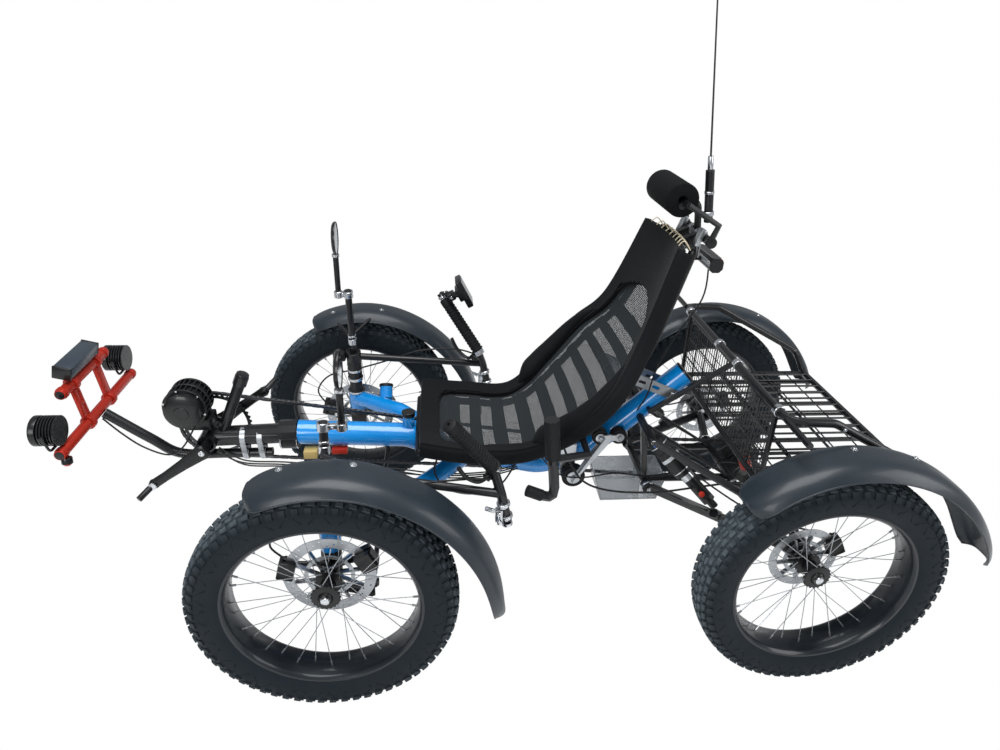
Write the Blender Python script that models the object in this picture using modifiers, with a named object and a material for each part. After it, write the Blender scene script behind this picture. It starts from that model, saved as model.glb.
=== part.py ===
"""Electric recumbent quadricycle with fat tyres, direct steering and a cargo basket.

Metres, +Z up, +X forward, +Y to the rider's left. The origin is on the ground under the middle
of the overall box. Places in the source are measured from the ground point midway between the
axles; an empty moves the whole vehicle so that the box is centred.
"""

import math

import bmesh
import bpy
from mathutils import Matrix, Vector

COLLECTION_NAME = "recumbent_quadricycle"

# Driving dimensions
WHEELBASE = 1.100
TRACK_FRONT = 0.855
TRACK_REAR = 0.841
TYRE_OD = 0.570
TYRE_WIDTH = 0.098
RIM_RADIUS = 0.2088
OVERALL_HEIGHT = 1.750

# Clearances shared by all sub-parts
SEAT_GAP = 0.0003
RUNNING_GAP = 0.0008
MERGE = 0.0001
OVERRUN = 0.004

FRONT_AXLE_X = WHEELBASE / 2
REAR_AXLE_X = -WHEELBASE / 2
AXLE_Z = TYRE_OD / 2
HALF_TRACK_FRONT = TRACK_FRONT / 2
HALF_TRACK_REAR = TRACK_REAR / 2

# Steering
KINGPIN_IN = 0.1225
KINGPIN_Y = HALF_TRACK_FRONT - KINGPIN_IN
KINGPIN_LEVEL = 0.400
KINGPIN_LEAN_DEG = 8.0
HEAD_TUBE_RADIUS = 0.0235
HEAD_TUBE_BOTTOM = 0.325
HEAD_TUBE_TOP = 0.392
KINGPIN_RADIUS = 0.0140
TIE_ROD_Z = 0.232
TIE_ARM_REACH = 0.090
TIE_ROD_RADIUS = 0.0065
STUD_RADIUS = 0.0040

# Main frame
SPINE_RADIUS = 0.031
UNDER_RADIUS = 0.025
CROSS_RADIUS = 0.0235
SPINE_FRONT_X = 0.664
SPINE_FRONT_Z = 0.438
SPINE_REAR_X = 0.385
SPINE_REAR_Z = 0.424
UNDER_FRONT_X = 0.250
UNDER_FRONT_Z = 0.372
UNDER_LOW_X = 0.030
UNDER_LOW_Z = 0.322
UNDER_REAR_X = -0.100
UNDER_REAR_Z = 0.385
TAIL_FOOT_X = -0.130
TAIL_FOOT_Z = 0.414
TAIL_TOP_X = -0.327
TAIL_TOP_Z = 0.598

# Drive
CRANK_X = 0.884
CRANK_Z = 0.428
CHAINRING_RADIUS = 0.0885
CHAIN_Y = -0.060
SPROCKET_RADIUS = 0.0580
CRANK_LENGTH = 0.150
BB_HALF_WIDTH = 0.040

# Seat
SEAT_HALF_WIDTH = 0.178
SEAT_HIP_HALF_WIDTH = 0.232
SEAT_THICK = 0.026

# Resolution of round shapes
TYRE_STEPS = 24
RIM_STEPS = 24
HUB_STEPS = 8
DISC_STEPS = 16
TUBE_BEVEL_STEPS = 2
FRAME_BEVEL_STEPS = 3
WIRE_BEVEL_STEPS = 1
CASTING_SIDES = 12
ROD_SIDES = 8
STUD_SIDES = 10
DRUM_STEPS = 16
SHARP_DEG = 40.0
LUG_SHARP_DEG = 30.0
LINK_SHARP_DEG = 20.0

FINISHES = {
    "blue_paint": ((0.010, 0.130, 0.560), 0.28, 0.55),
    "black_coat": ((0.012, 0.012, 0.013), 0.38, 0.10),
    "black_alloy": ((0.016, 0.016, 0.017), 0.42, 0.60),
    "red_anodised": ((0.330, 0.028, 0.018), 0.40, 0.65),
    "bare_alloy": ((0.560, 0.570, 0.580), 0.32, 0.95),
    "bright_steel": ((0.660, 0.670, 0.680), 0.25, 1.00),
    "tyre_rubber": ((0.026, 0.028, 0.030), 0.85, 0.00),
    "guard_plastic": ((0.030, 0.034, 0.038), 0.48, 0.00),
    "foam": ((0.010, 0.010, 0.011), 0.90, 0.00),
    "seat_fabric": ((0.040, 0.043, 0.047), 0.90, 0.00),
    "clear_grey": ((0.330, 0.340, 0.345), 0.30, 0.00),
    "lamp_black": ((0.018, 0.018, 0.019), 0.45, 0.40),
}


def clear_scene():
    """Remove every object of the open scene."""
    for item in list(bpy.data.objects):
        bpy.data.objects.remove(item, do_unlink=True)


def make_collection(name):
    group = bpy.data.collections.new(name)
    bpy.context.scene.collection.children.link(group)
    return group


def make_finish(node, finish):
    """Give a node its own Principled material from the table of finishes."""
    colour, roughness, metallic = FINISHES[finish]
    material = bpy.data.materials.new(node + "_" + finish)
    material.use_nodes = True
    shader = material.node_tree.nodes["Principled BSDF"]
    shader.inputs["Base Color"].default_value = (*colour, 1.0)
    shader.inputs["Roughness"].default_value = roughness
    shader.inputs["Metallic"].default_value = metallic
    return material


class Workshop:
    """Collects loose pieces and turns them into finished nodes."""

    def __init__(self):
        self.parts = make_collection(COLLECTION_NAME)
        self.scraps = make_collection("cutters")
        self.datum = bpy.data.objects.new("vehicle_datum", None)
        self.parts.objects.link(self.datum)
        self.pieces = []

    def keep(self, item):
        """Hold a loose piece, hidden as a guide, until its node is finished."""
        item.hide_render = True
        item.display_type = "WIRE"
        self.pieces.append(item)
        return item

    def link(self, mesh, name="piece"):
        item = bpy.data.objects.new(name, mesh)
        self.scraps.objects.link(item)
        return item

    def baked(self, item):
        """Turn an object with modifiers, or a curve, into a closed welded mesh piece."""
        bpy.context.view_layer.update()
        graph = bpy.context.evaluated_depsgraph_get()
        mesh = bpy.data.meshes.new_from_object(item.evaluated_get(graph))
        mesh.transform(item.matrix_world)
        bpy.data.objects.remove(item, do_unlink=True)
        faces = bmesh.new()
        faces.from_mesh(mesh)
        bmesh.ops.remove_doubles(faces, verts=faces.verts, dist=MERGE)
        bmesh.ops.recalc_face_normals(faces, faces=faces.faces)
        if faces.calc_volume(signed=True) < 0:
            bmesh.ops.reverse_faces(faces, faces=faces.faces)
        faces.to_mesh(mesh)
        faces.free()
        return self.keep(self.link(mesh))

    def box(self, size, place, turn=None):
        """A box of a size about a place, optionally turned by a matrix."""
        faces = bmesh.new()
        bmesh.ops.create_cube(faces, size=1.0)
        bmesh.ops.scale(faces, vec=Vector(size), verts=faces.verts)
        if turn is not None:
            bmesh.ops.transform(faces, matrix=turn, verts=faces.verts)
        bmesh.ops.translate(faces, vec=Vector(place), verts=faces.verts)
        mesh = bpy.data.meshes.new("box")
        faces.to_mesh(mesh)
        faces.free()
        return self.keep(self.link(mesh))

    def rod(self, start, end, radius, sides=ROD_SIDES, end_radius=None):
        """A straight round bar, or a cone, from one place to another."""
        start = Vector(start)
        end = Vector(end)
        far_radius = radius if end_radius is None else end_radius
        faces = bmesh.new()
        bmesh.ops.create_cone(faces, cap_ends=True, segments=sides, radius1=radius,
                              radius2=far_radius, depth=(end - start).length)
        turn = (end - start).to_track_quat("Z", "Y").to_matrix().to_4x4()
        move = Matrix.Translation((start + end) / 2)
        bmesh.ops.transform(faces, matrix=move @ turn, verts=faces.verts)
        mesh = bpy.data.meshes.new("rod")
        faces.to_mesh(mesh)
        faces.free()
        return self.keep(self.link(mesh))

    def tube(self, route, radius, level=TUBE_BEVEL_STEPS, closed=False):
        """A bent tube along a route: a bevelled curve with filled caps, made a mesh."""
        curve = bpy.data.curves.new("route", "CURVE")
        curve.dimensions = "3D"
        curve.bevel_depth = radius
        curve.bevel_resolution = level
        curve.use_fill_caps = True
        spline = curve.splines.new("POLY")
        spline.points.add(len(route) - 1)
        for index, place in enumerate(route):
            spline.points[index].co = (*place, 1.0)
        spline.use_cyclic_u = closed
        return self.baked(self.link(curve, "route"))

    def turned(self, profile, steps, centre, axis="Y", ring=False):
        """Turn a profile of (radius, height) about an axis through a centre."""
        mesh = bpy.data.meshes.new("profile")
        faces = bmesh.new()
        points = []
        for radius, height in profile:
            place = (radius, height, 0) if axis == "Y" else (radius, 0, height)
            points.append(faces.verts.new(place))
        pairs = list(zip(points[:-1], points[1:]))
        if ring:
            pairs.append((points[-1], points[0]))
        for first, second in pairs:
            faces.edges.new((first, second))
        faces.to_mesh(mesh)
        faces.free()
        item = self.link(mesh, "profile")
        item.location = centre
        screw = item.modifiers.new("turn", "SCREW")
        screw.axis = axis
        screw.steps = steps
        screw.render_steps = steps
        screw.use_merge_vertices = True
        screw.merge_threshold = MERGE
        return self.baked(item)

    def outline(self, points, thick, place, turn):
        """A flat outline in its own XY plane, extruded and set in place."""
        curve = bpy.data.curves.new("outline", "CURVE")
        curve.dimensions = "2D"
        curve.fill_mode = "BOTH"
        curve.extrude = thick / 2
        spline = curve.splines.new("POLY")
        spline.points.add(len(points) - 1)
        for index, (across, up) in enumerate(points):
            spline.points[index].co = (across, up, 0, 1.0)
        spline.use_cyclic_u = True
        item = self.link(curve, "outline")
        item.matrix_world = Matrix.Translation(Vector(place)) @ turn
        return self.baked(item)

    def cut(self, target, tools):
        """Take the tools out of the target."""
        return self.combine(target, tools, "DIFFERENCE")

    def join(self):
        """Unite all pieces that are being held."""
        first = self.pieces[0]
        others = self.pieces[1:]
        if others:
            first = self.combine(first, others, "UNION")
        return first

    def combine(self, target, tools, operation):
        """Combine one piece with several in one exact Boolean each, and keep the result."""
        for tool in tools:
            change = target.modifiers.new("combine", "BOOLEAN")
            change.operation = operation
            change.solver = "EXACT"
            change.object = tool
        bpy.context.view_layer.update()
        graph = bpy.context.evaluated_depsgraph_get()
        mesh = bpy.data.meshes.new_from_object(target.evaluated_get(graph))
        for item in [target, *tools]:
            self.pieces.remove(item)
            bpy.data.objects.remove(item, do_unlink=True)
        faces = bmesh.new()
        faces.from_mesh(mesh)
        bmesh.ops.remove_doubles(faces, verts=faces.verts, dist=MERGE / 10)
        faces.to_mesh(mesh)
        faces.free()
        return self.keep(self.link(mesh))

    def finish(self, node, finish, pivot=None, sharp_deg=SHARP_DEG):
        """Join what is held into one node with its finish and its origin on its pivot."""
        item = self.join()
        self.pieces.remove(item)
        self.scraps.objects.unlink(item)
        self.parts.objects.link(item)
        item.name = node
        item.data.name = node
        item.hide_render = False
        item.display_type = "TEXTURED"
        item.data.materials.clear()
        item.data.materials.append(make_finish(node, finish))
        item.data.shade_smooth()
        item.data.set_sharp_from_angle(angle=math.radians(sharp_deg))
        place = Vector(pivot) if pivot is not None else Vector((0, 0, 0))
        item.data.transform(Matrix.Translation(-place))
        item.location = place
        item.parent = self.datum
        return item


def hole_radius(radius, gap, sides):
    """The corner radius of a many-sided hole whose flats clear a round piece by a gap."""
    return (radius + gap) / math.cos(math.pi / sides)


def snug_radius(radius, gap, sides):
    """The corner radius of a hole with the same sides and turn as the piece inside it."""
    return radius + gap / math.cos(math.pi / sides)


def centre_datum(shop):
    """Slide the vehicle along its length until the middle of its box is over the origin."""
    bpy.context.view_layer.update()
    places = [item.matrix_world @ vertex.co for item in shop.parts.objects if item.type == "MESH"
              for vertex in item.data.vertices]
    ahead = max(place.x for place in places)
    behind = min(place.x for place in places)
    shop.datum.location = (-(ahead + behind) / 2, 0, 0)


def bent(points, bend, steps=3):
    """Round the corners of a route of straight runs with arcs of one bend radius."""
    places = [Vector(point) for point in points]
    route = [places[0]]
    for before, corner, after in zip(places[:-2], places[1:-1], places[2:]):
        back = (before - corner).normalized()
        ahead = (after - corner).normalized()
        half = back.angle(ahead) / 2
        reach = min(bend / math.tan(half), (before - corner).length / 2, (after - corner).length / 2)
        start = corner + back * reach
        end = corner + ahead * reach
        for step in range(steps + 1):
            share = step / steps
            near = start.lerp(corner, share)
            far = corner.lerp(end, share)
            route.append(near.lerp(far, share))
    route.append(places[-1])
    return route


def kingpin_point(side, height):
    """A place on the leaning kingpin axis at a height."""
    lean = math.tan(math.radians(KINGPIN_LEAN_DEG))
    return Vector((FRONT_AXLE_X, side * (KINGPIN_Y + (KINGPIN_LEVEL - height) * lean), height))


def kingpin_axis(side):
    """The kingpin's upward direction, leaning inwards at the top."""
    lean = math.radians(KINGPIN_LEAN_DEG)
    return Vector((0, -side * math.sin(lean), math.cos(lean)))


def side_name(side):
    return "left" if side > 0 else "right"


# Wheels: a lugged tyre, and a rim, spokes, hub and brake disc in one piece

RIM_HALF_WIDTH = 0.030
RIM_FLOOR_RADIUS = 0.1960
RIM_SHOULDER_RADIUS = 0.2030
LUG_HEIGHT = 0.0055
LUG_TAPER_SHARE = 0.11
SHOULDER_DROP = 0.0045
TREAD_HALF = 0.038
TREAD_MID_HALF = 0.014
HUB_BORE_RADIUS = 0.0110
HUB_BARREL_RADIUS = 0.0185
HUB_FLANGE_RADIUS = 0.0300
HUB_OUTER_FLANGE_RADIUS = 0.0250
HUB_OUT = 0.010
HUB_IN = 0.070
FLANGE_IN_AT = 0.046
FLANGE_OUT_AT = 0.002
FLANGE_THICK = 0.004
SPOKE_RADIUS = 0.0014
SPOKES_PER_SIDE = 5
SPOKE_SIDES = 3
SPOKE_LACE_DEG = 52.0
DISC_THICK = 0.0020
DISC_BAND = 0.017
DISC_FRONT_RADIUS = 0.1025
DISC_REAR_RADIUS = 0.0830
DISC_ARMS = 3
DISC_ARM_WIDTH = 0.010
DISC_AT = 0.068
AXLE_RADIUS = 0.0095


def make_tyre(shop, node, centre):
    """Turn the tyre's section and raise the lugs out of its tread faces."""
    outer = TYRE_OD / 2
    half = TYRE_WIDTH / 2
    crown = outer - LUG_HEIGHT
    wall = half - SHOULDER_DROP / 3
    inner = RIM_RADIUS + SEAT_GAP
    half_section = [
        (inner, RIM_HALF_WIDTH),
        (inner + (crown - inner) / 2, wall),
        (crown - (outer - crown) * 3, wall - LUG_HEIGHT / 4),
        (crown - LUG_HEIGHT, TREAD_HALF),
        (crown, TREAD_MID_HALF),
    ]
    profile = half_section + [(radius, -across) for radius, across in reversed(half_section)]
    tyre = shop.turned(profile, TYRE_STEPS, centre, "Y", ring=True)
    faces = bmesh.new()
    faces.from_mesh(tyre.data)
    hub = Vector(centre)
    shoulders = []
    treads = []
    for face in faces.faces:
        middle = face.calc_center_median() - hub
        across = abs(middle.y)
        angle = math.atan2(middle.z, middle.x) + math.tau
        cell = int(angle / math.tau * TYRE_STEPS)
        far = math.hypot(middle.x, middle.z)
        if far < crown - (outer - crown) * 3:
            continue
        if across > TREAD_HALF and cell % 2 == 0:
            shoulders.append(face)
        elif TREAD_MID_HALF < across < TREAD_HALF and cell % 2 == (1 if middle.y > 0 else 0):
            treads.append(face)
    for group, height in ((shoulders, SHOULDER_DROP), (treads, LUG_HEIGHT)):
        raised = bmesh.ops.extrude_discrete_faces(faces, faces=group)["faces"]
        for face in raised:
            middle = face.calc_center_median()
            normal = face.normal.copy()
            for vertex in face.verts:
                inward = (middle - vertex.co) * LUG_TAPER_SHARE
                vertex.co += normal * height + inward
    reach = max(math.hypot(v.co.x - hub.x, v.co.z - hub.z) for v in faces.verts)
    widest = max(abs(v.co.y - hub.y) for v in faces.verts)
    for vertex in faces.verts:
        flat = Vector((vertex.co.x - hub.x, 0, vertex.co.z - hub.z))
        if flat.length > crown + LUG_HEIGHT / 2:
            flat *= outer / reach
            vertex.co.x = hub.x + flat.x
            vertex.co.z = hub.z + flat.z
        vertex.co.y = hub.y + (vertex.co.y - hub.y) * half / widest
    for vertex in faces.verts:
        inner_ring = math.hypot(vertex.co.x - hub.x, vertex.co.z - hub.z) < inner + SEAT_GAP
        if inner_ring:
            vertex.co.y = hub.y + math.copysign(RIM_HALF_WIDTH, vertex.co.y - hub.y)
    faces.to_mesh(tyre.data)
    faces.free()
    shop.finish(node, "tyre_rubber", pivot=centre, sharp_deg=LUG_SHARP_DEG)


def make_wheel(shop, node, centre, side, disc_radius, shaft_to):
    """Rim, laced spokes, flanged hub and vented disc; the rear hub carries its half shaft."""
    hub = Vector(centre)

    def at(radius, angle, across):
        return hub + Vector((radius * math.cos(angle), -side * across, radius * math.sin(angle)))

    shop.turned([
        (RIM_RADIUS, -RIM_HALF_WIDTH),
        (RIM_RADIUS, RIM_HALF_WIDTH),
        (RIM_SHOULDER_RADIUS, RIM_HALF_WIDTH),
        (RIM_FLOOR_RADIUS, 0),
        (RIM_SHOULDER_RADIUS, -RIM_HALF_WIDTH),
    ], RIM_STEPS, centre, "Y", ring=True)
    bore = HUB_BORE_RADIUS if shaft_to is None else 0
    hub_profile = [
        (bore, -HUB_OUT),
        (HUB_BARREL_RADIUS - FLANGE_THICK, -HUB_OUT),
        (HUB_OUTER_FLANGE_RADIUS, -FLANGE_OUT_AT - FLANGE_THICK / 2),
        (HUB_OUTER_FLANGE_RADIUS, -FLANGE_OUT_AT + FLANGE_THICK / 2),
        (HUB_BARREL_RADIUS, FLANGE_THICK),
        (HUB_BARREL_RADIUS, FLANGE_IN_AT - FLANGE_THICK),
        (HUB_FLANGE_RADIUS, FLANGE_IN_AT - FLANGE_THICK / 2),
        (HUB_FLANGE_RADIUS, FLANGE_IN_AT + FLANGE_THICK / 2),
        (HUB_BARREL_RADIUS, DISC_AT - DISC_THICK),
        (HUB_FLANGE_RADIUS, HUB_IN),
        (bore, HUB_IN),
    ]
    hub_profile = [(radius, -side * height) for radius, height in hub_profile]
    shop.turned(hub_profile, HUB_STEPS, centre, "Y", ring=bore > 0)
    lace = math.radians(SPOKE_LACE_DEG)
    for count in range(SPOKES_PER_SIDE * 2):
        outer_side = count % 2
        angle = math.tau * (count + 1 / 4) / (SPOKES_PER_SIDE * 2)
        twist = lace if (count // 2) % 2 else -lace
        flange = HUB_OUTER_FLANGE_RADIUS if outer_side else HUB_FLANGE_RADIUS
        seat = -FLANGE_OUT_AT if outer_side else FLANGE_IN_AT
        start = at(flange - SPOKE_RADIUS * 2, angle + twist, seat)
        end = at(RIM_FLOOR_RADIUS + SPOKE_RADIUS * 2, angle, 0)
        shop.rod(start, end, SPOKE_RADIUS, sides=SPOKE_SIDES)
    inner_band = disc_radius - DISC_BAND
    disc_centre = at(0, 0, DISC_AT)
    shop.turned([
        (inner_band, -DISC_THICK / 2),
        (disc_radius, -DISC_THICK / 2),
        (disc_radius, DISC_THICK / 2),
        (inner_band, DISC_THICK / 2),
    ], DISC_STEPS, disc_centre, "Y", ring=True)
    for count in range(DISC_ARMS):
        angle = math.tau * count / DISC_ARMS
        lean = angle + math.tau / DISC_ARMS / 2
        start = at(HUB_FLANGE_RADIUS - DISC_ARM_WIDTH / 2, angle, DISC_AT)
        end = at(inner_band + DISC_BAND / 3, lean, DISC_AT)
        arm = end - start
        turn = Matrix.Rotation(-math.atan2(arm.z, arm.x), 4, "Y")
        size = (arm.length, DISC_THICK * 4 / 5, DISC_ARM_WIDTH)
        shop.box(size, (start + end) / 2, turn)
    if shaft_to is not None:
        shop.rod(at(0, 0, HUB_IN - OVERRUN), (hub.x, side * shaft_to, hub.z), AXLE_RADIUS)
    shop.finish(node, "black_alloy", pivot=centre)


# Main frame: blue tubes with two leaning head tubes

ARM_ROOT_X = 0.250
ARM_ROOT_Z = 0.345
ARM_MID_X = 0.354
ARM_MID_Y = 0.150
ARM_MID_Z = 0.366
ARM_KNEE_X = 0.417
ARM_KNEE_Y = 0.205
ARM_KNEE_Z = 0.378
STUB_X = 0.462
STUB_LENGTH = 0.060
STUB_RADIUS = 0.019
LUG_X = 0.384
LUG_TOP_Z = 0.492
LUG_HALF = 0.010
LUG_WIDTH = 0.030
TAIL_CAP = 0.006


def make_main_frame(shop):
    """Spine, sunk tube under the seat, sloping tail tube, cross arms and head tubes."""
    shop.tube([
        boom_point(0),
        boom_point(-SPINE_RADIUS),
        (SPINE_REAR_X + SPINE_RADIUS, 0, SPINE_REAR_Z),
        (SPINE_REAR_X - SPINE_RADIUS, 0, SPINE_REAR_Z - SPINE_RADIUS),
    ], SPINE_RADIUS, level=FRAME_BEVEL_STEPS)
    shop.tube(bent([
        (SPINE_REAR_X, 0, SPINE_REAR_Z - SPINE_RADIUS / 3),
        (UNDER_FRONT_X, 0, UNDER_FRONT_Z),
        (UNDER_LOW_X, 0, UNDER_LOW_Z),
        (UNDER_REAR_X, 0, UNDER_REAR_Z),
        (TAIL_FOOT_X - UNDER_RADIUS, 0, TAIL_FOOT_Z + UNDER_RADIUS),
    ], UNDER_RADIUS * 5), UNDER_RADIUS, level=FRAME_BEVEL_STEPS)
    shop.rod((TAIL_FOOT_X, 0, TAIL_FOOT_Z), (TAIL_TOP_X, 0, TAIL_TOP_Z), SPINE_RADIUS, sides=CASTING_SIDES)
    along = (Vector((TAIL_TOP_X, 0, TAIL_TOP_Z)) - Vector((TAIL_FOOT_X, 0, TAIL_FOOT_Z))).normalized()
    top = Vector((TAIL_TOP_X, 0, TAIL_TOP_Z))
    cap = along * TAIL_CAP
    shop.rod(top - cap, top + cap, SPINE_RADIUS + TAIL_CAP / 4, sides=CASTING_SIDES)
    shop.box((LUG_HALF * 2, LUG_WIDTH, LUG_TOP_Z - SPINE_REAR_Z), (LUG_X, 0, (LUG_TOP_Z + SPINE_REAR_Z) / 2))
    bores = []
    for side in (1, -1):
        head_middle = kingpin_point(side, (HEAD_TUBE_BOTTOM + HEAD_TUBE_TOP) / 2)
        shop.tube(bent([
            (ARM_ROOT_X, 0, ARM_ROOT_Z),
            (ARM_MID_X, side * ARM_MID_Y, ARM_MID_Z),
            (ARM_KNEE_X, side * ARM_KNEE_Y, ARM_KNEE_Z),
            head_middle,
        ], CROSS_RADIUS * 5), CROSS_RADIUS, level=TUBE_BEVEL_STEPS)
        bottom = kingpin_point(side, HEAD_TUBE_BOTTOM)
        head_top = kingpin_point(side, HEAD_TUBE_TOP)
        shop.rod(bottom, head_top, HEAD_TUBE_RADIUS, sides=CASTING_SIDES)
        stub = Vector((STUB_X, side * (KINGPIN_Y - CROSS_RADIUS), ARM_KNEE_Z))
        out = Vector((0, side * CROSS_RADIUS, STUB_LENGTH / 2))
        shop.rod(stub, stub + out, STUB_RADIUS, sides=STUD_SIDES)
    frame = shop.join()
    for side in (1, -1):
        below = kingpin_point(side, HEAD_TUBE_BOTTOM - SPINE_RADIUS)
        above = kingpin_point(side, HEAD_TUBE_TOP + SPINE_RADIUS)
        bore = hole_radius(KINGPIN_RADIUS, RUNNING_GAP, CASTING_SIDES)
        bores.append(shop.rod(below, above, bore, sides=CASTING_SIDES))
    shop.cut(frame, bores)
    shop.finish("main_frame", "blue_paint")


# Boom: black front tube with the bottom bracket and the derailleur post

BOOM_RADIUS = 0.0250
BOOM_COLLAR_RADIUS = 0.0335
BOOM_COLLAR_LENGTH = 0.045
BB_SHELL_RADIUS = 0.0235
BB_BORE_RADIUS = 0.0120
POST_FOOT_X = 0.858
POST_TOP_X = 0.784
POST_TOP_Z = 0.599
POST_RADIUS = 0.0135


def boom_point(along):
    """A place on the boom's axis, measured forward from the frame's front end."""
    start = Vector((SPINE_FRONT_X, 0, SPINE_FRONT_Z))
    end = Vector((CRANK_X, 0, CRANK_Z))
    return start + (end - start).normalized() * along


def make_boom(shop):
    """Tube, clamp collar, bottom bracket shell and post."""
    end = Vector((CRANK_X, 0, CRANK_Z))
    shop.rod(boom_point(SEAT_GAP), end, BOOM_RADIUS, sides=CASTING_SIDES)
    shop.rod(boom_point(SEAT_GAP), boom_point(BOOM_COLLAR_LENGTH), BOOM_COLLAR_RADIUS, sides=CASTING_SIDES)
    shop.rod((CRANK_X, -BB_HALF_WIDTH, CRANK_Z), (CRANK_X, BB_HALF_WIDTH, CRANK_Z),
             BB_SHELL_RADIUS, sides=CASTING_SIDES)
    foot = Vector((POST_FOOT_X, 0, CRANK_Z))
    top = Vector((POST_TOP_X, 0, POST_TOP_Z))
    shop.rod(foot, top, POST_RADIUS, sides=STUD_SIDES)
    shop.rod(top - (top - foot).normalized() * BOOM_RADIUS, top, POST_RADIUS * 5 / 4, sides=STUD_SIDES)
    boom = shop.join()
    bore = shop.rod((CRANK_X, -BB_HALF_WIDTH - OVERRUN, CRANK_Z),
                    (CRANK_X, BB_HALF_WIDTH + OVERRUN, CRANK_Z), BB_BORE_RADIUS, sides=CASTING_SIDES)
    shop.cut(boom, [bore])
    shop.finish("boom", "black_coat")


# Accessory tube under the boom, running forward to the lamps

ACCESSORY_RADIUS = 0.0125
ACCESSORY_Z = 0.378
ACCESSORY_REAR_X = 0.735
ACCESSORY_KNEE_X = 0.965
ACCESSORY_RISE_X = 1.030
ACCESSORY_RISE_Z = 0.425
ACCESSORY_END_X = 1.126
ACCESSORY_END_Z = 0.501
BAND_FRONT_X = 0.800
BAND_REAR_X = 0.758
BAND_LENGTH = 0.014
BAND_THICK = 0.003


def make_accessory_tube(shop):
    """A bent tube clamped under the boom by two bands."""
    shop.tube(bent([
        (ACCESSORY_REAR_X, 0, ACCESSORY_Z),
        (ACCESSORY_KNEE_X, 0, ACCESSORY_Z),
        (ACCESSORY_RISE_X, 0, ACCESSORY_RISE_Z),
        (ACCESSORY_END_X, 0, ACCESSORY_END_Z),
    ], ACCESSORY_RADIUS * 6), ACCESSORY_RADIUS, level=TUBE_BEVEL_STEPS)
    shop.finish("accessory_tube", "black_coat")
    for name, place_x in (("front", BAND_FRONT_X), ("rear", BAND_REAR_X)):
        middle = boom_point(place_x - SPINE_FRONT_X)
        ahead = boom_point(place_x - SPINE_FRONT_X + BAND_LENGTH)
        shop.rod(middle, ahead, BOOM_RADIUS + BAND_THICK, sides=CASTING_SIDES)
        low = ACCESSORY_Z + ACCESSORY_RADIUS
        shop.box((BAND_LENGTH, ACCESSORY_RADIUS * 2, middle.z - low), (
            (middle.x + ahead.x) / 2, 0, (middle.z + low) / 2))
        shop.rod((middle.x, 0, ACCESSORY_Z), (middle.x + BAND_LENGTH, 0, ACCESSORY_Z),
                 ACCESSORY_RADIUS + BAND_THICK, sides=STUD_SIDES)
        band = shop.join()
        holes = [
            shop.rod(boom_point(0), boom_point(CRANK_X - SPINE_FRONT_X),
                     snug_radius(BOOM_RADIUS, SEAT_GAP, CASTING_SIDES), sides=CASTING_SIDES),
            shop.rod((ACCESSORY_REAR_X, 0, ACCESSORY_Z), (ACCESSORY_KNEE_X, 0, ACCESSORY_Z),
                     hole_radius(ACCESSORY_RADIUS, SEAT_GAP, CASTING_SIDES), sides=CASTING_SIDES),
        ]
        shop.cut(band, holes)
        shop.finish("band_" + name, "bare_alloy")


# Motor: finned drum above the bottom bracket

MOTOR_X = 0.920
MOTOR_Z = 0.530
MOTOR_RADIUS = 0.052
MOTOR_NEAR = 0.064
MOTOR_FAR = 0.038
MOTOR_FINS = 3
MOTOR_FIN = 0.006
GEARBOX_RADIUS = 0.040
GEARBOX_HALF = 0.030


def make_motor(shop):
    """A drum with cooling fins, a face cap and the gearcase that hangs on the boom."""
    core = MOTOR_RADIUS - MOTOR_FIN
    pitch = (MOTOR_NEAR + MOTOR_FAR) / (MOTOR_FINS * 2)
    profile = [(0, MOTOR_NEAR), (core * 3 / 4, MOTOR_NEAR), (core, MOTOR_NEAR - pitch / 2)]
    for count in range(MOTOR_FINS):
        start = MOTOR_NEAR - pitch / 2 - count * pitch * 2
        profile.append((MOTOR_RADIUS, start - pitch / 4))
        profile.append((MOTOR_RADIUS, start - pitch * 3 / 4))
        if count < MOTOR_FINS - 1:
            profile.append((core, start - pitch))
            profile.append((core, start - pitch * 2))
    profile.append((core * 3 / 4, -MOTOR_FAR))
    profile.append((0, -MOTOR_FAR))
    shop.turned(profile, DRUM_STEPS, (MOTOR_X, 0, MOTOR_Z), "Y")
    clear = snug_radius(BB_SHELL_RADIUS, SEAT_GAP, CASTING_SIDES)
    lift = Vector((MOTOR_X - CRANK_X, 0, MOTOR_Z - CRANK_Z)).normalized()
    foot = Vector((CRANK_X, 0, CRANK_Z)) + lift * (BB_SHELL_RADIUS * 2 / 3)
    high = Vector((MOTOR_X, 0, MOTOR_Z)) - lift * core / 2
    middle = (foot + high) / 2
    turn = Matrix.Rotation(math.atan2(lift.x, lift.z), 4, "Y")
    shop.box((GEARBOX_RADIUS, GEARBOX_HALF * 2, (high - foot).length), middle, turn)
    motor = shop.join()
    cutters = [
        shop.rod((CRANK_X, -MOTOR_NEAR, CRANK_Z), (CRANK_X, MOTOR_NEAR, CRANK_Z), clear,
                 sides=CASTING_SIDES),
        shop.rod(boom_point(0), Vector((CRANK_X, 0, CRANK_Z)),
                 hole_radius(BOOM_RADIUS, SEAT_GAP, CASTING_SIDES), sides=CASTING_SIDES),
    ]
    shop.cut(motor, cutters)
    shop.finish("motor", "lamp_black")


# Crankset: axle through the bottom bracket, two arms with pedal adaptors and a chainring

CRANK_ANGLE_DEG = -33.8
CRANK_AXLE_RADIUS = 0.0110
CRANK_IN = 0.078
CRANK_THICK = 0.012
CRANK_WIDTH = 0.026
CRANK_TIP_WIDTH = 0.018
CRANK_FLARE = 0.012
ADAPTOR_RADIUS = 0.008
ADAPTOR_LENGTH = 0.040
RING_THICK = 0.0024
RING_ARMS = 5
RING_STEPS = 24


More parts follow.
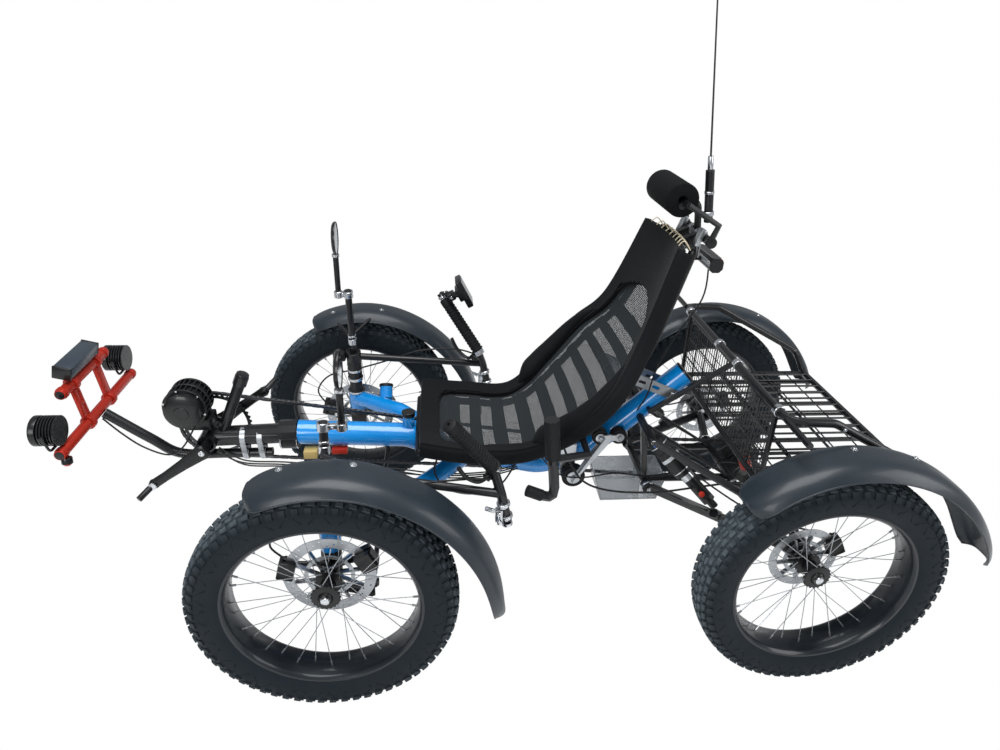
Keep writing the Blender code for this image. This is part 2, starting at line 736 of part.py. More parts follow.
def make_crankset(shop):
    """The turning set: axle, tapered arms, chainring web and pedal adaptors."""
    centre = Vector((CRANK_X, 0, CRANK_Z))
    shop.rod((CRANK_X, -CRANK_IN - CRANK_THICK / 2, CRANK_Z), (CRANK_X, CRANK_IN + CRANK_THICK / 2, CRANK_Z),
             CRANK_AXLE_RADIUS, sides=STUD_SIDES)
    for side in (1, -1):
        angle = math.radians(CRANK_ANGLE_DEG) + (0 if side > 0 else math.pi)
        out = Vector((math.cos(angle), 0, math.sin(angle)))
        tip = centre + out * CRANK_LENGTH + Vector((0, side * (CRANK_IN + CRANK_FLARE), 0))
        root = centre + Vector((0, side * CRANK_IN, 0))
        shop.rod(root - Vector((0, CRANK_THICK / 2, 0)), root + Vector((0, CRANK_THICK / 2, 0)),
                 CRANK_WIDTH / 2 + CRANK_THICK / 4, sides=STUD_SIDES)
        shop.rod(tip - Vector((0, CRANK_THICK / 2, 0)), tip + Vector((0, CRANK_THICK / 2, 0)),
                 CRANK_TIP_WIDTH / 2 + CRANK_THICK / 8, sides=STUD_SIDES)
        arm = tip - root
        turn = arm.to_track_quat("X", "Z").to_matrix().to_4x4()
        shop.box((arm.length, CRANK_THICK, CRANK_TIP_WIDTH), (root + tip) / 2, turn)
        adaptor = tip + out * ADAPTOR_LENGTH
        shop.rod(tip, adaptor, ADAPTOR_RADIUS, sides=STUD_SIDES)
        before = Vector((0, side * ADAPTOR_RADIUS, 0))
        shop.rod(adaptor - before, adaptor + Vector((0, side * ADAPTOR_LENGTH, 0)), ADAPTOR_RADIUS,
                 sides=STUD_SIDES)
    shop.turned([
        (CHAINRING_RADIUS - DISC_BAND, -RING_THICK / 2),
        (CHAINRING_RADIUS, -RING_THICK / 2),
        (CHAINRING_RADIUS, RING_THICK / 2),
        (CHAINRING_RADIUS - DISC_BAND, RING_THICK / 2),
    ], RING_STEPS, (CRANK_X, CHAIN_Y, CRANK_Z), "Y", ring=True)
    for count in range(RING_ARMS):
        angle = math.tau * count / RING_ARMS
        out = Vector((math.cos(angle), 0, math.sin(angle)))
        start = Vector((CRANK_X, CHAIN_Y, CRANK_Z))
        end = start + out * (CHAINRING_RADIUS - DISC_BAND / 2)
        turn = Matrix.Rotation(-math.atan2(out.z, out.x), 4, "Y")
        shop.box(((end - start).length, RING_THICK * 4 / 5, CRANK_TIP_WIDTH), (start + end) / 2, turn)
    shop.finish("crankset", "black_alloy", pivot=centre)


# Chain: one closed loop of links round the chainring and the rear sprocket

CHAIN_PITCH = 0.0508
CHAIN_GAP = 0.0012
CHAIN_THICK = 0.0085
CHAIN_WIDE = 0.0070
CHAIN_NARROW = 0.0044
GUIDE_X = -0.020
GUIDE_Z = 0.396
GUIDE_RADIUS = 0.018


def chain_route():
    """Places along the loop: round the chainring, under the idler and round the sprocket."""
    half = CHAIN_THICK / 2
    big = CHAINRING_RADIUS + CHAIN_GAP + half
    small = SPROCKET_RADIUS + CHAIN_GAP + half
    ahead = Vector((CRANK_X, CHAIN_Y, CRANK_Z))
    behind = Vector((REAR_AXLE_X, CHAIN_Y, AXLE_Z))
    middle = Vector((GUIDE_X, CHAIN_Y, GUIDE_Z))
    press = GUIDE_RADIUS + CHAIN_GAP + half

    def on(centre, radius, angle):
        return centre + Vector((radius * math.cos(angle), 0, radius * math.sin(angle)))

    def tangent(first, first_radius, second, second_radius, turn):
        """The angle of the touching points of a line that keeps both circles on its turn side."""
        line = second - first
        share = (first_radius - second_radius) / math.hypot(line.x, line.z)
        return math.atan2(line.z, line.x) + turn * math.acos(share)

    rise = tangent(behind, small, middle, -press, 1)
    fall = tangent(middle, -press, ahead, big, 1)
    under = tangent(behind, small, ahead, big, -1)
    places = []

    def run(start, end, pitch):
        steps = max(2, round((end - start).length / pitch / 2) * 2)
        for step in range(steps):
            places.append(start.lerp(end, step / steps))

    def arc(centre, radius, start, end, pitch):
        steps = max(2, round(abs(radius * (end - start)) / pitch / 2) * 2)
        for step in range(steps):
            places.append(on(centre, radius, start + (end - start) * step / steps))

    run(on(behind, small, rise), on(middle, -press, rise), CHAIN_PITCH)
    arc(middle, -press, rise, fall, CHAIN_PITCH / 3)
    run(on(middle, -press, fall), on(ahead, big, fall), CHAIN_PITCH)
    arc(ahead, big, fall, under, CHAIN_PITCH / 2)
    run(on(ahead, big, under), on(behind, small, under), CHAIN_PITCH)
    arc(behind, small, under, rise - math.tau, CHAIN_PITCH / 3)
    return places


def make_chain(shop):
    """Loft one square ring along the loop, with wide and narrow links in turn."""
    places = chain_route()
    total = len(places)
    faces = bmesh.new()
    rings = []
    for index, place in enumerate(places):
        ahead = places[(index + 1) % total]
        before = places[index - 1]
        along = (ahead - before).normalized()
        out = Vector((-along.z, 0, along.x))
        wide = CHAIN_WIDE if index % 2 else CHAIN_NARROW
        ring = []
        for across, up in ((-1, -1), (1, -1), (1, 1), (-1, 1)):
            corner = place + out * (up * CHAIN_THICK / 2) + Vector((0, across * wide / 2, 0))
            ring.append(faces.verts.new(corner))
        rings.append(ring)
    for index, ring in enumerate(rings):
        following = rings[(index + 1) % total]
        for corner in range(len(ring)):
            after = (corner + 1) % len(ring)
            faces.faces.new((ring[corner], ring[after], following[after], following[corner]))
    mesh = bpy.data.meshes.new("chain")
    faces.to_mesh(mesh)
    faces.free()
    shop.baked(shop.link(mesh))
    shop.finish("chain", "bright_steel", sharp_deg=LINK_SHARP_DEG)


# Knuckles: kingpin, upright, stub axle, tie rod arm, caliper and stem stack

UPRIGHT_WIDTH = 0.044
UPRIGHT_THICK = 0.016
CROWN_THICK = 0.012
STACK_RADIUS = 0.0230
STEM_CLAMP_RADIUS = 0.0210
STEM_TOP_Z = 0.500
AXLE_BOSS_RADIUS = 0.0200
CALIPER_HEIGHT = 0.046
CALIPER_LENGTH = 0.036
CALIPER_THICK = 0.015
CALIPER_SLOT = 0.0080
CALIPER_ANGLE_DEG = 152.0
CALIPER_REACH = 0.093
TIE_STUD_HALF = 0.022


def tie_ball(side):
    """The tie rod stud's place on the knuckle arm."""
    base = kingpin_point(side, TIE_ROD_Z)
    return base + Vector((-TIE_ARM_REACH, 0, 0))


def make_knuckle(shop, side):
    """One closed forging on the kingpin axis."""
    up = kingpin_axis(side)
    bottom = kingpin_point(side, HEAD_TUBE_BOTTOM)
    top = kingpin_point(side, HEAD_TUBE_TOP)
    disc_y = HALF_TRACK_FRONT - DISC_AT
    shop.rod(bottom - up * CROWN_THICK, top + up * CROWN_THICK, KINGPIN_RADIUS, sides=CASTING_SIDES)
    shop.rod(bottom - up * (CROWN_THICK + RUNNING_GAP), bottom - up * RUNNING_GAP,
             HEAD_TUBE_RADIUS, sides=CASTING_SIDES)
    shop.rod(top + up * RUNNING_GAP, kingpin_point(side, STEM_TOP_Z - CROWN_THICK), STACK_RADIUS * 4 / 5,
             sides=STUD_SIDES)
    shop.rod(kingpin_point(side, STEM_TOP_Z - CROWN_THICK * 4), kingpin_point(side, STEM_TOP_Z),
             STEM_CLAMP_RADIUS, sides=STUD_SIDES)
    low = kingpin_point(side, TIE_ROD_Z)
    high = bottom - up * (CROWN_THICK / 2 + RUNNING_GAP)
    turn = Matrix.Rotation(side * math.radians(KINGPIN_LEAN_DEG), 4, "X")
    foot = low - up * UPRIGHT_THICK
    shop.box((UPRIGHT_WIDTH, UPRIGHT_THICK, (high - foot).length), (foot + high) / 2, turn)
    hub = Vector((FRONT_AXLE_X, side * HALF_TRACK_FRONT, AXLE_Z))
    post = kingpin_point(side, AXLE_Z)
    shop.rod(post, (FRONT_AXLE_X, side * (HALF_TRACK_FRONT - HUB_IN - RUNNING_GAP * 2), AXLE_Z),
             AXLE_BOSS_RADIUS, sides=STUD_SIDES)
    start = post - Vector((0, side * OVERRUN, 0))
    shop.rod(start, hub + Vector((0, side * (HUB_OUT - RUNNING_GAP), 0)), AXLE_RADIUS, sides=STUD_SIDES)
    ball = tie_ball(side)
    arm_end = ball - up * (TIE_ROD_RADIUS * 9 / 2)
    arm_root = low - up * (TIE_ROD_RADIUS * 3 - UPRIGHT_THICK)
    shop.rod(arm_root, arm_end, TIE_ROD_RADIUS * 3 / 2, sides=STUD_SIDES)
    shop.rod(arm_end - up * TIE_ROD_RADIUS, ball + up * TIE_STUD_HALF, STUD_RADIUS, sides=STUD_SIDES)
    angle = math.radians(CALIPER_ANGLE_DEG)
    radial = Vector((math.cos(angle), 0, math.sin(angle)))
    place = Vector((FRONT_AXLE_X, side * disc_y, AXLE_Z)) + radial * CALIPER_REACH
    twist = Matrix.Rotation(-angle, 4, "Y")
    half_slot = CALIPER_SLOT / 2
    for offset in (-1, 1):
        centre = place + Vector((0, offset * (half_slot + CALIPER_THICK / 2), 0))
        shop.box((CALIPER_LENGTH, CALIPER_THICK, CALIPER_HEIGHT), centre, twist)
    bridge = place + radial * (CALIPER_LENGTH / 2)
    shop.box((CALIPER_THICK / 2, CALIPER_SLOT + CALIPER_THICK, CALIPER_HEIGHT * 4 / 5), bridge, twist)
    inner = place - Vector((0, side * (half_slot + CALIPER_THICK / 2), 0))
    shop.rod(post + Vector((0, side * UPRIGHT_THICK / 2, 0)), inner, CALIPER_THICK / 2, sides=ROD_SIDES)
    shop.finish("knuckle_" + side_name(side), "black_coat", pivot=kingpin_point(side, AXLE_Z))


# Handlebars: clamped arm running back from the stem to a raked hand grip

CLAMP_STACK = 0.030
GRIP_RADIUS = 0.0165
BAR_RADIUS = 0.0110
BAR_BASE_X = 0.157
BAR_OUT = 0.020
BAR_BASE_Y = KINGPIN_Y + BAR_OUT
BAR_BASE_Z = 0.400
GRIP_BOTTOM_X = 0.190
GRIP_IN = 0.023
GRIP_BOTTOM_Y = BAR_BASE_Y - GRIP_IN
GRIP_BOTTOM_Z = 0.526
GRIP_TOP_X = 0.288
GRIP_OUT = 0.030
GRIP_TOP_Y = BAR_BASE_Y + GRIP_OUT
GRIP_TOP_Z = 0.668
ARM_END_X = 0.172
ARM_END_Z = 0.470
LEVER_LENGTH = 0.080
LEVER_RADIUS = 0.006


def make_handlebar(shop, side):
    """Arm, riser, brake lever body and grip, in one piece with its clamp on the stem."""
    clamp = kingpin_point(side, STEM_TOP_Z)
    axis = kingpin_axis(side)
    seat = clamp + axis * (CROWN_THICK * 5 / 4 + SEAT_GAP)
    arm_end = Vector((ARM_END_X, side * BAR_BASE_Y, ARM_END_Z))
    grip_low = Vector((GRIP_BOTTOM_X, side * GRIP_BOTTOM_Y, GRIP_BOTTOM_Z))
    grip_top = Vector((GRIP_TOP_X, side * GRIP_TOP_Y, GRIP_TOP_Z))
    base = Vector((BAR_BASE_X, side * BAR_BASE_Y, BAR_BASE_Z))
    shop.rod(clamp + axis * SEAT_GAP, clamp + axis * (CLAMP_STACK + SEAT_GAP), STEM_CLAMP_RADIUS,
             sides=STUD_SIDES)
    past = arm_end + (arm_end - seat).normalized() * BAR_RADIUS / 2
    shop.rod(seat, past, BAR_RADIUS * 9 / 10, sides=STUD_SIDES)
    shop.tube(bent([base, arm_end, grip_low, grip_low.lerp(grip_top, 1 / 2)], BAR_RADIUS * 4), BAR_RADIUS,
              level=TUBE_BEVEL_STEPS)
    sink = (base - arm_end).normalized() * OVERRUN
    shop.rod(base + sink, base.lerp(arm_end, 1 / 2), GRIP_RADIUS, sides=STUD_SIDES)
    along = (grip_top - grip_low).normalized()
    shop.rod(grip_low, grip_top, GRIP_RADIUS, sides=STUD_SIDES)
    collar = grip_low - along * GRIP_RADIUS
    shop.rod(collar, collar + along * GRIP_RADIUS * 3 / 2, GRIP_RADIUS * 5 / 4, sides=STUD_SIDES)
    shop.rod(collar, collar + Vector((LEVER_LENGTH, 0, -LEVER_LENGTH / 4)), LEVER_RADIUS * 4 / 3,
             end_radius=LEVER_RADIUS)
    shop.finish("handlebar_" + side_name(side), "black_coat", pivot=kingpin_point(side, AXLE_Z))


DISPLAY_WIDTH = 0.064
DISPLAY_HEIGHT = 0.084
DISPLAY_THICK = 0.018
DISPLAY_TILT_DEG = -62.0
DISPLAY_OFFSET_X = 0.056
DISPLAY_OFFSET_Y = 0.050
DISPLAY_OFFSET_Z = 0.040


def make_display(shop):
    """The read-out on the right grip's top, on a short stalk."""
    low = Vector((GRIP_BOTTOM_X, -GRIP_BOTTOM_Y, GRIP_BOTTOM_Z))
    top = Vector((GRIP_TOP_X, -GRIP_TOP_Y, GRIP_TOP_Z))
    along = (top - low).normalized()
    seat = top + along * SEAT_GAP
    shop.rod(seat, seat + along * DISPLAY_THICK, GRIP_RADIUS * 3 / 4, sides=STUD_SIDES)
    middle = top + Vector((-DISPLAY_OFFSET_X, DISPLAY_OFFSET_Y, DISPLAY_OFFSET_Z))
    shop.rod(seat + along * DISPLAY_THICK, middle, GRIP_RADIUS / 3)
    turn = Matrix.Rotation(math.radians(DISPLAY_TILT_DEG), 4, "Y")
    shop.box((DISPLAY_HEIGHT, DISPLAY_WIDTH, DISPLAY_THICK), middle, turn)
    shop.finish("display", "lamp_black", pivot=kingpin_point(-1, AXLE_Z))


# Mudguards: dished shells bent round each tyre, the tails flaring outwards

GUARD_HALF_WIDTH = 0.062
GUARD_SKIRT = 0.026
GUARD_WALL = 0.003
GUARD_STATIONS = 12
FRONT_GUARD_FROM_DEG = 66.0
FRONT_GUARD_TO_DEG = 186.0
REAR_GUARD_FROM_DEG = 46.0
REAR_GUARD_TO_DEG = 171.0
GUARD_CROWN_RADIUS = 0.3180
GUARD_RISE = 0.022
GUARD_TAIL_FLARE = 0.052
GUARD_SKIRT_SHARES = ((-1.0, 1.0), (-0.80, 0.30), (0.0, 0.0), (0.80, 0.30), (1.0, 1.0))


def guard_crown(share):
    """The crown's radius from the axle, rising in the middle and flaring at the tail."""
    rise = GUARD_RISE * math.sin(math.pi * share * 3 / 4)
    flare = GUARD_TAIL_FLARE * max(0, share - 2 / 5) ** 2 / (3 / 5) ** 2
    return GUARD_CROWN_RADIUS + rise + flare


def make_guard(shop, axle, middle_y, from_deg, to_deg):
    """Loft the guard's open section round the axle and give it its wall."""
    faces = bmesh.new()
    rows = []
    for station in range(GUARD_STATIONS + 1):
        share = station / GUARD_STATIONS
        angle = math.radians(from_deg + (to_deg - from_deg) * share)
        crown = guard_crown(share)
        tip = min(share, 1 - share) * GUARD_STATIONS
        narrow = 1 if tip >= 2 else (3 / 5 if tip == 0 else 9 / 10)
        row = []
        for across, drop in GUARD_SKIRT_SHARES:
            radius = crown - GUARD_SKIRT * drop * narrow
            place = (axle.x + radius * math.cos(angle), middle_y + across * GUARD_HALF_WIDTH * narrow,
                     axle.z + radius * math.sin(angle))
            row.append(faces.verts.new(place))
        rows.append(row)
    for row, following in zip(rows[:-1], rows[1:]):
        for index in range(len(row) - 1):
            faces.faces.new((row[index], row[index + 1], following[index + 1], following[index]))
    bmesh.ops.recalc_face_normals(faces, faces=faces.faces)
    mesh = bpy.data.meshes.new("guard")
    faces.to_mesh(mesh)
    faces.free()
    item = shop.link(mesh)
    shell = item.modifiers.new("wall", "SOLIDIFY")
    shell.thickness = GUARD_WALL
    shell.offset = 0
    return shop.baked(item)


STAY_RADIUS = 0.0055
FRONT_STAY_SHARE = 0.30


def guard_point(axle, middle_y, from_deg, to_deg, share, across):
    """A place just under the guard's crown."""
    angle = math.radians(from_deg + (to_deg - from_deg) * share)
    radius = guard_crown(share) - GUARD_WALL / 2 - GUARD_SKIRT * 6 / 100
    return Vector((axle.x + radius * math.cos(angle), middle_y + across,
                   axle.z + radius * math.sin(angle)))


def make_front_guard(shop, side):
    """Guard with two stays that reach in to the mirror post's foot."""
    axle = Vector((FRONT_AXLE_X, 0, AXLE_Z))
    middle = side * HALF_TRACK_FRONT
    make_guard(shop, axle, middle, FRONT_GUARD_FROM_DEG, FRONT_GUARD_TO_DEG)
    reach = Vector((0, side * (MIRROR_POST_RADIUS + BAND_THICK + SEAT_GAP + RUNNING_GAP), 0))
    for share, height in ((FRONT_STAY_SHARE / 4, -1), (FRONT_STAY_SHARE, 1)):
        over = guard_point(axle, middle, FRONT_GUARD_FROM_DEG, FRONT_GUARD_TO_DEG, share,
                           -side * GUARD_HALF_WIDTH / 3)
        start = kingpin_point(side, MIRROR_FOOT_Z + STAY_RADIUS * height) + reach
        knee = start + Vector((0, side * MIRROR_POST_RADIUS, 0))
        shop.tube([start, knee, over], STAY_RADIUS, level=WIRE_BEVEL_STEPS)
    shop.finish("mudguard_front_" + side_name(side), "guard_plastic", pivot=kingpin_point(side, AXLE_Z))


# Mirror posts: stacked tubes with clamps, an oval mirror on top

MIRROR_POST_RADIUS = 0.0095
MIRROR_FOOT_Z = 0.566
MIRROR_CLAMP_LEFT_Z = 0.618
MIRROR_CLAMP_RIGHT_Z = 0.715
MIRROR_TOP_LEFT_Z = 0.712
MIRROR_TOP_RIGHT_Z = 0.832
MIRROR_HEIGHT = 0.088
MIRROR_WIDTH = 0.080
MIRROR_THICK = 0.012
CLAMP_SIZE = 0.026


def mirror_foot(side):
    """Where the post's foot bracket meets the guard's stays."""
    return kingpin_point(side, MIRROR_FOOT_Z)


def make_mirror_post(shop, side):
    """Post on the stem's top clamp, offset clamp, upper post and oval mirror."""
    base = kingpin_point(side, STEM_TOP_Z)
    axis = kingpin_axis(side)
    seat = base + axis * (CLAMP_STACK + SEAT_GAP * 2)
    foot = mirror_foot(side)
    clamp = kingpin_point(side, MIRROR_CLAMP_LEFT_Z if side > 0 else MIRROR_CLAMP_RIGHT_Z)
    shop.rod(seat, clamp, MIRROR_POST_RADIUS, sides=STUD_SIDES)
    shop.rod(foot - axis * STAY_RADIUS * 5, foot + axis * STAY_RADIUS * 5, MIRROR_POST_RADIUS + BAND_THICK,
             sides=STUD_SIDES)
    reach = -CLAMP_SIZE * 3 / 2 if side > 0 else CLAMP_SIZE
    upper = Vector((clamp.x + reach, clamp.y, clamp.z))
    shop.box((abs(reach) + CLAMP_SIZE, CLAMP_SIZE * 4 / 5, CLAMP_SIZE), (clamp + upper) / 2)
    top = Vector((upper.x, upper.y, MIRROR_TOP_LEFT_Z if side > 0 else MIRROR_TOP_RIGHT_Z))
    shop.rod(upper, top, MIRROR_POST_RADIUS * 4 / 5, sides=STUD_SIDES)
    middle = top + Vector((0, 0, MIRROR_HEIGHT / 2 - MIRROR_THICK / 2))
    disc = shop.rod((-MIRROR_THICK / 2, 0, 0), (MIRROR_THICK / 2, 0, 0), MIRROR_WIDTH / 2,
                    sides=CASTING_SIDES)
    disc.data.transform(Matrix.Diagonal((1, 1, MIRROR_HEIGHT / MIRROR_WIDTH, 1)))
    disc.data.transform(Matrix.Translation(middle))
    shop.finish("mirror_post_" + side_name(side), "black_coat", pivot=kingpin_point(side, AXLE_Z))


LAMP_BOX_LENGTH = 0.040
LAMP_BOX_HEIGHT = 0.030
LAMP_BOX_DEPTH = 0.036


def make_side_lamp(shop):
    """The small lamp against the right clamp stack, facing forward."""
    foot = kingpin_point(-1, MIRROR_FOOT_Z - STAY_RADIUS * 5 - LAMP_BOX_HEIGHT / 2 - OVERRUN)
    reach = STEM_CLAMP_RADIUS + SEAT_GAP + LAMP_BOX_DEPTH / 2
    place = foot + Vector((reach, 0, 0))
    shop.box((LAMP_BOX_DEPTH, LAMP_BOX_LENGTH, LAMP_BOX_HEIGHT), place)
    shop.finish("side_lamp", "lamp_black", pivot=kingpin_point(-1, AXLE_Z))


def make_tie_rod(shop):
    """A rod with an eye on each stud; the right eye floats."""
    left = tie_ball(1)
    right = tie_ball(-1)
    eye = hole_radius(STUD_RADIUS, RUNNING_GAP * 4, ROD_SIDES)
    shop.rod(left, right, TIE_ROD_RADIUS, sides=STUD_SIDES)
    for side, end in ((1, left), (-1, right)):
        up = kingpin_axis(side)
        half = up * TIE_ROD_RADIUS
        shop.rod(end - half, end + half, eye + TIE_ROD_RADIUS, sides=STUD_SIDES)
    rod = shop.join()
    cutters = []
    snug = hole_radius(STUD_RADIUS, RUNNING_GAP / 2, ROD_SIDES)
    for side, end, hole in ((1, left, snug), (-1, right, eye)):
        up = kingpin_axis(side)
        cutters.append(shop.rod(end - up * TIE_STUD_HALF, end + up * TIE_STUD_HALF, hole, sides=ROD_SIDES))
    shop.cut(rod, cutters)
    shop.finish("tie_rod", "black_coat", pivot=left)


# Light frame: red cross tubes, plates, pod lamps and the light bar

RED_REAR_X = 1.136
RED_REAR_Z = 0.510
RED_REAR_HALF = 0.204
RED_FRONT_X = 1.150
RED_FRONT_Z = 0.614
RED_FRONT_HALF = 0.117
RED_RADIUS = 0.0125
RED_PLATE_Y = 0.058
RED_PLATE_THICK = 0.010
RED_PLATE_WIDTH = 0.036
POD_X = 1.156
POD_RADIUS = 0.034
POD_DEPTH = 0.052
POD_FINS = 3
LIGHT_BAR_FROM_Y = -0.058
LIGHT_BAR_TO_Y = 0.090
LIGHT_BAR_DEPTH = 0.034
LIGHT_BAR_HEIGHT = 0.040


def make_light_frame(shop):
    """Two cross tubes joined by machined plates, with the clamp on the accessory tube."""
    shop.rod((RED_REAR_X, -RED_REAR_HALF, RED_REAR_Z), (RED_REAR_X, RED_REAR_HALF, RED_REAR_Z), RED_RADIUS)
    shop.rod((RED_FRONT_X, -RED_FRONT_HALF, RED_FRONT_Z), (RED_FRONT_X, RED_FRONT_HALF, RED_FRONT_Z),
             RED_RADIUS)
    low = Vector((RED_REAR_X, 0, RED_REAR_Z))
    high = Vector((RED_FRONT_X, 0, RED_FRONT_Z))
    turn = Matrix.Rotation(math.atan2(high.x - low.x, high.z - low.z), 4, "Y")
    for side in (1, -1):
        shift = Vector((0, side * RED_PLATE_Y, 0))
        shop.box((RED_PLATE_WIDTH * 2 / 3, RED_PLATE_THICK, (high - low).length), (low + high) / 2 + shift,
                 turn)
        for place in (low + shift, high + shift):
            half = Vector((0, RED_PLATE_THICK, 0))
            shop.rod(place - half, place + half, RED_RADIUS * 3 / 2, sides=STUD_SIDES)
        end = Vector((RED_REAR_X, side * (RED_REAR_HALF - RED_PLATE_THICK * 2), RED_REAR_Z))
        half = Vector((0, RED_PLATE_THICK, 0))
        shop.rod(end - half, end + half, RED_RADIUS * 4 / 3, sides=STUD_SIDES)
        post = end + Vector((0, 0, RED_RADIUS * 3 / 2))
        shop.rod(end, post, RED_RADIUS / 2, sides=STUD_SIDES)
    half = Vector((0, RED_PLATE_WIDTH / 2, 0))
    shop.rod(low - half, low + half, RED_RADIUS * 5 / 3, sides=STUD_SIDES)
    frame = shop.join()
    rise = Vector((ACCESSORY_RISE_X, 0, ACCESSORY_RISE_Z))
    tube_end = Vector((ACCESSORY_END_X, 0, ACCESSORY_END_Z))
    socket = shop.rod(rise, tube_end + (tube_end - rise).normalized() * SEAT_GAP,
                      hole_radius(ACCESSORY_RADIUS, SEAT_GAP, CASTING_SIDES), sides=CASTING_SIDES)
    shop.cut(frame, [socket])
    shop.finish("light_frame", "red_anodised")


def make_pod(shop, side):
    """A drum lamp with a finned back on a stud of the red tube."""
    profile = [(0, POD_DEPTH / 2), (POD_RADIUS * 4 / 5, POD_DEPTH / 2), (POD_RADIUS, POD_DEPTH * 2 / 5)]
    pitch = POD_DEPTH * 4 / 5 / (POD_FINS * 2)
    start = POD_DEPTH * 2 / 5
    core = POD_RADIUS * 4 / 5
    for count in range(POD_FINS):
        level = start - count * pitch * 2
        profile.append((POD_RADIUS, level - pitch))
        profile.append((core, level - pitch))
        profile.append((core, level - pitch * 2))
        profile.append((POD_RADIUS, level - pitch * 2))
    profile.pop()
    profile.pop()
    profile.append((core, -POD_DEPTH / 2))
    profile.append((0, -POD_DEPTH / 2))
    pod = shop.turned(profile, CASTING_SIDES, (0, 0, 0), "Z")
    height = RED_REAR_Z + RED_RADIUS * 3 / 2 + SEAT_GAP + POD_RADIUS
    place = Vector((POD_X, side * (RED_REAR_HALF - RED_PLATE_THICK * 2), height))
    pod.data.transform(Matrix.Translation(place) @ Matrix.Rotation(math.pi / 2, 4, "Y"))
    shop.finish("pod_lamp_" + side_name(side), "lamp_black")


def make_light_bar(shop):
    """An extruded lamp lying on the front red tube."""
    middle_y = (LIGHT_BAR_FROM_Y + LIGHT_BAR_TO_Y) / 2
    height = RED_FRONT_Z + RED_RADIUS * 3 / 2 + SEAT_GAP + LIGHT_BAR_HEIGHT / 2
    length = LIGHT_BAR_TO_Y - LIGHT_BAR_FROM_Y
    shop.box((LIGHT_BAR_DEPTH, length, LIGHT_BAR_HEIGHT * 3 / 4), (RED_FRONT_X, middle_y, height))
    shop.box((LIGHT_BAR_DEPTH * 3 / 4, length, LIGHT_BAR_HEIGHT), (RED_FRONT_X, middle_y, height))
    shop.finish("light_bar", "lamp_black")


# Seat: rails with cross bars, and a dished cover

NOSE_X = 0.352
NOSE_Z = 0.494
LAP_X = 0.235
LAP_Z = 0.478
LOW_X = 0.105
LOW_Z = 0.478
HIP_X = 0.000
HIP_Z = 0.560
WAIST_X = -0.080
WAIST_Z = 0.655
CHEST_X = -0.150
CHEST_Z = 0.760
TOP_X = -0.222
TOP_Z = 0.965
SEAT_TOP_HALF = 0.135
SEAT_DISH = 0.022
RAIL_RADIUS = 0.0100


def seat_line():
    """The cover's side line as places with half widths, from the nose to the top."""
    return [
        (NOSE_X, NOSE_Z, SEAT_HALF_WIDTH * 19 / 20),
        (LAP_X, LAP_Z, SEAT_HALF_WIDTH),
        (LOW_X, LOW_Z, SEAT_HALF_WIDTH),
        (HIP_X, HIP_Z, SEAT_HALF_WIDTH * 5 / 4),
        (WAIST_X, WAIST_Z, SEAT_HIP_HALF_WIDTH),
        (CHEST_X, CHEST_Z, SEAT_HIP_HALF_WIDTH * 3 / 4),
        (TOP_X, TOP_Z, SEAT_TOP_HALF),
    ]


def smooth_line(line, steps):
    """Catmull-Rom points through a list of tuples."""
    rows = []
    for index in range(len(line) - 1):
        before = line[max(index - 1, 0)]
        first = line[index]
        second = line[index + 1]
        after = line[min(index + 2, len(line) - 1)]
        for step in range(steps):
            share = step / steps
            row = []
            for a, b, c, d in zip(before, first, second, after):
                row.append((2 * b + (c - a) * share + (2 * a - 5 * b + 4 * c - d) * share ** 2
                            + (3 * b - a - 3 * c + d) * share ** 3) / 2)
            rows.append(tuple(row))
    rows.append(line[-1])
    return rows


SEAT_ACROSS_SHARES = (-1.0, -0.62, -0.30, 0.0, 0.30, 0.62, 1.0)


def make_seat_cover(shop):
    """A dished sheet lofted along the side line, given its thickness."""
    rows = smooth_line(seat_line(), 3)
    faces = bmesh.new()
    grid = []
    for index, (place_x, place_z, half) in enumerate(rows):
        after = rows[min(index + 1, len(rows) - 1)]
        before = rows[max(index - 1, 0)]
        along = Vector((after[0] - before[0], 0, after[1] - before[1])).normalized()
        down = Vector((along.z, 0, -along.x))
        row = []
        for share in SEAT_ACROSS_SHARES:
            dish = SEAT_DISH * (1 - share ** 2)
            place = Vector((place_x, half * share, place_z)) - down * dish
            row.append(faces.verts.new(place))
        grid.append(row)
    for row, following in zip(grid[:-1], grid[1:]):
        for index in range(len(row) - 1):
            faces.faces.new((row[index], row[index + 1], following[index + 1], following[index]))
    bmesh.ops.recalc_face_normals(faces, faces=faces.faces)
    mesh = bpy.data.meshes.new("cover")
    faces.to_mesh(mesh)
    faces.free()
    item = shop.link(mesh)
    shell = item.modifiers.new("thickness", "SOLIDIFY")
    shell.thickness = SEAT_THICK
    shell.offset = 0
    shop.baked(item)
    shop.finish("seat_cover", "seat_fabric")


# Seat frame: side rails under the cover's edges, joined by cross bars

RAIL_SHARE = 0.80
RAIL_ROOM = 0.0050
SEAT_CLEAR = SEAT_THICK / 2 + RAIL_RADIUS + RAIL_ROOM
BAR_RADIUS_SEAT = 0.0070
BAR_DROP = SEAT_THICK / 2 + BAR_RADIUS_SEAT + SEAT_DISH / 5 + RAIL_ROOM / 5
SEAT_ROWS = 18
WAIST_ROW = 12


def under_seat(share, index, drop=SEAT_CLEAR):
    """A place below the cover at one station of the side line."""
    rows = smooth_line(seat_line(), 3)
    place_x, place_z, half = rows[index]
    after = rows[min(index + 1, len(rows) - 1)]
    before = rows[max(index - 1, 0)]
    along = Vector((after[0] - before[0], 0, after[1] - before[1])).normalized()
    down = Vector((along.z, 0, -along.x))
    dish = SEAT_DISH * (1 - share ** 2)
    return Vector((place_x, half * share, place_z)) - down * (dish + drop)


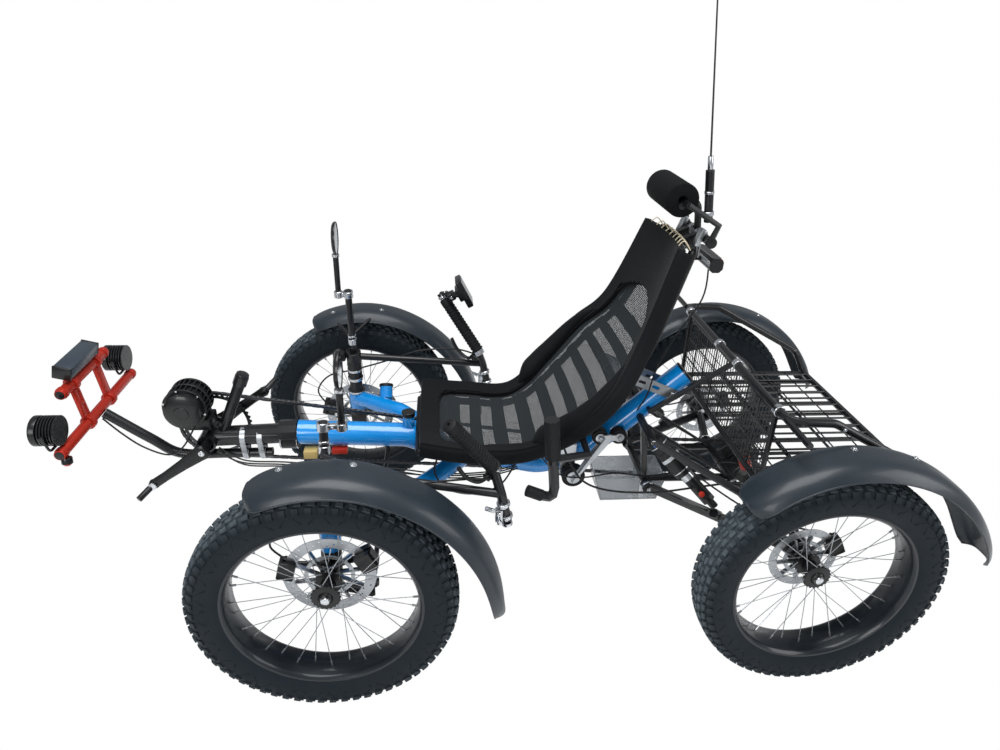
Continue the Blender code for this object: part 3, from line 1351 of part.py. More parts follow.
def make_seat_frame(shop):
    """Two bent rails with bars at the nose, the waist and the top."""
    stations = range(0, SEAT_ROWS + 1, 2)
    for side in (1, -1):
        route = [under_seat(side * RAIL_SHARE, index) for index in stations]
        shop.tube(route, RAIL_RADIUS, level=WIRE_BEVEL_STEPS)
    for index in (0, WAIST_ROW, SEAT_ROWS):
        ends = [under_seat(side * RAIL_SHARE, index) for side in (1, -1)]
        low = [under_seat(side * RAIL_SHARE / 2, index, BAR_DROP) for side in (1, -1)]
        shop.tube([ends[0], low[0], low[1], ends[1]], BAR_RADIUS_SEAT, level=WIRE_BEVEL_STEPS)
    nose = under_seat(RAIL_SHARE / 2, 0, BAR_DROP)
    tongue_end = LUG_X - LUG_HALF - SEAT_GAP
    shop.box((tongue_end - nose.x, LUG_WIDTH, RAIL_RADIUS), ((tongue_end + nose.x) / 2, 0, nose.z))
    shop.finish("seat_frame", "black_alloy")


# Perforated channel that carries the seat back on the tail tube

CHANNEL_REAR_X = -0.305
CHANNEL_REAR_Z = 0.548
CHANNEL_HALF = SPINE_RADIUS
CHANNEL_WALL = 0.004
CHANNEL_HEIGHT = 0.026


def tail_height(place_x):
    """The height of the tail tube's axis over a place."""
    share = (TAIL_FOOT_X - place_x) / (TAIL_FOOT_X - TAIL_TOP_X)
    return TAIL_FOOT_Z + (TAIL_TOP_Z - TAIL_FOOT_Z) * share


def tail_hole(shop):
    """A cutter that clears the tail tube."""
    return shop.rod((TAIL_FOOT_X, 0, TAIL_FOOT_Z), (TAIL_TOP_X, 0, TAIL_TOP_Z),
                    snug_radius(SPINE_RADIUS, SEAT_GAP, CASTING_SIDES), sides=CASTING_SIDES)


def make_seat_channel(shop):
    """Two side plates from the seat's waist bar that straddle the tail tube."""
    bar = under_seat(RAIL_SHARE / 2, WAIST_ROW, BAR_DROP)
    front = Vector((bar.x, 0, bar.z))
    rear = Vector((CHANNEL_REAR_X, 0, CHANNEL_REAR_Z))
    run = front - rear
    turn = Matrix.Rotation(-math.atan2(run.z, run.x), 4, "Y")
    for side in (1, -1):
        middle = (front + rear) / 2 + Vector((0, side * CHANNEL_HALF, 0))
        shop.box((run.length, CHANNEL_WALL, CHANNEL_HEIGHT), middle, turn)
    web = rear.lerp(front, 3 / 5)
    shop.box((run.length * 2 / 5, CHANNEL_HALF * 2, CHANNEL_WALL), web, turn)
    channel = shop.join()
    holes = [
        tail_hole(shop),
        shop.rod(bar, (bar.x, -bar.y, bar.z), hole_radius(BAR_RADIUS_SEAT, SEAT_GAP, CASTING_SIDES),
                 sides=CASTING_SIDES),
    ]
    shop.cut(channel, holes)
    shop.finish("seat_channel", "bare_alloy")


# Headrest: foam roll on a stalk from the top bar

ROLL_X = -0.232
ROLL_Z = 1.065
ROLL_RADIUS = 0.039
ROLL_HALF = 0.090
ROLL_SIDES = 18
ROLL_BORE_RADIUS = 0.0083
ROLL_BORE_DROP = 0.012
STALK_BASE_X = -0.300
STALK_BASE_Z = 0.968
CLAMP_WIDTH = 0.018
TOP_BAR_HALF = 0.085


def make_headrest_roll(shop):
    """A foam cylinder with its through hole off centre."""
    shop.rod((ROLL_X, -ROLL_HALF, ROLL_Z), (ROLL_X, ROLL_HALF, ROLL_Z), ROLL_RADIUS, sides=ROLL_SIDES)
    roll = shop.join()
    hole_z = ROLL_Z - ROLL_BORE_DROP
    bore = shop.rod((ROLL_X, -ROLL_HALF - OVERRUN, hole_z), (ROLL_X, ROLL_HALF + OVERRUN, hole_z),
                    ROLL_BORE_RADIUS, sides=ROD_SIDES)
    shop.cut(roll, [bore])
    shop.finish("headrest_roll", "foam")


def make_headrest_mount(shop):
    """Bar through the roll, forked stalk and the cross bar behind the seat top."""
    hole_z = ROLL_Z - ROLL_BORE_DROP
    bar = ROLL_BORE_RADIUS * 7 / 8
    end = ROLL_HALF + bar * 2
    shop.tube([
        (ROLL_X, -end, hole_z),
        (ROLL_X, end, hole_z),
    ], bar, level=WIRE_BEVEL_STEPS)
    knee_x = (ROLL_X + STALK_BASE_X) / 2 - ROLL_RADIUS
    for side in (1, -1):
        shop.tube([
            (ROLL_X, side * (end - bar / 2), hole_z),
            (knee_x, side * end, (hole_z + STALK_BASE_Z) / 2),
            (STALK_BASE_X, side * TOP_BAR_HALF, STALK_BASE_Z),
        ], bar, level=WIRE_BEVEL_STEPS)
    shop.rod((STALK_BASE_X, -TOP_BAR_HALF - RAIL_RADIUS, STALK_BASE_Z),
             (STALK_BASE_X, TOP_BAR_HALF + RAIL_RADIUS, STALK_BASE_Z), RAIL_RADIUS)
    held = under_seat(RAIL_SHARE / 2, SEAT_ROWS, BAR_DROP)
    run = Vector((held.x - STALK_BASE_X, 0, held.z - STALK_BASE_Z))
    turn = Matrix.Rotation(-math.atan2(run.z, run.x), 4, "Y")
    for side in (1, -1):
        middle = Vector(((held.x + STALK_BASE_X) / 2, side * held.y / 2, (held.z + STALK_BASE_Z) / 2))
        shop.box((run.length + RAIL_RADIUS, CLAMP_WIDTH, RAIL_RADIUS * 5 / 2), middle, turn)
    mount = shop.join()
    hole = shop.rod((held.x, -held.y, held.z), (held.x, held.y, held.z),
                    hole_radius(BAR_RADIUS_SEAT, SEAT_GAP, CASTING_SIDES), sides=CASTING_SIDES)
    shop.cut(mount, [hole])
    shop.finish("headrest_mount", "black_coat")


# Aerial: threaded foot, spring ferrule and a long tapered whip

AERIAL_FOOT_X = -0.322
AERIAL_FOOT_Z = 0.990
AERIAL_Y = 0.0
AERIAL_BASE_RADIUS = 0.010
AERIAL_SLEEVE_TOP_Z = 1.110
AERIAL_FERRULE_Z = 1.140
AERIAL_LEAN_X = 0.100
WHIP_RADIUS = 0.0022
WHIP_TIP_RADIUS = 0.0012


def aerial_point(height):
    """A place on the slightly forward leaning aerial at a height."""
    share = (height - AERIAL_FOOT_Z) / (OVERALL_HEIGHT - AERIAL_FOOT_Z)
    return Vector((AERIAL_FOOT_X + AERIAL_LEAN_X * share, AERIAL_Y, height))


def make_aerial(shop):
    """Foot, sleeve, ferrule and whip on the top bar's rear lug."""
    lug_x = STALK_BASE_X - RAIL_RADIUS - SEAT_GAP
    shop.box((lug_x - AERIAL_FOOT_X, AERIAL_BASE_RADIUS * 3 / 2, AERIAL_BASE_RADIUS * 3 / 2),
             ((lug_x + AERIAL_FOOT_X) / 2, AERIAL_Y, STALK_BASE_Z))
    foot = Vector((AERIAL_FOOT_X, AERIAL_Y, STALK_BASE_Z - AERIAL_BASE_RADIUS))
    shop.rod(foot, aerial_point(AERIAL_FOOT_Z + AERIAL_BASE_RADIUS), AERIAL_BASE_RADIUS, sides=STUD_SIDES)
    shop.rod(aerial_point(AERIAL_FOOT_Z), aerial_point(AERIAL_SLEEVE_TOP_Z), AERIAL_BASE_RADIUS / 2)
    shop.rod(aerial_point(AERIAL_SLEEVE_TOP_Z - OVERRUN), aerial_point(AERIAL_FERRULE_Z),
             AERIAL_BASE_RADIUS * 3 / 5)
    shop.rod(aerial_point(AERIAL_FERRULE_Z - OVERRUN), aerial_point(OVERALL_HEIGHT), WHIP_RADIUS,
             sides=ROD_SIDES, end_radius=WHIP_TIP_RADIUS)
    shop.finish("aerial", "black_coat")


LAMP_BACK_LENGTH = 0.120
LAMP_BACK_HEIGHT = 0.034
LAMP_BACK_DEPTH = 0.032
LAMP_BACK_Z = 0.905


def make_rear_lamp(shop):
    """The chamfered lamp hung behind the top bar by its bracket."""
    lug_x = STALK_BASE_X - RAIL_RADIUS * 2
    deep = LAMP_BACK_DEPTH / 2
    tall = LAMP_BACK_HEIGHT / 2
    middle = Vector((lug_x - deep, 0, LAMP_BACK_Z))
    section = [(-deep, -tall / 2), (-deep, tall / 2), (-deep / 2, tall), (deep / 2, tall), (deep, tall / 2),
               (deep, -tall / 2), (deep / 2, -tall), (-deep / 2, -tall)]
    turn = Matrix.Rotation(math.pi / 2, 4, "X")
    shop.outline(section, LAMP_BACK_LENGTH, middle, turn)
    top_z = STALK_BASE_Z - RAIL_RADIUS - SEAT_GAP * 2
    shop.rod((STALK_BASE_X, 0, LAMP_BACK_Z), (STALK_BASE_X, 0, top_z), RAIL_RADIUS / 2)
    shop.rod((STALK_BASE_X, 0, LAMP_BACK_Z), (middle.x, 0, LAMP_BACK_Z), RAIL_RADIUS / 2)
    shop.finish("rear_lamp", "lamp_black")


# Lever at the rider's left hip, hung on the seat rail

LEVER_TOP_X = 0.066
LEVER_TOP_Z = 0.625
LEVER_Y = 0.292
LEVER_HEEL_X = 0.045
LEVER_HEEL_Z = 0.425
LEVER_TOE_X = 0.108
LEVER_TOE_Z = 0.452
LEVER_SLEEVE_RADIUS = 0.0165
LEVER_BLADE_RADIUS = 0.0120


def make_side_lever(shop):
    """Sleeve, tapering blade and forward toe, on a stub from the rail."""
    shop.tube(bent([
        (LEVER_TOP_X, LEVER_Y, LEVER_TOP_Z),
        (LEVER_HEEL_X, LEVER_Y, LEVER_HEEL_Z),
        (LEVER_TOE_X, LEVER_Y, LEVER_TOE_Z),
    ], LEVER_SLEEVE_RADIUS * 2), LEVER_BLADE_RADIUS, level=TUBE_BEVEL_STEPS)
    low = (LEVER_TOP_Z + LEVER_HEEL_Z) / 2
    low_x = (LEVER_TOP_X + LEVER_HEEL_X) / 2
    shop.rod((low_x, LEVER_Y, low), (LEVER_TOP_X, LEVER_Y, LEVER_TOP_Z + LEVER_BLADE_RADIUS),
             LEVER_SLEEVE_RADIUS * 4 / 5, sides=STUD_SIDES, end_radius=LEVER_SLEEVE_RADIUS)
    rail = under_seat(RAIL_SHARE, 9)
    stub_z = rail.z
    blade_x = LEVER_HEEL_X + (LEVER_TOP_X - LEVER_HEEL_X) * (stub_z - LEVER_HEEL_Z) / (
        LEVER_TOP_Z - LEVER_HEEL_Z)
    knee = Vector((rail.x, LEVER_Y - LEVER_SLEEVE_RADIUS, stub_z))
    shop.tube([rail, knee, (blade_x, LEVER_Y, stub_z)], LEVER_BLADE_RADIUS * 4 / 5, level=WIRE_BEVEL_STEPS)
    lever = shop.join()
    before = under_seat(RAIL_SHARE, SEAT_ROWS // 2 - 1)
    after = under_seat(RAIL_SHARE, SEAT_ROWS // 2 + 1)
    clear = hole_radius(RAIL_RADIUS, SEAT_GAP, CASTING_SIDES)
    inside = [shop.rod(before, after, clear, sides=CASTING_SIDES)]
    shop.cut(lever, inside)
    shop.finish("side_lever", "black_coat")


# Rear suspension: subframe, swinging arms with hub carriers, shocks and the differential

SUB_TOP_X = -0.215
SUB_TOP_Z = 0.488
SUB_HALF = 0.075
SUB_LOW_X = -0.235
SUB_LOW_Z = 0.322
SUB_TUBE = 0.010
DIFF_RADIUS = 0.046
DIFF_HALF = 0.042
DIFF_ARM_X = -0.470
ARM_TUBE = 0.0125
CARRIER_IN = 0.0985
CARRIER_Y = HALF_TRACK_REAR - CARRIER_IN
CARRIER_RADIUS = 0.030
CARRIER_HALF = 0.014
UPPER_OUT_X = -0.520
UPPER_OUT_Z = 0.362
SHOCK_TOP_Y = 0.112
SHOCK_LOW_X = -0.372
SHOCK_LOW_Y = 0.225
SHOCK_LOW_Z = 0.340
SHOCK_RADIUS = 0.020
SHOCK_CAN_RADIUS = 0.024
SHOCK_SHARE = 0.55


def make_subframe(shop):
    """Hanger tubes either side of the tail tube, cross tubes and rear stays."""
    for side in (1, -1):
        out = side * SUB_HALF
        shop.tube([(SUB_TOP_X, out, SUB_TOP_Z), (SUB_LOW_X, out, SUB_LOW_Z),
                   (DIFF_ARM_X, out, SUB_LOW_Z)], SUB_TUBE, level=WIRE_BEVEL_STEPS)
        shop.tube([(SUB_LOW_X, out, SUB_LOW_Z), (DIFF_ARM_X, out, SUB_LOW_Z), (SUB_TOP_X, out, SUB_TOP_Z)],
                  SUB_TUBE * 4 / 5, level=WIRE_BEVEL_STEPS)
    low = SUB_HALF + SUB_TUBE * 2
    shop.rod((SUB_LOW_X, -low, SUB_LOW_Z), (SUB_LOW_X, low, SUB_LOW_Z), SUB_TUBE)
    shop.rod((DIFF_ARM_X, -low, SUB_LOW_Z), (DIFF_ARM_X, low, SUB_LOW_Z), SUB_TUBE)
    wide = SHOCK_TOP_Y + SHOCK_RADIUS * 3 / 2
    shop.rod((SUB_TOP_X, -wide, SUB_TOP_Z), (SUB_TOP_X, wide, SUB_TOP_Z), SUB_TUBE)
    frame = shop.join()
    shop.cut(frame, [tail_hole(shop)])
    shop.finish("rear_subframe", "black_coat")


def make_rear_arm(shop, side):
    """Wishbone tubes from the subframe to the bored hub carrier, and the upper link."""
    carrier = Vector((REAR_AXLE_X, side * CARRIER_Y, AXLE_Z))
    low = SUB_HALF + SUB_TUBE * 2 + SEAT_GAP * 2
    front = Vector((SUB_LOW_X, side * low, SUB_LOW_Z))
    rear = Vector((DIFF_ARM_X, side * low, SUB_LOW_Z))
    eye = Vector((0, side * ARM_TUBE * 2, 0))
    for inner in (front, rear):
        shop.rod(inner, inner + eye, ARM_TUBE * 5 / 4)
        shop.rod(inner + eye / 2, carrier + Vector((CARRIER_RADIUS / 2, 0, 0)), ARM_TUBE)
    shop.rod(carrier - Vector((0, CARRIER_HALF, 0)), carrier + Vector((0, CARRIER_HALF, 0)), CARRIER_RADIUS,
             sides=CASTING_SIDES)
    top = Vector((UPPER_OUT_X, side * CARRIER_Y, UPPER_OUT_Z))
    shop.rod(carrier, top, ARM_TUBE)
    inner = Vector((SUB_TOP_X, side * (SHOCK_TOP_Y + SHOCK_RADIUS * 3 / 2 + SEAT_GAP * 2), SUB_TOP_Z))
    shop.rod(inner, inner + eye / 2, ARM_TUBE)
    shop.rod(inner + eye / 3, top, ARM_TUBE * 3 / 4)
    perch = Vector((SHOCK_LOW_X, side * SHOCK_LOW_Y, SHOCK_LOW_Z))
    foot = (front + eye / 2).lerp(carrier, 1 / 2)
    shop.rod(foot, perch - Vector((0, 0, ARM_TUBE * 3 / 2)), ARM_TUBE)
    arm = shop.join()
    bore = shop.rod(carrier - Vector((0, CARRIER_RADIUS, 0)), carrier + Vector((0, CARRIER_RADIUS, 0)),
                    hole_radius(AXLE_RADIUS, RUNNING_GAP, CASTING_SIDES), sides=CASTING_SIDES)
    shop.cut(arm, [bore])
    shop.finish("rear_arm_" + side_name(side), "black_coat")


def make_shock(shop, side):
    """Body, can and eyes between the subframe's cross tube and the arm's perch."""
    top = Vector((SUB_TOP_X, side * SHOCK_TOP_Y, SUB_TOP_Z))
    low = Vector((SHOCK_LOW_X, side * SHOCK_LOW_Y, SHOCK_LOW_Z))
    along = (low - top).normalized()
    waist = top.lerp(low, SHOCK_SHARE)
    shop.rod(top, top + along * SHOCK_RADIUS * 2, SHOCK_RADIUS * 3 / 5)
    shop.rod(top + along * SHOCK_RADIUS * 3 / 2, waist, SHOCK_CAN_RADIUS, sides=STUD_SIDES)
    shop.rod(waist - along * OVERRUN, low - along * SHOCK_RADIUS, SHOCK_RADIUS * 4 / 5, sides=STUD_SIDES)
    shop.rod(low - along * SHOCK_RADIUS * 3 / 2, low, SHOCK_RADIUS / 2)
    shock = shop.join()
    across = SHOCK_TOP_Y + SHOCK_RADIUS * 3 / 2
    tube = shop.rod((SUB_TOP_X, -across, SUB_TOP_Z), (SUB_TOP_X, across, SUB_TOP_Z),
                    snug_radius(SUB_TUBE, SEAT_GAP, ROD_SIDES))
    shop.cut(shock, [tube])
    shop.finish("shock_" + side_name(side), "black_alloy")


def make_differential(shop):
    """The drive case with its sprocket, open at both sides for the half shafts."""
    shaft_hole = hole_radius(AXLE_RADIUS, RUNNING_GAP, CASTING_SIDES)
    shop.turned([
        (shaft_hole, -DIFF_HALF),
        (DIFF_RADIUS / 2, -DIFF_HALF),
        (DIFF_RADIUS, -DIFF_HALF / 2),
        (DIFF_RADIUS, DIFF_HALF / 2),
        (DIFF_RADIUS / 2, DIFF_HALF),
        (shaft_hole, DIFF_HALF),
    ], CASTING_SIDES, (REAR_AXLE_X, 0, AXLE_Z), "Y", ring=True)
    shop.turned([
        (DIFF_RADIUS / 3, CHAIN_Y - RING_THICK / 2),
        (SPROCKET_RADIUS, CHAIN_Y - RING_THICK / 2),
        (SPROCKET_RADIUS, CHAIN_Y + RING_THICK / 2),
        (DIFF_RADIUS / 3, CHAIN_Y + RING_THICK / 2 + DIFF_HALF / 2),
    ], RING_STEPS, (REAR_AXLE_X, 0, AXLE_Z), "Y", ring=True)
    case_end = REAR_AXLE_X + DIFF_RADIUS * 3 / 4
    arm_end = DIFF_ARM_X - SUB_TUBE - SEAT_GAP * 2
    shop.box((arm_end - case_end, DIFF_HALF, DIFF_RADIUS / 2), (
        (arm_end + case_end) / 2, 0, (AXLE_Z + SUB_LOW_Z) / 2))
    shop.finish("differential", "black_alloy")


# Chain tensioner: rollers and link plates on the frame's left side

IDLER_LOW_X = -0.048
IDLER_LOW_Z = 0.323
IDLER_TOP_X = -0.158
IDLER_TOP_Z = 0.445
IDLER_Y = 0.052
IDLER_RADIUS = 0.030
IDLER_SMALL_RADIUS = 0.020
IDLER_HALF = 0.010
LINK_THICK = 0.006
SADDLE_LENGTH = 0.040
SADDLE_HALF = 0.038
SADDLE_HEIGHT = 0.096
LINK_WIDTH = 0.016


def make_idlers(shop):
    """Three rollers joined by link plates, on an axle from the sunk tube."""
    low = Vector((IDLER_LOW_X, IDLER_Y, IDLER_LOW_Z))
    high = Vector((IDLER_TOP_X, IDLER_Y, IDLER_TOP_Z))
    out = Vector((0, IDLER_HALF, 0))
    shop.rod(low - out, low + out, IDLER_RADIUS, sides=CASTING_SIDES)
    for place in (high, high + Vector((IDLER_SMALL_RADIUS * 5 / 2, 0, 0))):
        shop.rod(place - out, place + out, IDLER_SMALL_RADIUS, sides=STUD_SIDES)
    plate_y = Vector((0, IDLER_HALF + LINK_THICK / 2 - SEAT_GAP, 0))
    pairs = ((low, (high + high + Vector((IDLER_SMALL_RADIUS * 5 / 2, 0, 0))) / 2),
             (high, high + Vector((IDLER_SMALL_RADIUS * 5 / 2, 0, 0))))
    for first, second in pairs:
        run = second - first
        turn = Matrix.Rotation(-math.atan2(run.z, run.x), 4, "Y")
        middle = (first + second) / 2 + plate_y
        shop.box((run.length + LINK_WIDTH, LINK_THICK, LINK_WIDTH), middle, turn)
    guide = Vector((GUIDE_X, CHAIN_Y, GUIDE_Z))
    shop.rod(guide - out, guide + out, GUIDE_RADIUS, sides=STUD_SIDES)
    share = (IDLER_LOW_X - UNDER_LOW_X) / (UNDER_REAR_X - UNDER_LOW_X)
    tube_z = UNDER_LOW_Z + (UNDER_REAR_Z - UNDER_LOW_Z) * share
    saddle = Vector(((IDLER_LOW_X + GUIDE_X) / 2, 0, tube_z))
    shop.box((SADDLE_LENGTH, SADDLE_HALF * 2, SADDLE_HEIGHT), saddle)
    shop.rod((low.x, UNDER_RADIUS, low.z), (low.x, IDLER_Y, low.z), LINK_WIDTH / 2)
    shop.rod((guide.x, -UNDER_RADIUS, guide.z), (guide.x, CHAIN_Y, guide.z), LINK_WIDTH / 2)
    idlers = shop.join()
    run = Vector((UNDER_REAR_X - UNDER_LOW_X, 0, UNDER_REAR_Z - UNDER_LOW_Z)).normalized()
    middle = Vector((IDLER_LOW_X, 0, tube_z))
    clear = shop.rod(middle - run * IDLER_RADIUS * 3, middle + run * IDLER_RADIUS * 3,
                     hole_radius(UNDER_RADIUS, RAIL_ROOM, CASTING_SIDES), sides=CASTING_SIDES)
    shop.cut(idlers, [clear])
    for side in (1, -1):
        tip = (saddle.x, side * (UNDER_RADIUS + SEAT_GAP), saddle.z)
        shop.rod(tip, (saddle.x, side * SADDLE_HALF, saddle.z), LINK_WIDTH / 2)
    shop.finish("chain_idlers", "black_alloy")


TRAY_FRONT_X = -0.110
TRAY_REAR_X = -0.305
TRAY_TOP_Z = 0.309
TRAY_DEPTH = 0.070
TRAY_HALF = 0.055
TRAY_WALL = 0.003


def make_tray(shop):
    """An open tray with sloping ends hung under the subframe's cross tube."""
    middle_x = (TRAY_FRONT_X + TRAY_REAR_X) / 2
    length = TRAY_FRONT_X - TRAY_REAR_X
    low = TRAY_TOP_Z - TRAY_DEPTH
    deep = TRAY_DEPTH + TRAY_WALL
    section = [(length / 2, deep), (-length / 2, deep), (-length * 2 / 5, 0), (length * 2 / 5, 0)]
    inner = [(across - math.copysign(TRAY_WALL, across), up + TRAY_WALL) for across, up in section]
    turn = Matrix.Rotation(math.pi / 2, 4, "X")
    place = Vector((middle_x, 0, low))
    tray = shop.outline(section, TRAY_HALF * 2, place, turn)
    cutter = shop.outline(inner, (TRAY_HALF - TRAY_WALL) * 2, place, turn)
    lip = shop.box((length * 2, TRAY_HALF * 4, TRAY_DEPTH), (middle_x, 0, TRAY_TOP_Z + TRAY_DEPTH / 2))
    shop.cut(tray, [cutter, lip])
    shop.rod((SUB_LOW_X, 0, TRAY_TOP_Z - TRAY_DEPTH + TRAY_WALL / 2),
             (SUB_LOW_X, 0, SUB_LOW_Z - SUB_TUBE - SEAT_GAP), SUB_TUBE * 2 / 3)
    shop.finish("tray", "clear_grey")


# Cargo rack: top loop, floor of slats and the woven front wall

RACK_FRONT_X = -0.436
RACK_FRONT_Z = 0.651
RACK_HALF = 0.340
RACK_RAIL_X = -0.542
RACK_RAIL_Z = 0.646
RACK_REAR_X = -0.816
RACK_REAR_Z = 0.500
RACK_FLOOR_Z = 0.450
RACK_FLOOR_HALF = 0.285
RACK_TUBE = 0.0095
RACK_WIRE = 0.0032
SLATS = 8
SLAT_WIRES = 2
BRACE_X = -0.235
WALL_BARS = 7
WALL_ROWS = 2


def make_rack(shop):
    """Top tube loop, corner drops, floor frame, slats and the brace to the tail tube."""
    left = [
        (RACK_FRONT_X, 0, RACK_FRONT_Z),
        (RACK_FRONT_X, RACK_HALF, RACK_FRONT_Z),
        (RACK_RAIL_X, RACK_HALF, RACK_RAIL_Z),
        (RACK_REAR_X, RACK_HALF, RACK_REAR_Z),
        (RACK_REAR_X - RACK_TUBE, RACK_FLOOR_HALF, RACK_FLOOR_Z),
        (RACK_REAR_X - RACK_TUBE, 0, RACK_FLOOR_Z),
    ]
    near = bent(left, RACK_TUBE * 3, steps=2)
    far = [Vector((place.x, -place.y, place.z)) for place in reversed(near[1:-1])]
    shop.tube(near + far, RACK_TUBE, level=WIRE_BEVEL_STEPS, closed=True)
    for side in (1, -1):
        shop.tube([
            (RACK_FRONT_X, side * RACK_FLOOR_HALF, RACK_FRONT_Z),
            (RACK_FRONT_X, side * RACK_FLOOR_HALF, RACK_FLOOR_Z),
            (RACK_REAR_X - RACK_TUBE, side * RACK_FLOOR_HALF, RACK_FLOOR_Z),
        ], RACK_TUBE * 3 / 4, level=WIRE_BEVEL_STEPS)
        outer = HALF_TRACK_REAR + GUARD_HALF_WIDTH / 4
        shop.rod((RACK_FRONT_X, side * (RACK_HALF - RACK_TUBE), RACK_FRONT_Z),
                 (RACK_FRONT_X, side * outer, RACK_FRONT_Z), RACK_TUBE * 3 / 4)
    shop.rod((RACK_FRONT_X, -RACK_FLOOR_HALF, RACK_FLOOR_Z), (RACK_FRONT_X, RACK_FLOOR_HALF, RACK_FLOOR_Z),
             RACK_TUBE * 3 / 4)
    for count in range(SLATS):
        across = RACK_FLOOR_HALF * (2 * (count + 1) / (SLATS + 1) - 1)
        shop.box((RACK_FRONT_X - RACK_REAR_X, RACK_WIRE * 2, RACK_WIRE * 2),
                 ((RACK_FRONT_X + RACK_REAR_X) / 2, across, RACK_FLOOR_Z))
    for count in range(SLAT_WIRES):
        along = RACK_FRONT_X + (RACK_REAR_X - RACK_FRONT_X) * (count + 1) / (SLAT_WIRES + 1)
        shop.box((RACK_WIRE * 2, RACK_FLOOR_HALF * 2, RACK_WIRE), (along, 0, RACK_FLOOR_Z - RACK_WIRE))
    beside = SPINE_RADIUS * 3 / 2
    shop.tube([
        (RACK_FRONT_X, beside, RACK_FRONT_Z),
        (BRACE_X, beside, tail_height(BRACE_X)),
        (BRACE_X, 0, tail_height(BRACE_X)),
    ], RACK_TUBE * 4 / 5, level=WIRE_BEVEL_STEPS)
    rack = shop.join()
    shop.cut(rack, [tail_hole(shop)])
    shop.finish("cargo_rack", "black_coat")


def make_rack_wall(shop):
    """The woven mesh at the basket's front, with its hem."""
    bottom = RACK_FLOOR_Z + RACK_TUBE * 3 / 4 + SEAT_GAP
    top = RACK_FRONT_Z - RACK_TUBE * 3 / 2
    wall_x = RACK_FRONT_X
    half = RACK_FLOOR_HALF - RACK_TUBE
    for count in range(WALL_BARS + 2):
        across = half * (2 * count / (WALL_BARS + 1) - 1)
        shop.box((RACK_WIRE, RACK_WIRE, top - bottom), (wall_x, across, (top + bottom) / 2))
    for count in range(WALL_ROWS + 2):
        height = bottom + RACK_WIRE / 2 + (top - bottom - RACK_WIRE) * count / (WALL_ROWS + 1)
        shop.box((RACK_WIRE * 4 / 5, half * 2, RACK_WIRE), (wall_x, 0, height))
    shop.finish("rack_wall", "black_coat")


REAR_BOLT_SHARE = 0.19
REAR_BOLT_RADIUS = 0.008


def make_rear_guard(shop, side):
    """Guard over the rear tyre, with the boss that bolts under the rack's top tube."""
    axle = Vector((REAR_AXLE_X, 0, AXLE_Z))
    middle = side * HALF_TRACK_REAR
    make_guard(shop, axle, middle, REAR_GUARD_FROM_DEG, REAR_GUARD_TO_DEG)
    foot = guard_point(axle, middle, REAR_GUARD_FROM_DEG, REAR_GUARD_TO_DEG, REAR_BOLT_SHARE, 0)
    foot.x = RACK_FRONT_X
    top = Vector((RACK_FRONT_X, middle, RACK_FRONT_Z - RACK_TUBE * 3 / 4 - SEAT_GAP))
    shop.rod(foot, top, REAR_BOLT_RADIUS, sides=STUD_SIDES)
    shop.finish("mudguard_rear_" + side_name(side), "guard_plastic")


def main():
    clear_scene()
    shop = Workshop()
    for side in (1, -1):
        for end, axle_x, half_track, disc in (
            ("front", FRONT_AXLE_X, HALF_TRACK_FRONT, DISC_FRONT_RADIUS),
            ("rear", REAR_AXLE_X, HALF_TRACK_REAR, DISC_REAR_RADIUS),
        ):
            centre = (axle_x, side * half_track, AXLE_Z)
            tag = end + "_" + side_name(side)
            make_tyre(shop, "tyre_" + tag, centre)
            shaft = None if end == "front" else DIFF_HALF * 2 / 3
            make_wheel(shop, "wheel_" + tag, centre, side, disc, shaft)
        make_knuckle(shop, side)
        make_handlebar(shop, side)
        make_front_guard(shop, side)
        make_mirror_post(shop, side)
        make_pod(shop, side)
        make_rear_arm(shop, side)
        make_shock(shop, side)
        make_rear_guard(shop, side)
    make_main_frame(shop)
    make_boom(shop)
    make_accessory_tube(shop)
    make_motor(shop)
    make_crankset(shop)
    make_chain(shop)
    make_display(shop)
    make_side_lamp(shop)
    make_tie_rod(shop)
    make_light_frame(shop)
    make_light_bar(shop)
    make_seat_cover(shop)
    make_seat_frame(shop)
    make_seat_channel(shop)
    make_headrest_roll(shop)
    make_headrest_mount(shop)
    make_aerial(shop)
    make_rear_lamp(shop)
    make_side_lever(shop)
    make_subframe(shop)
    make_differential(shop)
    make_idlers(shop)
    make_tray(shop)
    make_rack(shop)
    make_rack_wall(shop)
    centre_datum(shop)


main()
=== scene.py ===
"""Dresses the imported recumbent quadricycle: smooth tubes, lugged tyres, laced wheels and soft seat.

Places in this file are measured like the part's own: +X forward, +Y to the rider's left, from the
ground point midway between the axles. The function row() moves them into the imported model's frame.
"""

import logging
import math
from dataclasses import dataclass
from enum import Enum
from typing import Callable, Iterable, Sequence

import bpy
from mathutils import Matrix, Vector


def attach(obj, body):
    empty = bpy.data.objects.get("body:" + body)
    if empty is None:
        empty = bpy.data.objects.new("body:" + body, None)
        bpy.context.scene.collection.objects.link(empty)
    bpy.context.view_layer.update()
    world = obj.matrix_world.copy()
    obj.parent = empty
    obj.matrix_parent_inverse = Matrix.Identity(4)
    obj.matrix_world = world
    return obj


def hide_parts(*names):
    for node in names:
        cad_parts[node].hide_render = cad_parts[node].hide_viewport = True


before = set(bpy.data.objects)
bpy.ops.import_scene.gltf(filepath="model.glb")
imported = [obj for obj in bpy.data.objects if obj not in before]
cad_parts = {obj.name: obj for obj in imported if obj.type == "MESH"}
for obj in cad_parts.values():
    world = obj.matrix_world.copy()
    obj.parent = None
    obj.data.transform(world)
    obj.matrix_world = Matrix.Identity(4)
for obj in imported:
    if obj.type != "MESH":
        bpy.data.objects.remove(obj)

LOG = logging.getLogger("quadricycle")
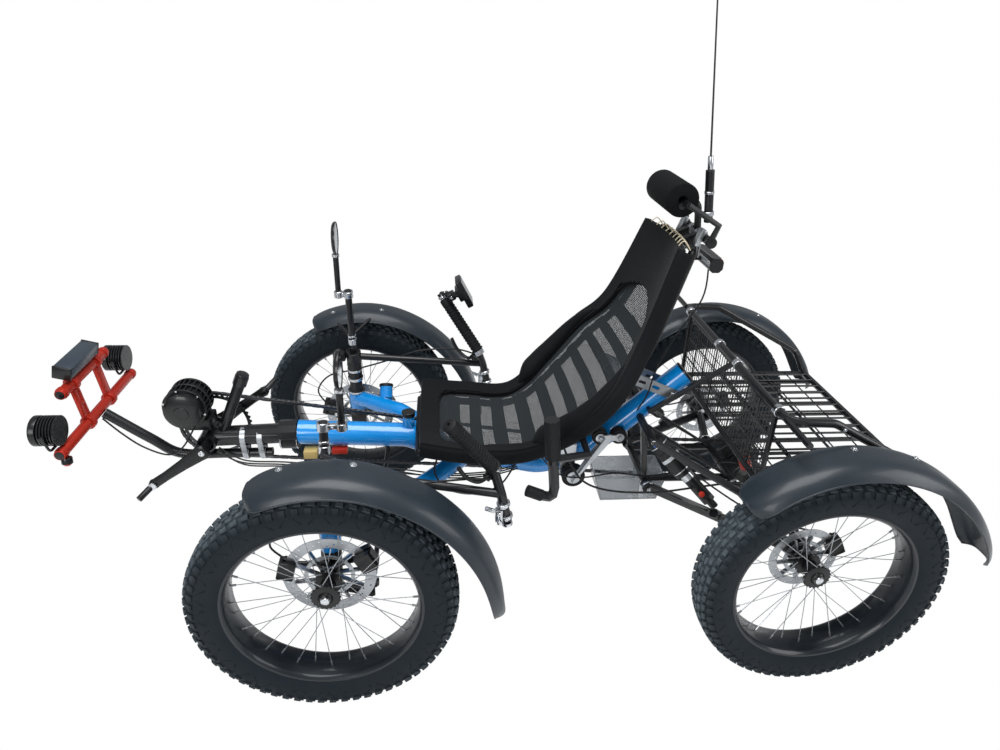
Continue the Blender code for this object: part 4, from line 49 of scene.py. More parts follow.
Point = tuple[float, float, float]
Piece, Node, Socket, Tree = bpy.types.Object, bpy.types.Node, bpy.types.NodeSocket, bpy.types.NodeTree
Place = Sequence[float]
# What row() adds to a forward place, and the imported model's origin as a place of the axle-centred frame
DATUM_X = -0.1249
HOME = (-DATUM_X, 0, 0)
AHEAD, ACROSS, UPWARD = (1, 0, 0), (0, 1, 0), (0, 0, 1)
# Where the axles, the wheels' middle planes, the crank axle and the kingpins lie
AXLE_X, AXLE_Z = 0.55, 0.285
FRONT_Y, REAR_Y = 0.4275, 0.4205
CRANK_X, CRANK_Z = 0.884, 0.428
KINGPIN_Y = 0.305
KINGPIN_SLOPE = math.tan(math.radians(8))
# The angle past which an edge stays sharp, and the distance under which two corners are one
SHARP = math.radians(35.0)
WELD = 0.00002
WHITE_CARD = "#ffffff"
LEFT_AND_RIGHT = (("left", 1), ("right", -1))
SIDES = (-1, 1)


def row(point: Place) -> Vector:
    """Move a place from the axle-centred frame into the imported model's frame."""
    return Vector((point[0] + DATUM_X, point[1], point[2]))


# Modelling bench: each helper works as one would by hand, on a deselected scene


def only(*items: Piece) -> None:
    """Select these objects alone and make the first one active.

    Args:
        items: the objects, of which the first becomes the active one.
    """
    bpy.ops.object.select_all(action="DESELECT")
    for item in items:
        item.select_set(True)
    bpy.context.view_layer.objects.active = items[0]


def remove(item: Piece) -> None:
    """Delete an object that was only a pattern for copies."""
    bpy.data.objects.remove(item, do_unlink=True)


def settle(item: Piece) -> Piece:
    """Put an object's place, turn and size into its mesh.

    Args:
        item: the object.

    Returns:
        The same object.
    """
    only(item)
    bpy.ops.object.transform_apply(location=True, rotation=True, scale=True)
    return item


def weld(item: Piece) -> Piece:
    """Merge doubled corners and point every face outwards.

    Args:
        item: the object.

    Returns:
        The same object.
    """
    only(item)
    bpy.ops.object.mode_set(mode="EDIT")
    bpy.ops.mesh.select_all(action="SELECT")
    bpy.ops.mesh.remove_doubles(threshold=WELD)
    bpy.ops.mesh.normals_make_consistent(inside=False)
    bpy.ops.object.mode_set(mode="OBJECT")
    return item


def soften(item: Piece, degrees: float = 35.0) -> Piece:
    """Shade an object smooth, with sharp edges past an angle.

    Args:
        item: the object.
        degrees: the angle past which an edge stays sharp.

    Returns:
        The same object.
    """
    only(item)
    bpy.ops.object.shade_smooth_by_angle(angle=math.radians(degrees))
    return item


def modify(item: Piece, kind: str, **settings: object) -> Piece:
    """Add one modifier with its settings and apply it.

    Args:
        item: the object that is changed.
        kind: Blender's name of the modifier type.
        settings: the modifier's own values.

    Returns:
        The same object, with the modifier in its mesh.
    """
    only(item)
    change = item.modifiers.new(kind.lower(), kind)
    for name, value in settings.items():
        setattr(change, name, value)
    bpy.ops.object.modifier_apply(modifier=change.name)
    return item


def round_edges(item: Piece, width: float, segments: int = 2) -> Piece:
    """Bevel the edges of an object that are sharper than 35 degrees."""
    return modify(item, "BEVEL", width=width, segments=segments, limit_method="ANGLE",
                  angle_limit=SHARP, harden_normals=False)


def mesh_piece(name: str, corners: Sequence[Place], faces: Sequence[Sequence[int]],
               edges: Sequence[Sequence[int]] = ()) -> Piece:
    """Link a new object with a mesh of these corners, edges and faces.

    Args:
        name: the new object's name.
        corners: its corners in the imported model's frame.
        faces: the corner numbers of each face.
        edges: the corner numbers of each loose edge.

    Returns:
        The new object.
    """
    mesh = bpy.data.meshes.new(name)
    mesh.from_pydata([tuple(corner) for corner in corners], list(edges), list(faces))
    mesh.update()
    item = bpy.data.objects.new(name, mesh)
    bpy.context.scene.collection.objects.link(item)
    return item


def turn_to(direction: Vector) -> Matrix:
    """The turn that takes +Z to a direction."""
    return direction.normalized().to_track_quat("Z", "Y").to_matrix().to_4x4()


def bar(start: Place, end: Place, radius: float, sides: int = 24,
        edge: float = 0.0, tip: float | None = None) -> Piece:
    """A straight round bar between two places of the axle-centred frame.

    Args:
        start: the bar's first end.
        end: the bar's other end.
        radius: its radius at the start.
        sides: how many sides it has.
        edge: the width of its rounded rims, or none.
        tip: its radius at the end, where it tapers.

    Returns:
        The bar, with its place in its mesh.
    """
    first, last = row(start), row(end)
    run = last - first
    bpy.ops.object.select_all(action="DESELECT")
    bpy.ops.mesh.primitive_cone_add(vertices=sides, radius1=radius, radius2=radius if tip is None else tip,
                                    depth=run.length, location=(first + last) / 2,
                                    rotation=turn_to(run).to_euler())
    item = settle(bpy.context.object)
    if edge > 0:
        round_edges(item, edge)
    return item


def block(size: Point, middle: Place, edge: float = 0.001, turn: Matrix | None = None,
          taper: float = 1.0) -> Piece:
    """A block with rounded edges, turned about its middle and narrower at its top where it tapers.

    Args:
        size: its length, width and height.
        middle: its middle, in the axle-centred frame.
        edge: the width of its rounded edges, or none.
        turn: how it is turned about its middle.
        taper: its top's width as a share of its foot's.

    Returns:
        The block, with its place in its mesh.
    """
    bpy.ops.object.select_all(action="DESELECT")
    bpy.ops.mesh.primitive_cube_add(size=1.0, location=(0, 0, 0))
    item = bpy.context.object
    for corner in item.data.vertices:
        share = taper if corner.co.z > 0 else 1.0
        corner.co = Vector((corner.co.x * size[0] * share, corner.co.y * size[1] * share,
                            corner.co.z * size[2]))
    if edge > 0:
        round_edges(item, edge)
    item.data.transform(Matrix.Translation(row(middle)) @ (turn or Matrix.Identity(4)))
    return item


def lathe(name: str, profile: Sequence[tuple[float, float]], middle: Place, direction: Place,
          steps: int = 48, ring: bool = False) -> Piece:
    """Spin a profile of (radius, height) about an axis.

    Args:
        name: the new object's name.
        profile: radii and heights along the axis.
        middle: where height zero lies, in the axle-centred frame.
        direction: the axis.
        steps: how many steps make the whole turn.
        ring: whether the profile closes on itself.

    Returns:
        The turned piece, closed and facing outwards.
    """
    count = len(profile)
    edges = [(index, index + 1) for index in range(count - 1)]
    if ring:
        edges.append((count - 1, 0))
    item = mesh_piece(name, [(radius, 0.0, height) for radius, height in profile], [], edges)
    only(item)
    bpy.ops.object.mode_set(mode="EDIT")
    bpy.ops.mesh.select_all(action="SELECT")
    bpy.ops.mesh.spin(steps=steps, angle=math.tau, center=(0, 0, 0), axis=UPWARD)
    bpy.ops.mesh.select_all(action="SELECT")
    bpy.ops.mesh.remove_doubles(threshold=WELD)
    bpy.ops.mesh.normals_make_consistent(inside=False)
    bpy.ops.object.mode_set(mode="OBJECT")
    item.data.transform(Matrix.Translation(row(middle)) @ turn_to(Vector(direction)))
    return soften(item)


def curve_through(points: Sequence[Place], steps: int = 6, closed: bool = False) -> list[Vector]:
    """Places along a smooth curve that passes through every given point.

    Args:
        points: the places that it passes.
        steps: how many steps lead from one to the next.
        closed: whether it ends where it starts.

    Returns:
        Places along the curve.
    """
    places = [Vector(point) for point in points]
    total = len(places)
    route = []
    for index in range(total if closed else total - 1):
        before = places[(index - 1) % total] if closed else places[max(index - 1, 0)]
        first = places[index]
        second = places[(index + 1) % total]
        after = places[(index + 2) % total] if closed else places[min(index + 2, total - 1)]
        for step in range(steps):
            share = step / steps
            route.append(0.5 * (2 * first + (second - before) * share
                                + (2 * before - 5 * first + 4 * second - after) * share ** 2
                                + (3 * first - before - 3 * second + after) * share ** 3))
    if not closed:
        route.append(places[-1])
    return route


def bent(points: Sequence[Place], bend: float, steps: int = 8) -> list[Vector]:
    """Round the corners of straight runs with one bend radius, as a tube bender does.

    Args:
        points: the run's ends and corners.
        bend: the bend radius.
        steps: how many steps each bend has.

    Returns:
        Places along the bent run.
    """
    places = [Vector(point) for point in points]
    route = [places[0]]
    for before, corner, after in zip(places[:-2], places[1:-1], places[2:]):
        back, ahead = (before - corner).normalized(), (after - corner).normalized()
        reach = min(bend / math.tan(back.angle(ahead) / 2), (before - corner).length / 2,
                    (after - corner).length / 2)
        start, end = corner + back * reach, corner + ahead * reach
        for step in range(steps + 1):
            share = step / steps
            route.append(start.lerp(corner, share).lerp(corner.lerp(end, share), share))
    route.append(places[-1])
    return route


def pipe(name: str, points: Sequence[Place], radius: float, sides: int = 20,
         closed: bool = False) -> Piece:
    """A round tube along places of the axle-centred frame, drawn as a bevelled curve and made a mesh.

    Args:
        name: the new object's name.
        points: places along its middle line.
        radius: its radius.
        sides: about how many sides it has.
        closed: whether it ends where it starts.

    Returns:
        The tube, softly shaded.
    """
    curve = bpy.data.curves.new(name, "CURVE")
    curve.dimensions = "3D"
    curve.bevel_depth = radius
    curve.bevel_resolution = max(sides // 2 - 2, 1)
    curve.use_fill_caps = True
    spline = curve.splines.new("POLY")
    spline.points.add(len(points) - 1)
    for corner, point in zip(spline.points, points):
        corner.co = (*row(point), 1.0)
    spline.use_cyclic_u = closed
    item = bpy.data.objects.new(name, curve)
    bpy.context.scene.collection.objects.link(item)
    only(item)
    bpy.ops.object.convert(target="MESH")
    item = bpy.context.object
    weld(item)
    return soften(item, 50.0)


def join(name: str, items: Iterable[Piece]) -> Piece:
    """Join objects into one and name it.

    Args:
        name: the joined object's name.
        items: the objects.

    Returns:
        The joined object.
    """
    held = list(items)
    only(*held)
    if len(held) > 1:
        bpy.ops.object.join()
    item = bpy.context.object
    item.name = name
    item.data.name = name
    return item


def stamp(name: str, pattern: Piece, places: Sequence[Matrix]) -> Piece:
    """Copy one pattern to many places as one mesh, and delete the pattern.

    Args:
        name: the new object's name.
        pattern: the object that is copied.
        places: where each copy goes.

    Returns:
        All copies as one object.
    """
    corners = [corner.co.copy() for corner in pattern.data.vertices]
    faces = [tuple(face.vertices) for face in pattern.data.polygons]
    all_corners, all_faces = [], []
    for place in places:
        start = len(all_corners)
        all_corners.extend(place @ corner for corner in corners)
        flip = place.to_3x3().determinant() < 0
        for face in faces:
            loop = tuple(start + index for index in face)
            all_faces.append(tuple(reversed(loop)) if flip else loop)
    item = mesh_piece(name, all_corners, all_faces)
    remove(pattern)
    return soften(item)


def segment(start: Vector, end: Vector, radius: float) -> Matrix:
    """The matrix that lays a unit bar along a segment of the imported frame.

    Args:
        start: the bar's first end.
        end: the bar's other end.
        radius: the bar's radius.

    Returns:
        The matrix.
    """
    run = end - start
    return Matrix.Translation((start + end) / 2) @ turn_to(run) @ Matrix.Diagonal(
        (radius, radius, run.length, 1.0))


def unit_bar(sides: int) -> Piece:
    """A bar of radius one and length one, as a pattern for stamp().

    Args:
        sides: how many sides it has.

    Returns:
        The bar.
    """
    bpy.ops.object.select_all(action="DESELECT")
    bpy.ops.mesh.primitive_cylinder_add(vertices=sides, radius=1.0, depth=1.0, location=(0, 0, 0))
    return bpy.context.object


def bars(name: str, runs: Sequence[tuple[Place, Place]], radius: float,
         sides: int = 10) -> Piece:
    """Many straight bars of one radius as one mesh, between places of the axle-centred frame."""
    return stamp(name, unit_bar(sides), [segment(row(start), row(end), radius) for start, end in runs])


def bolt(middle: Place, direction: Place, radius: float,
         height: float | None = None) -> Piece:
    """A socket-head bolt with its hexagon recess, head up along a direction.

    Args:
        middle: the middle of the head's foot.
        direction: where the head points.
        radius: the head's radius.
        height: the head's height, which is else its radius.

    Returns:
        The bolt.
    """
    tall = radius if height is None else height
    way = Vector(direction).normalized()
    return lathe("bolt", [(0.0, 0.0), (radius, 0.0), (radius, tall * 0.8), (radius * 0.85, tall),
                          (radius * 0.5, tall), (radius * 0.5, tall * 0.45), (0.0, tall * 0.45)],
                 middle, way, 12)


def polar(reach: float, turn: float, across: float) -> Vector:
    """A point about the line across the vehicle, by its distance, its angle and its place along the line."""
    return Vector((reach * math.cos(turn), across, reach * math.sin(turn)))


def even(half: Sequence[tuple[float, float]]) -> list[tuple[float, float]]:
    """A ring's whole profile from its lower half, which is mirrored in height."""
    return [*half, *((radius, -height) for radius, height in reversed(half))]


def ring_on(middle: Place, way: Place, inner: float, outer: float, tall: float,
            cut: float | None = None, steps: int = 40) -> Piece:
    """A clamp ring with soft rims about an axis.

    Args:
        middle: the ring's middle, in the axle-centred frame.
        way: the axis that it goes round.
        inner: the radius of its bore.
        outer: its outer radius.
        tall: its height along the axis.
        cut: the width of its bevelled rims, or one that suits its size.
        steps: how many steps make the whole turn.

    Returns:
        The ring.
    """
    rim = min((outer - inner) / 3, tall / 6) if cut is None else cut
    half = [(inner, -tall / 2), (outer - rim, -tall / 2), (outer, -tall / 2 + rim)]
    return lathe("ring", even(half), middle, way, steps, ring=True)


def tube_faces(steps: int, ring: int) -> list[tuple[int, ...]]:
    """The faces of a capped tube.

    Args:
        steps: how many lengths it has; its corners lie in one ring more.
        ring: how many corners each ring has.

    Returns:
        The corner numbers of each face.
    """
    faces = []
    for step in range(steps):
        for turn in range(ring):
            after = (turn + 1) % ring
            faces.append((step * ring + turn, step * ring + after, (step + 1) * ring + after,
                          (step + 1) * ring + turn))
    return [*faces, tuple(range(ring)), tuple(reversed(range(steps * ring, (steps + 1) * ring)))]


def chart(item: Piece, flat: Sequence[tuple[float, float]]) -> Piece:
    """Give a cloth piece its flat map in metres, one pair for each corner.

    Args:
        item: the cloth piece.
        flat: where each corner lies on the flat cloth.

    Returns:
        The same piece.
    """
    layer = item.data.uv_layers.new(name="metres")
    for loop, uv in zip(item.data.loops, layer.data):
        uv.uv = flat[loop.vertex_index]
    return item


def carve(item: Piece, cutter: Piece, **settings: object) -> None:
    """Cut one piece out of another and throw the cutter away."""
    modify(item, "BOOLEAN", operation="DIFFERENCE", object=cutter, solver="EXACT", **settings)
    remove(cutter)


def pitched(degrees: float) -> Matrix:
    """A turn about the line across the vehicle."""
    return Matrix.Rotation(math.radians(degrees), 4, "Y")


def moved(item: Piece, place: Matrix) -> Piece:
    """Move a piece's mesh and hand the piece back."""
    item.data.transform(place)
    return item


# Materials


def linear(code: str) -> tuple[float, float, float, float]:
    """Turn an sRGB hex code into linear red, green, blue and alpha.

    Args:
        code: the hex colour.

    Returns:
        Red, green, blue and alpha.
    """
    parts = [int(code[index:index + 2], 16) / 255.0 for index in (1, 3, 5)]
    red, green, blue = (part / 12.92 if part <= 0.04045 else ((part + 0.055) / 1.055) ** 2.4
                        for part in parts)
    return red, green, blue, 1.0


def add_node(tree: Tree, kind: str, inputs: dict | None = None,
             **settings: object) -> Node:
    """Add one shader node.

    Args:
        tree: the material's node tree.
        kind: the node's type name, without its ShaderNode prefix.
        inputs: values or output sockets for the node's inputs, by name or number.
        settings: the node's own options.

    Returns:
        The new node.
    """
    node = tree.nodes.new("ShaderNode" + kind)
    for name, value in settings.items():
        setattr(node, name, value)
    for key, value in (inputs or {}).items():
        if isinstance(value, Socket):
            tree.links.new(value, node.inputs[key])
        else:
            node.inputs[key].default_value = value
    return node


class Pattern(Enum):
    """How a material's surface is broken up."""

    PLAIN = "plain"
    DUSTY = "dusty"
    BRUSHED = "brushed"
    NET = "net"
    CLOTH = "cloth"
    GLASS = "glass"
    GLOW = "glow"


@dataclass(frozen=True)
class Finish:
    """One real material as the eye gets it.

    Attributes:
        name: the material's name.
        slot: the finish slot that it stands for; it is not used.
        colour: its sRGB hex colour.
        rough: how dull it is, from 0 to 1.
        metal: 1 for bare metal.
        coat: the strength of a clear layer over it.
        grain: the size of its surface grain in metres.
        relief: the depth of that grain in metres.
        mottle: how far its colour wanders.
        shine: how strongly it mirrors where it is no metal.
        second: the colour of the dust on it.
        pattern: what breaks up its surface.
    """

    name: str
    slot: str
    colour: str
    rough: float
    metal: float = 0.0
    coat: float = 0.0
    grain: float = 0.0012
    relief: float = 0.00002
    mottle: float = 0.12
    shine: float = 0.35
    second: str = "#000000"
    pattern: Pattern = Pattern.PLAIN

    def material(self) -> bpy.types.Material:
        """Return this finish's material, made the first time it is asked for.

        Returns:
            The material.
        """
        made = bpy.data.materials.get(self.name)
        if made:
            return made
        made = bpy.data.materials.new(self.name)
        made.use_nodes = True
        tree = made.node_tree
        shader = tree.nodes["Principled BSDF"]
        plain = {"Metallic": self.metal, "Coat Weight": self.coat, "Specular IOR Level": self.shine,
                 "Coat Roughness": 0.08}
        if self.pattern is Pattern.GLASS:
            plain |= {"Transmission Weight": 0.75, "IOR": 1.45}
        if self.pattern is Pattern.CLOTH:
            plain |= {"Sheen Weight": 0.03, "Sheen Roughness": 0.5}
        for name, value in plain.items():
            shader.inputs[name].default_value = value
        place = add_node(tree, "TexCoord").outputs["Object"]
        wander = add_node(tree, "TexNoise", {"Vector": place, "Scale": 14.0, "Detail": 4.0})
        fine = add_node(tree, "TexNoise", {"Vector": place, "Scale": 1.0 / self.grain, "Detail": 2.0})
        self.tint(tree, shader, place, wander)
        dull = add_node(tree, "MapRange", {"Value": wander.outputs["Fac"], "From Min": 0.3, "From Max": 0.7,
                                           "To Min": max(self.rough - 0.07, 0.02),
                                           "To Max": self.rough + 0.07})
        tree.links.new(dull.outputs["Result"], shader.inputs["Roughness"])
        height = fine.outputs["Fac"]
        if self.pattern is Pattern.CLOTH:
            height = self.threads(tree, 0.0011)
        bump = add_node(tree, "Bump", {"Height": height, "Distance": self.relief, "Strength": 1.0})
        tree.links.new(bump.outputs["Normal"], shader.inputs["Normal"])
        if self.pattern is Pattern.NET:
            tree.links.new(self.holes(tree, 0.0024), shader.inputs["Alpha"])
        return made

    def tint(self, tree: Tree, shader: Node, place: Socket,
             wander: Node) -> None:
        """Drive the base colour: a slow drift, and dust, brush marks or threads where the finish has them.

        Args:
            tree: the material's nodes.
            shader: the surface node.
            place: the object's own coordinates.
            wander: the slow noise.
        """
        base = linear(self.colour)
        dark = tuple(part * (1 - self.mottle) for part in base[:3]) + (1.0,)
        light = tuple(min(part * (1 + self.mottle), 1.0) for part in base[:3]) + (1.0,)
        drift = add_node(tree, "Mix", {0: wander.outputs["Fac"], 6: dark, 7: light}, data_type="RGBA")
        colour = drift.outputs[2]
        if self.pattern is Pattern.DUSTY:
            worn = add_node(tree, "Attribute", attribute_name="dust")
            patch = add_node(tree, "TexNoise", {"Vector": place, "Scale": 60.0, "Detail": 6.0})
            share = add_node(tree, "Math", {0: worn.outputs["Fac"], 1: patch.outputs["Fac"]},
                             operation="MULTIPLY")
            colour = add_node(tree, "Mix", {0: share.outputs[0], 6: colour, 7: linear(self.second)},
                              data_type="RGBA").outputs[2]
        if self.pattern is Pattern.BRUSHED:
            stretched = add_node(tree, "Mapping", {"Vector": place, "Scale": (900.0, 60.0, 900.0)})
            lines = add_node(tree, "TexNoise", {"Vector": stretched.outputs[0], "Scale": 1.0, "Detail": 3.0})
            colour = add_node(tree, "Mix", {0: lines.outputs["Fac"], 6: dark, 7: light},
                              data_type="RGBA").outputs[2]
        if self.pattern is Pattern.GLOW:
            shader.inputs["Emission Strength"].default_value = 0.15
            tree.links.new(colour, shader.inputs["Emission Color"])
        tree.links.new(colour, shader.inputs["Base Color"])

    def threads(self, tree: Tree, pitch: float) -> Socket:
        """A knitted height from two crossing waves on the piece's own UV map in metres.

        Args:
            tree: the material's nodes.
            pitch: how far the threads lie apart.

        Returns:
            The height.
        """
        cloth = add_node(tree, "UVMap", uv_map="metres")
        heights = [add_node(tree, "TexWave", {"Vector": cloth.outputs["UV"], "Scale": 0.314 / pitch},
                            bands_direction=way) for way in ("X", "Y")]
        return add_node(tree, "Math", {0: heights[0].outputs["Fac"], 1: heights[1].outputs["Fac"]},
                        operation="MULTIPLY").outputs[0]

    def holes(self, tree: Tree, pitch: float) -> Socket:
        """The share of net at a point: round holes in staggered rows on the piece's own UV map in metres.

        Args:
            tree: the material's nodes.
            pitch: how far the holes lie apart.

        Returns:
            The share of net.
        """
        cloth = add_node(tree, "UVMap", uv_map="metres")
        cells = add_node(tree, "VectorMath", {0: cloth.outputs["UV"], "Scale": 1.0 / pitch},
                         operation="SCALE")
        cell = add_node(tree, "TexVoronoi", {"Vector": cells.outputs[0], "Scale": 1.0, "Randomness": 0.0},
                        voronoi_dimensions="2D")
        return add_node(tree, "Math", {0: cell.outputs["Distance"], 1: 0.205},
                        operation="GREATER_THAN").outputs[0]


# Nearly black, dull rubber that grows pale with dust towards the knobs' faces
RUBBER = Finish("dusty_tyre_rubber", "tyre_rubber", "#10191f", 0.6, grain=0.0009, relief=0.00004,
                second="#646f76", shine=0.16, pattern=Pattern.DUSTY)
# Dull black rubber with soft, broad glints
GRIP_RUBBER = Finish("grip_rubber", "foam", "#0f1012", 0.62, relief=0.00004, shine=0.25)
# Blue-black metal with the gleam of a thin clear layer
RIM_ALLOY = Finish("rim_anodised_black", "black_alloy", "#151b21", 0.36, metal=0.25, coat=0.3)
# Black powder coat, finely dimpled, with a mild gloss
COATED_STEEL = Finish("powder_coated_steel", "black_coat", "#101114", 0.36, coat=0.25, relief=0.00003)
# Black machined metal that gleams along its edges
BLACK_ALLOY = Finish("black_machined_alloy", "black_alloy", "#0c0d0f", 0.36, metal=0.12, shine=0.45)
# Strong sky blue under deep clear lacquer, with sharp reflections
AZURE_PAINT = Finish("azure_gloss_paint", "blue_paint", "#0083d0", 0.28, coat=1.0, grain=0.0004,
                     relief=0.000004)
# Deep red metal with a satin sheen
RED_ANODISED = Finish("red_anodised_alloy", "red_anodised", "#ad2c1d", 0.34, metal=0.35, relief=0.0)
# Pale metal with fine brushed lines and broad glints
BARE_ALLOY = Finish("brushed_bare_alloy", "bare_alloy", "#b4b8bc", 0.38, metal=1.0, pattern=Pattern.BRUSHED)
# Bolts, caps and rings that are nearly mirrors
BRIGHT_STEEL = Finish("polished_bright_steel", "bright_steel", "#c9ccd0", 0.24, metal=1.0, relief=0.000006)
# Grey ground steel whose lines spread the light
DISC_STEEL = Finish("ground_disc_steel", "bright_steel", "#aeb2b6", 0.36, metal=1.0, pattern=Pattern.BRUSHED)
# Thin wires that read pale against the dark rim
SPOKE_STEEL = Finish("spoke_steel", "bright_steel", "#a4a8ac", 0.34, metal=0.9, relief=0.0)
# A bare, pale, half matt label
LABEL_FILM = Finish("pale_label_film", "bare_alloy", "#c3c8cc", 0.42, relief=0.0)
# Dark oily steel with small glints on its links
CHAIN_STEEL = Finish("oiled_chain_steel", "bright_steel", "#4a4b4d", 0.38, metal=0.9)
# Smooth blue-black plastic that mirrors the room softly
GUARD_PLASTIC = Finish("mudguard_plastic", "guard_plastic", "#20282f", 0.38, coat=0.12, relief=0.0)
# Black housings with a faint gloss
LAMP_BLACK = Finish("lamp_housing_black", "lamp_black", "#0e0f11", 0.34, coat=0.2)
# Slate grey, half metallic
LAMP_GREY = Finish("lamp_extrusion_grey", "lamp_black", "#39424c", 0.36, metal=0.3)
# Matt black knitted cloth with soft shadows
NEOPRENE = Finish("neoprene_cloth", "foam", "#0c0f12", 0.8, relief=0.00012, shine=0.12, pattern=Pattern.CLOTH)
# Coarse black foam that swallows light
ROLL_FOAM = Finish("headrest_foam", "foam", "#0c0d0e", 0.85, grain=0.0016, relief=0.00018, shine=0.12)
# Dark grey net, seen through by its round holes
SEAT_NET = Finish("seat_spacer_net", "seat_fabric", "#2a2e31", 0.8, relief=0.0002, shine=0.1,
                  pattern=Pattern.NET)
# Matt black woven tape
WEBBING = Finish("strap_webbing", "seat_fabric", "#0f0f11", 0.8, relief=0.0002, shine=0.1,
                 pattern=Pattern.CLOTH)
# Dull cream cord
CREAM_CORD = Finish("cream_lacing", "seat_fabric", "#d2c7ad", 0.75)
# Clear plastic with a cool grey tinge, partly seen through
CLEAR_GREY = Finish("smoked_clear_plastic", "clear_grey", "#d3d7da", 0.24, relief=0.0, mottle=0.02,
                    pattern=Pattern.GLASS)
# Clear lamp glass with sharp glints
LENS_GLASS = Finish("lamp_lens_glass", "clear_grey", "#d7dde2", 0.08, relief=0.000004, pattern=Pattern.GLASS)
# A plain mirror
MIRROR_GLASS = Finish("mirror_silvering", "bright_steel", "#d5dbe0", 0.03, metal=1.0, relief=0.0)
# Red lamp plastic with a faint glow
RED_LENS = Finish("red_lens", "red_anodised", "#9c1a14", 0.2, coat=0.6, pattern=Pattern.GLOW)
# Small blue metal knobs with bright edges
BLUE_ANODISED = Finish("blue_anodised_knob", "blue_paint", "#2a62b4", 0.3, metal=0.7)
# A glossy dark brown face
BROWN_GLOSS = Finish("brown_gloss_film", "lamp_black", "#33241f", 0.18, coat=0.8)
# A dark screen under shiny glass
SCREEN = Finish("display_screen", "lamp_black", "#0b0d10", 0.1, coat=0.7)
# Plain, slightly shiny beige
BEIGE_PLASTIC = Finish("beige_plastic", "lamp_black", "#b39c62", 0.45, relief=0.0)
# Black sleeve with a soft line of light along it
CABLE_SLEEVE = Finish("cable_sleeve", "black_coat", "#0d0e10", 0.42)


class Body(Enum):
    """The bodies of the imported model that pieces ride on."""

    FRAME = "frame"
    KNUCKLE_LEFT = "knuckle_left"
    KNUCKLE_RIGHT = "knuckle_right"
    TIE_ROD = "tie_rod"
    WHEEL_FRONT_LEFT = "wheel_front_left"
    WHEEL_FRONT_RIGHT = "wheel_front_right"
    WHEEL_REAR_LEFT = "wheel_rear_left"
    WHEEL_REAR_RIGHT = "wheel_rear_right"
    CRANKSET = "crankset"


def fit(item: Piece, name: str, finish: Finish, *nodes: str, body: Body = Body.FRAME) -> Piece:
    """Give a finished piece its name, its material and its body.

    Args:
        item: the piece.
        name: its name in the scene.
        finish: its material.
        nodes: the CAD nodes that it stands for.
        body: what it rides on.

    Returns:
        The same piece.
    """
    item.name = name
    item.data.name = name
    item.data.materials.clear()
    item.data.materials.append(finish.material())
    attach(item, body.value)
    if nodes:
        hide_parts(*nodes)
    LOG.info("%s: %s on %s, %d faces", name, finish.name, body.value, len(item.data.polygons))
    return item


def group(parts: Iterable[Piece], name: str, finish: Finish, *nodes: str, body: Body = Body.FRAME) -> Piece:
    """Join loose parts into one softly shaded piece and fit it."""
    return fit(soften(join(name, parts)), name, finish, *nodes, body=body)


def dress(node: str, finish: Finish, edge: float = 0.0008) -> None:
    """Give a CAD node that stays in view its material and softly rounded edges.

    Args:
        node: the CAD node's name.
        finish: its material.
        edge: the width of its rounded edges, or none.
    """
    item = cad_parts[node]
    item.data.materials.clear()
    item.data.materials.append(finish.material())
    if edge > 0:
        change = item.modifiers.new("edges", "BEVEL")
        change.width, change.segments, change.limit_method = edge, 2, "ANGLE"
        change.angle_limit = math.radians(40)
    LOG.info("%s: CAD piece in %s", node, finish.name)


# Wheels and tyres


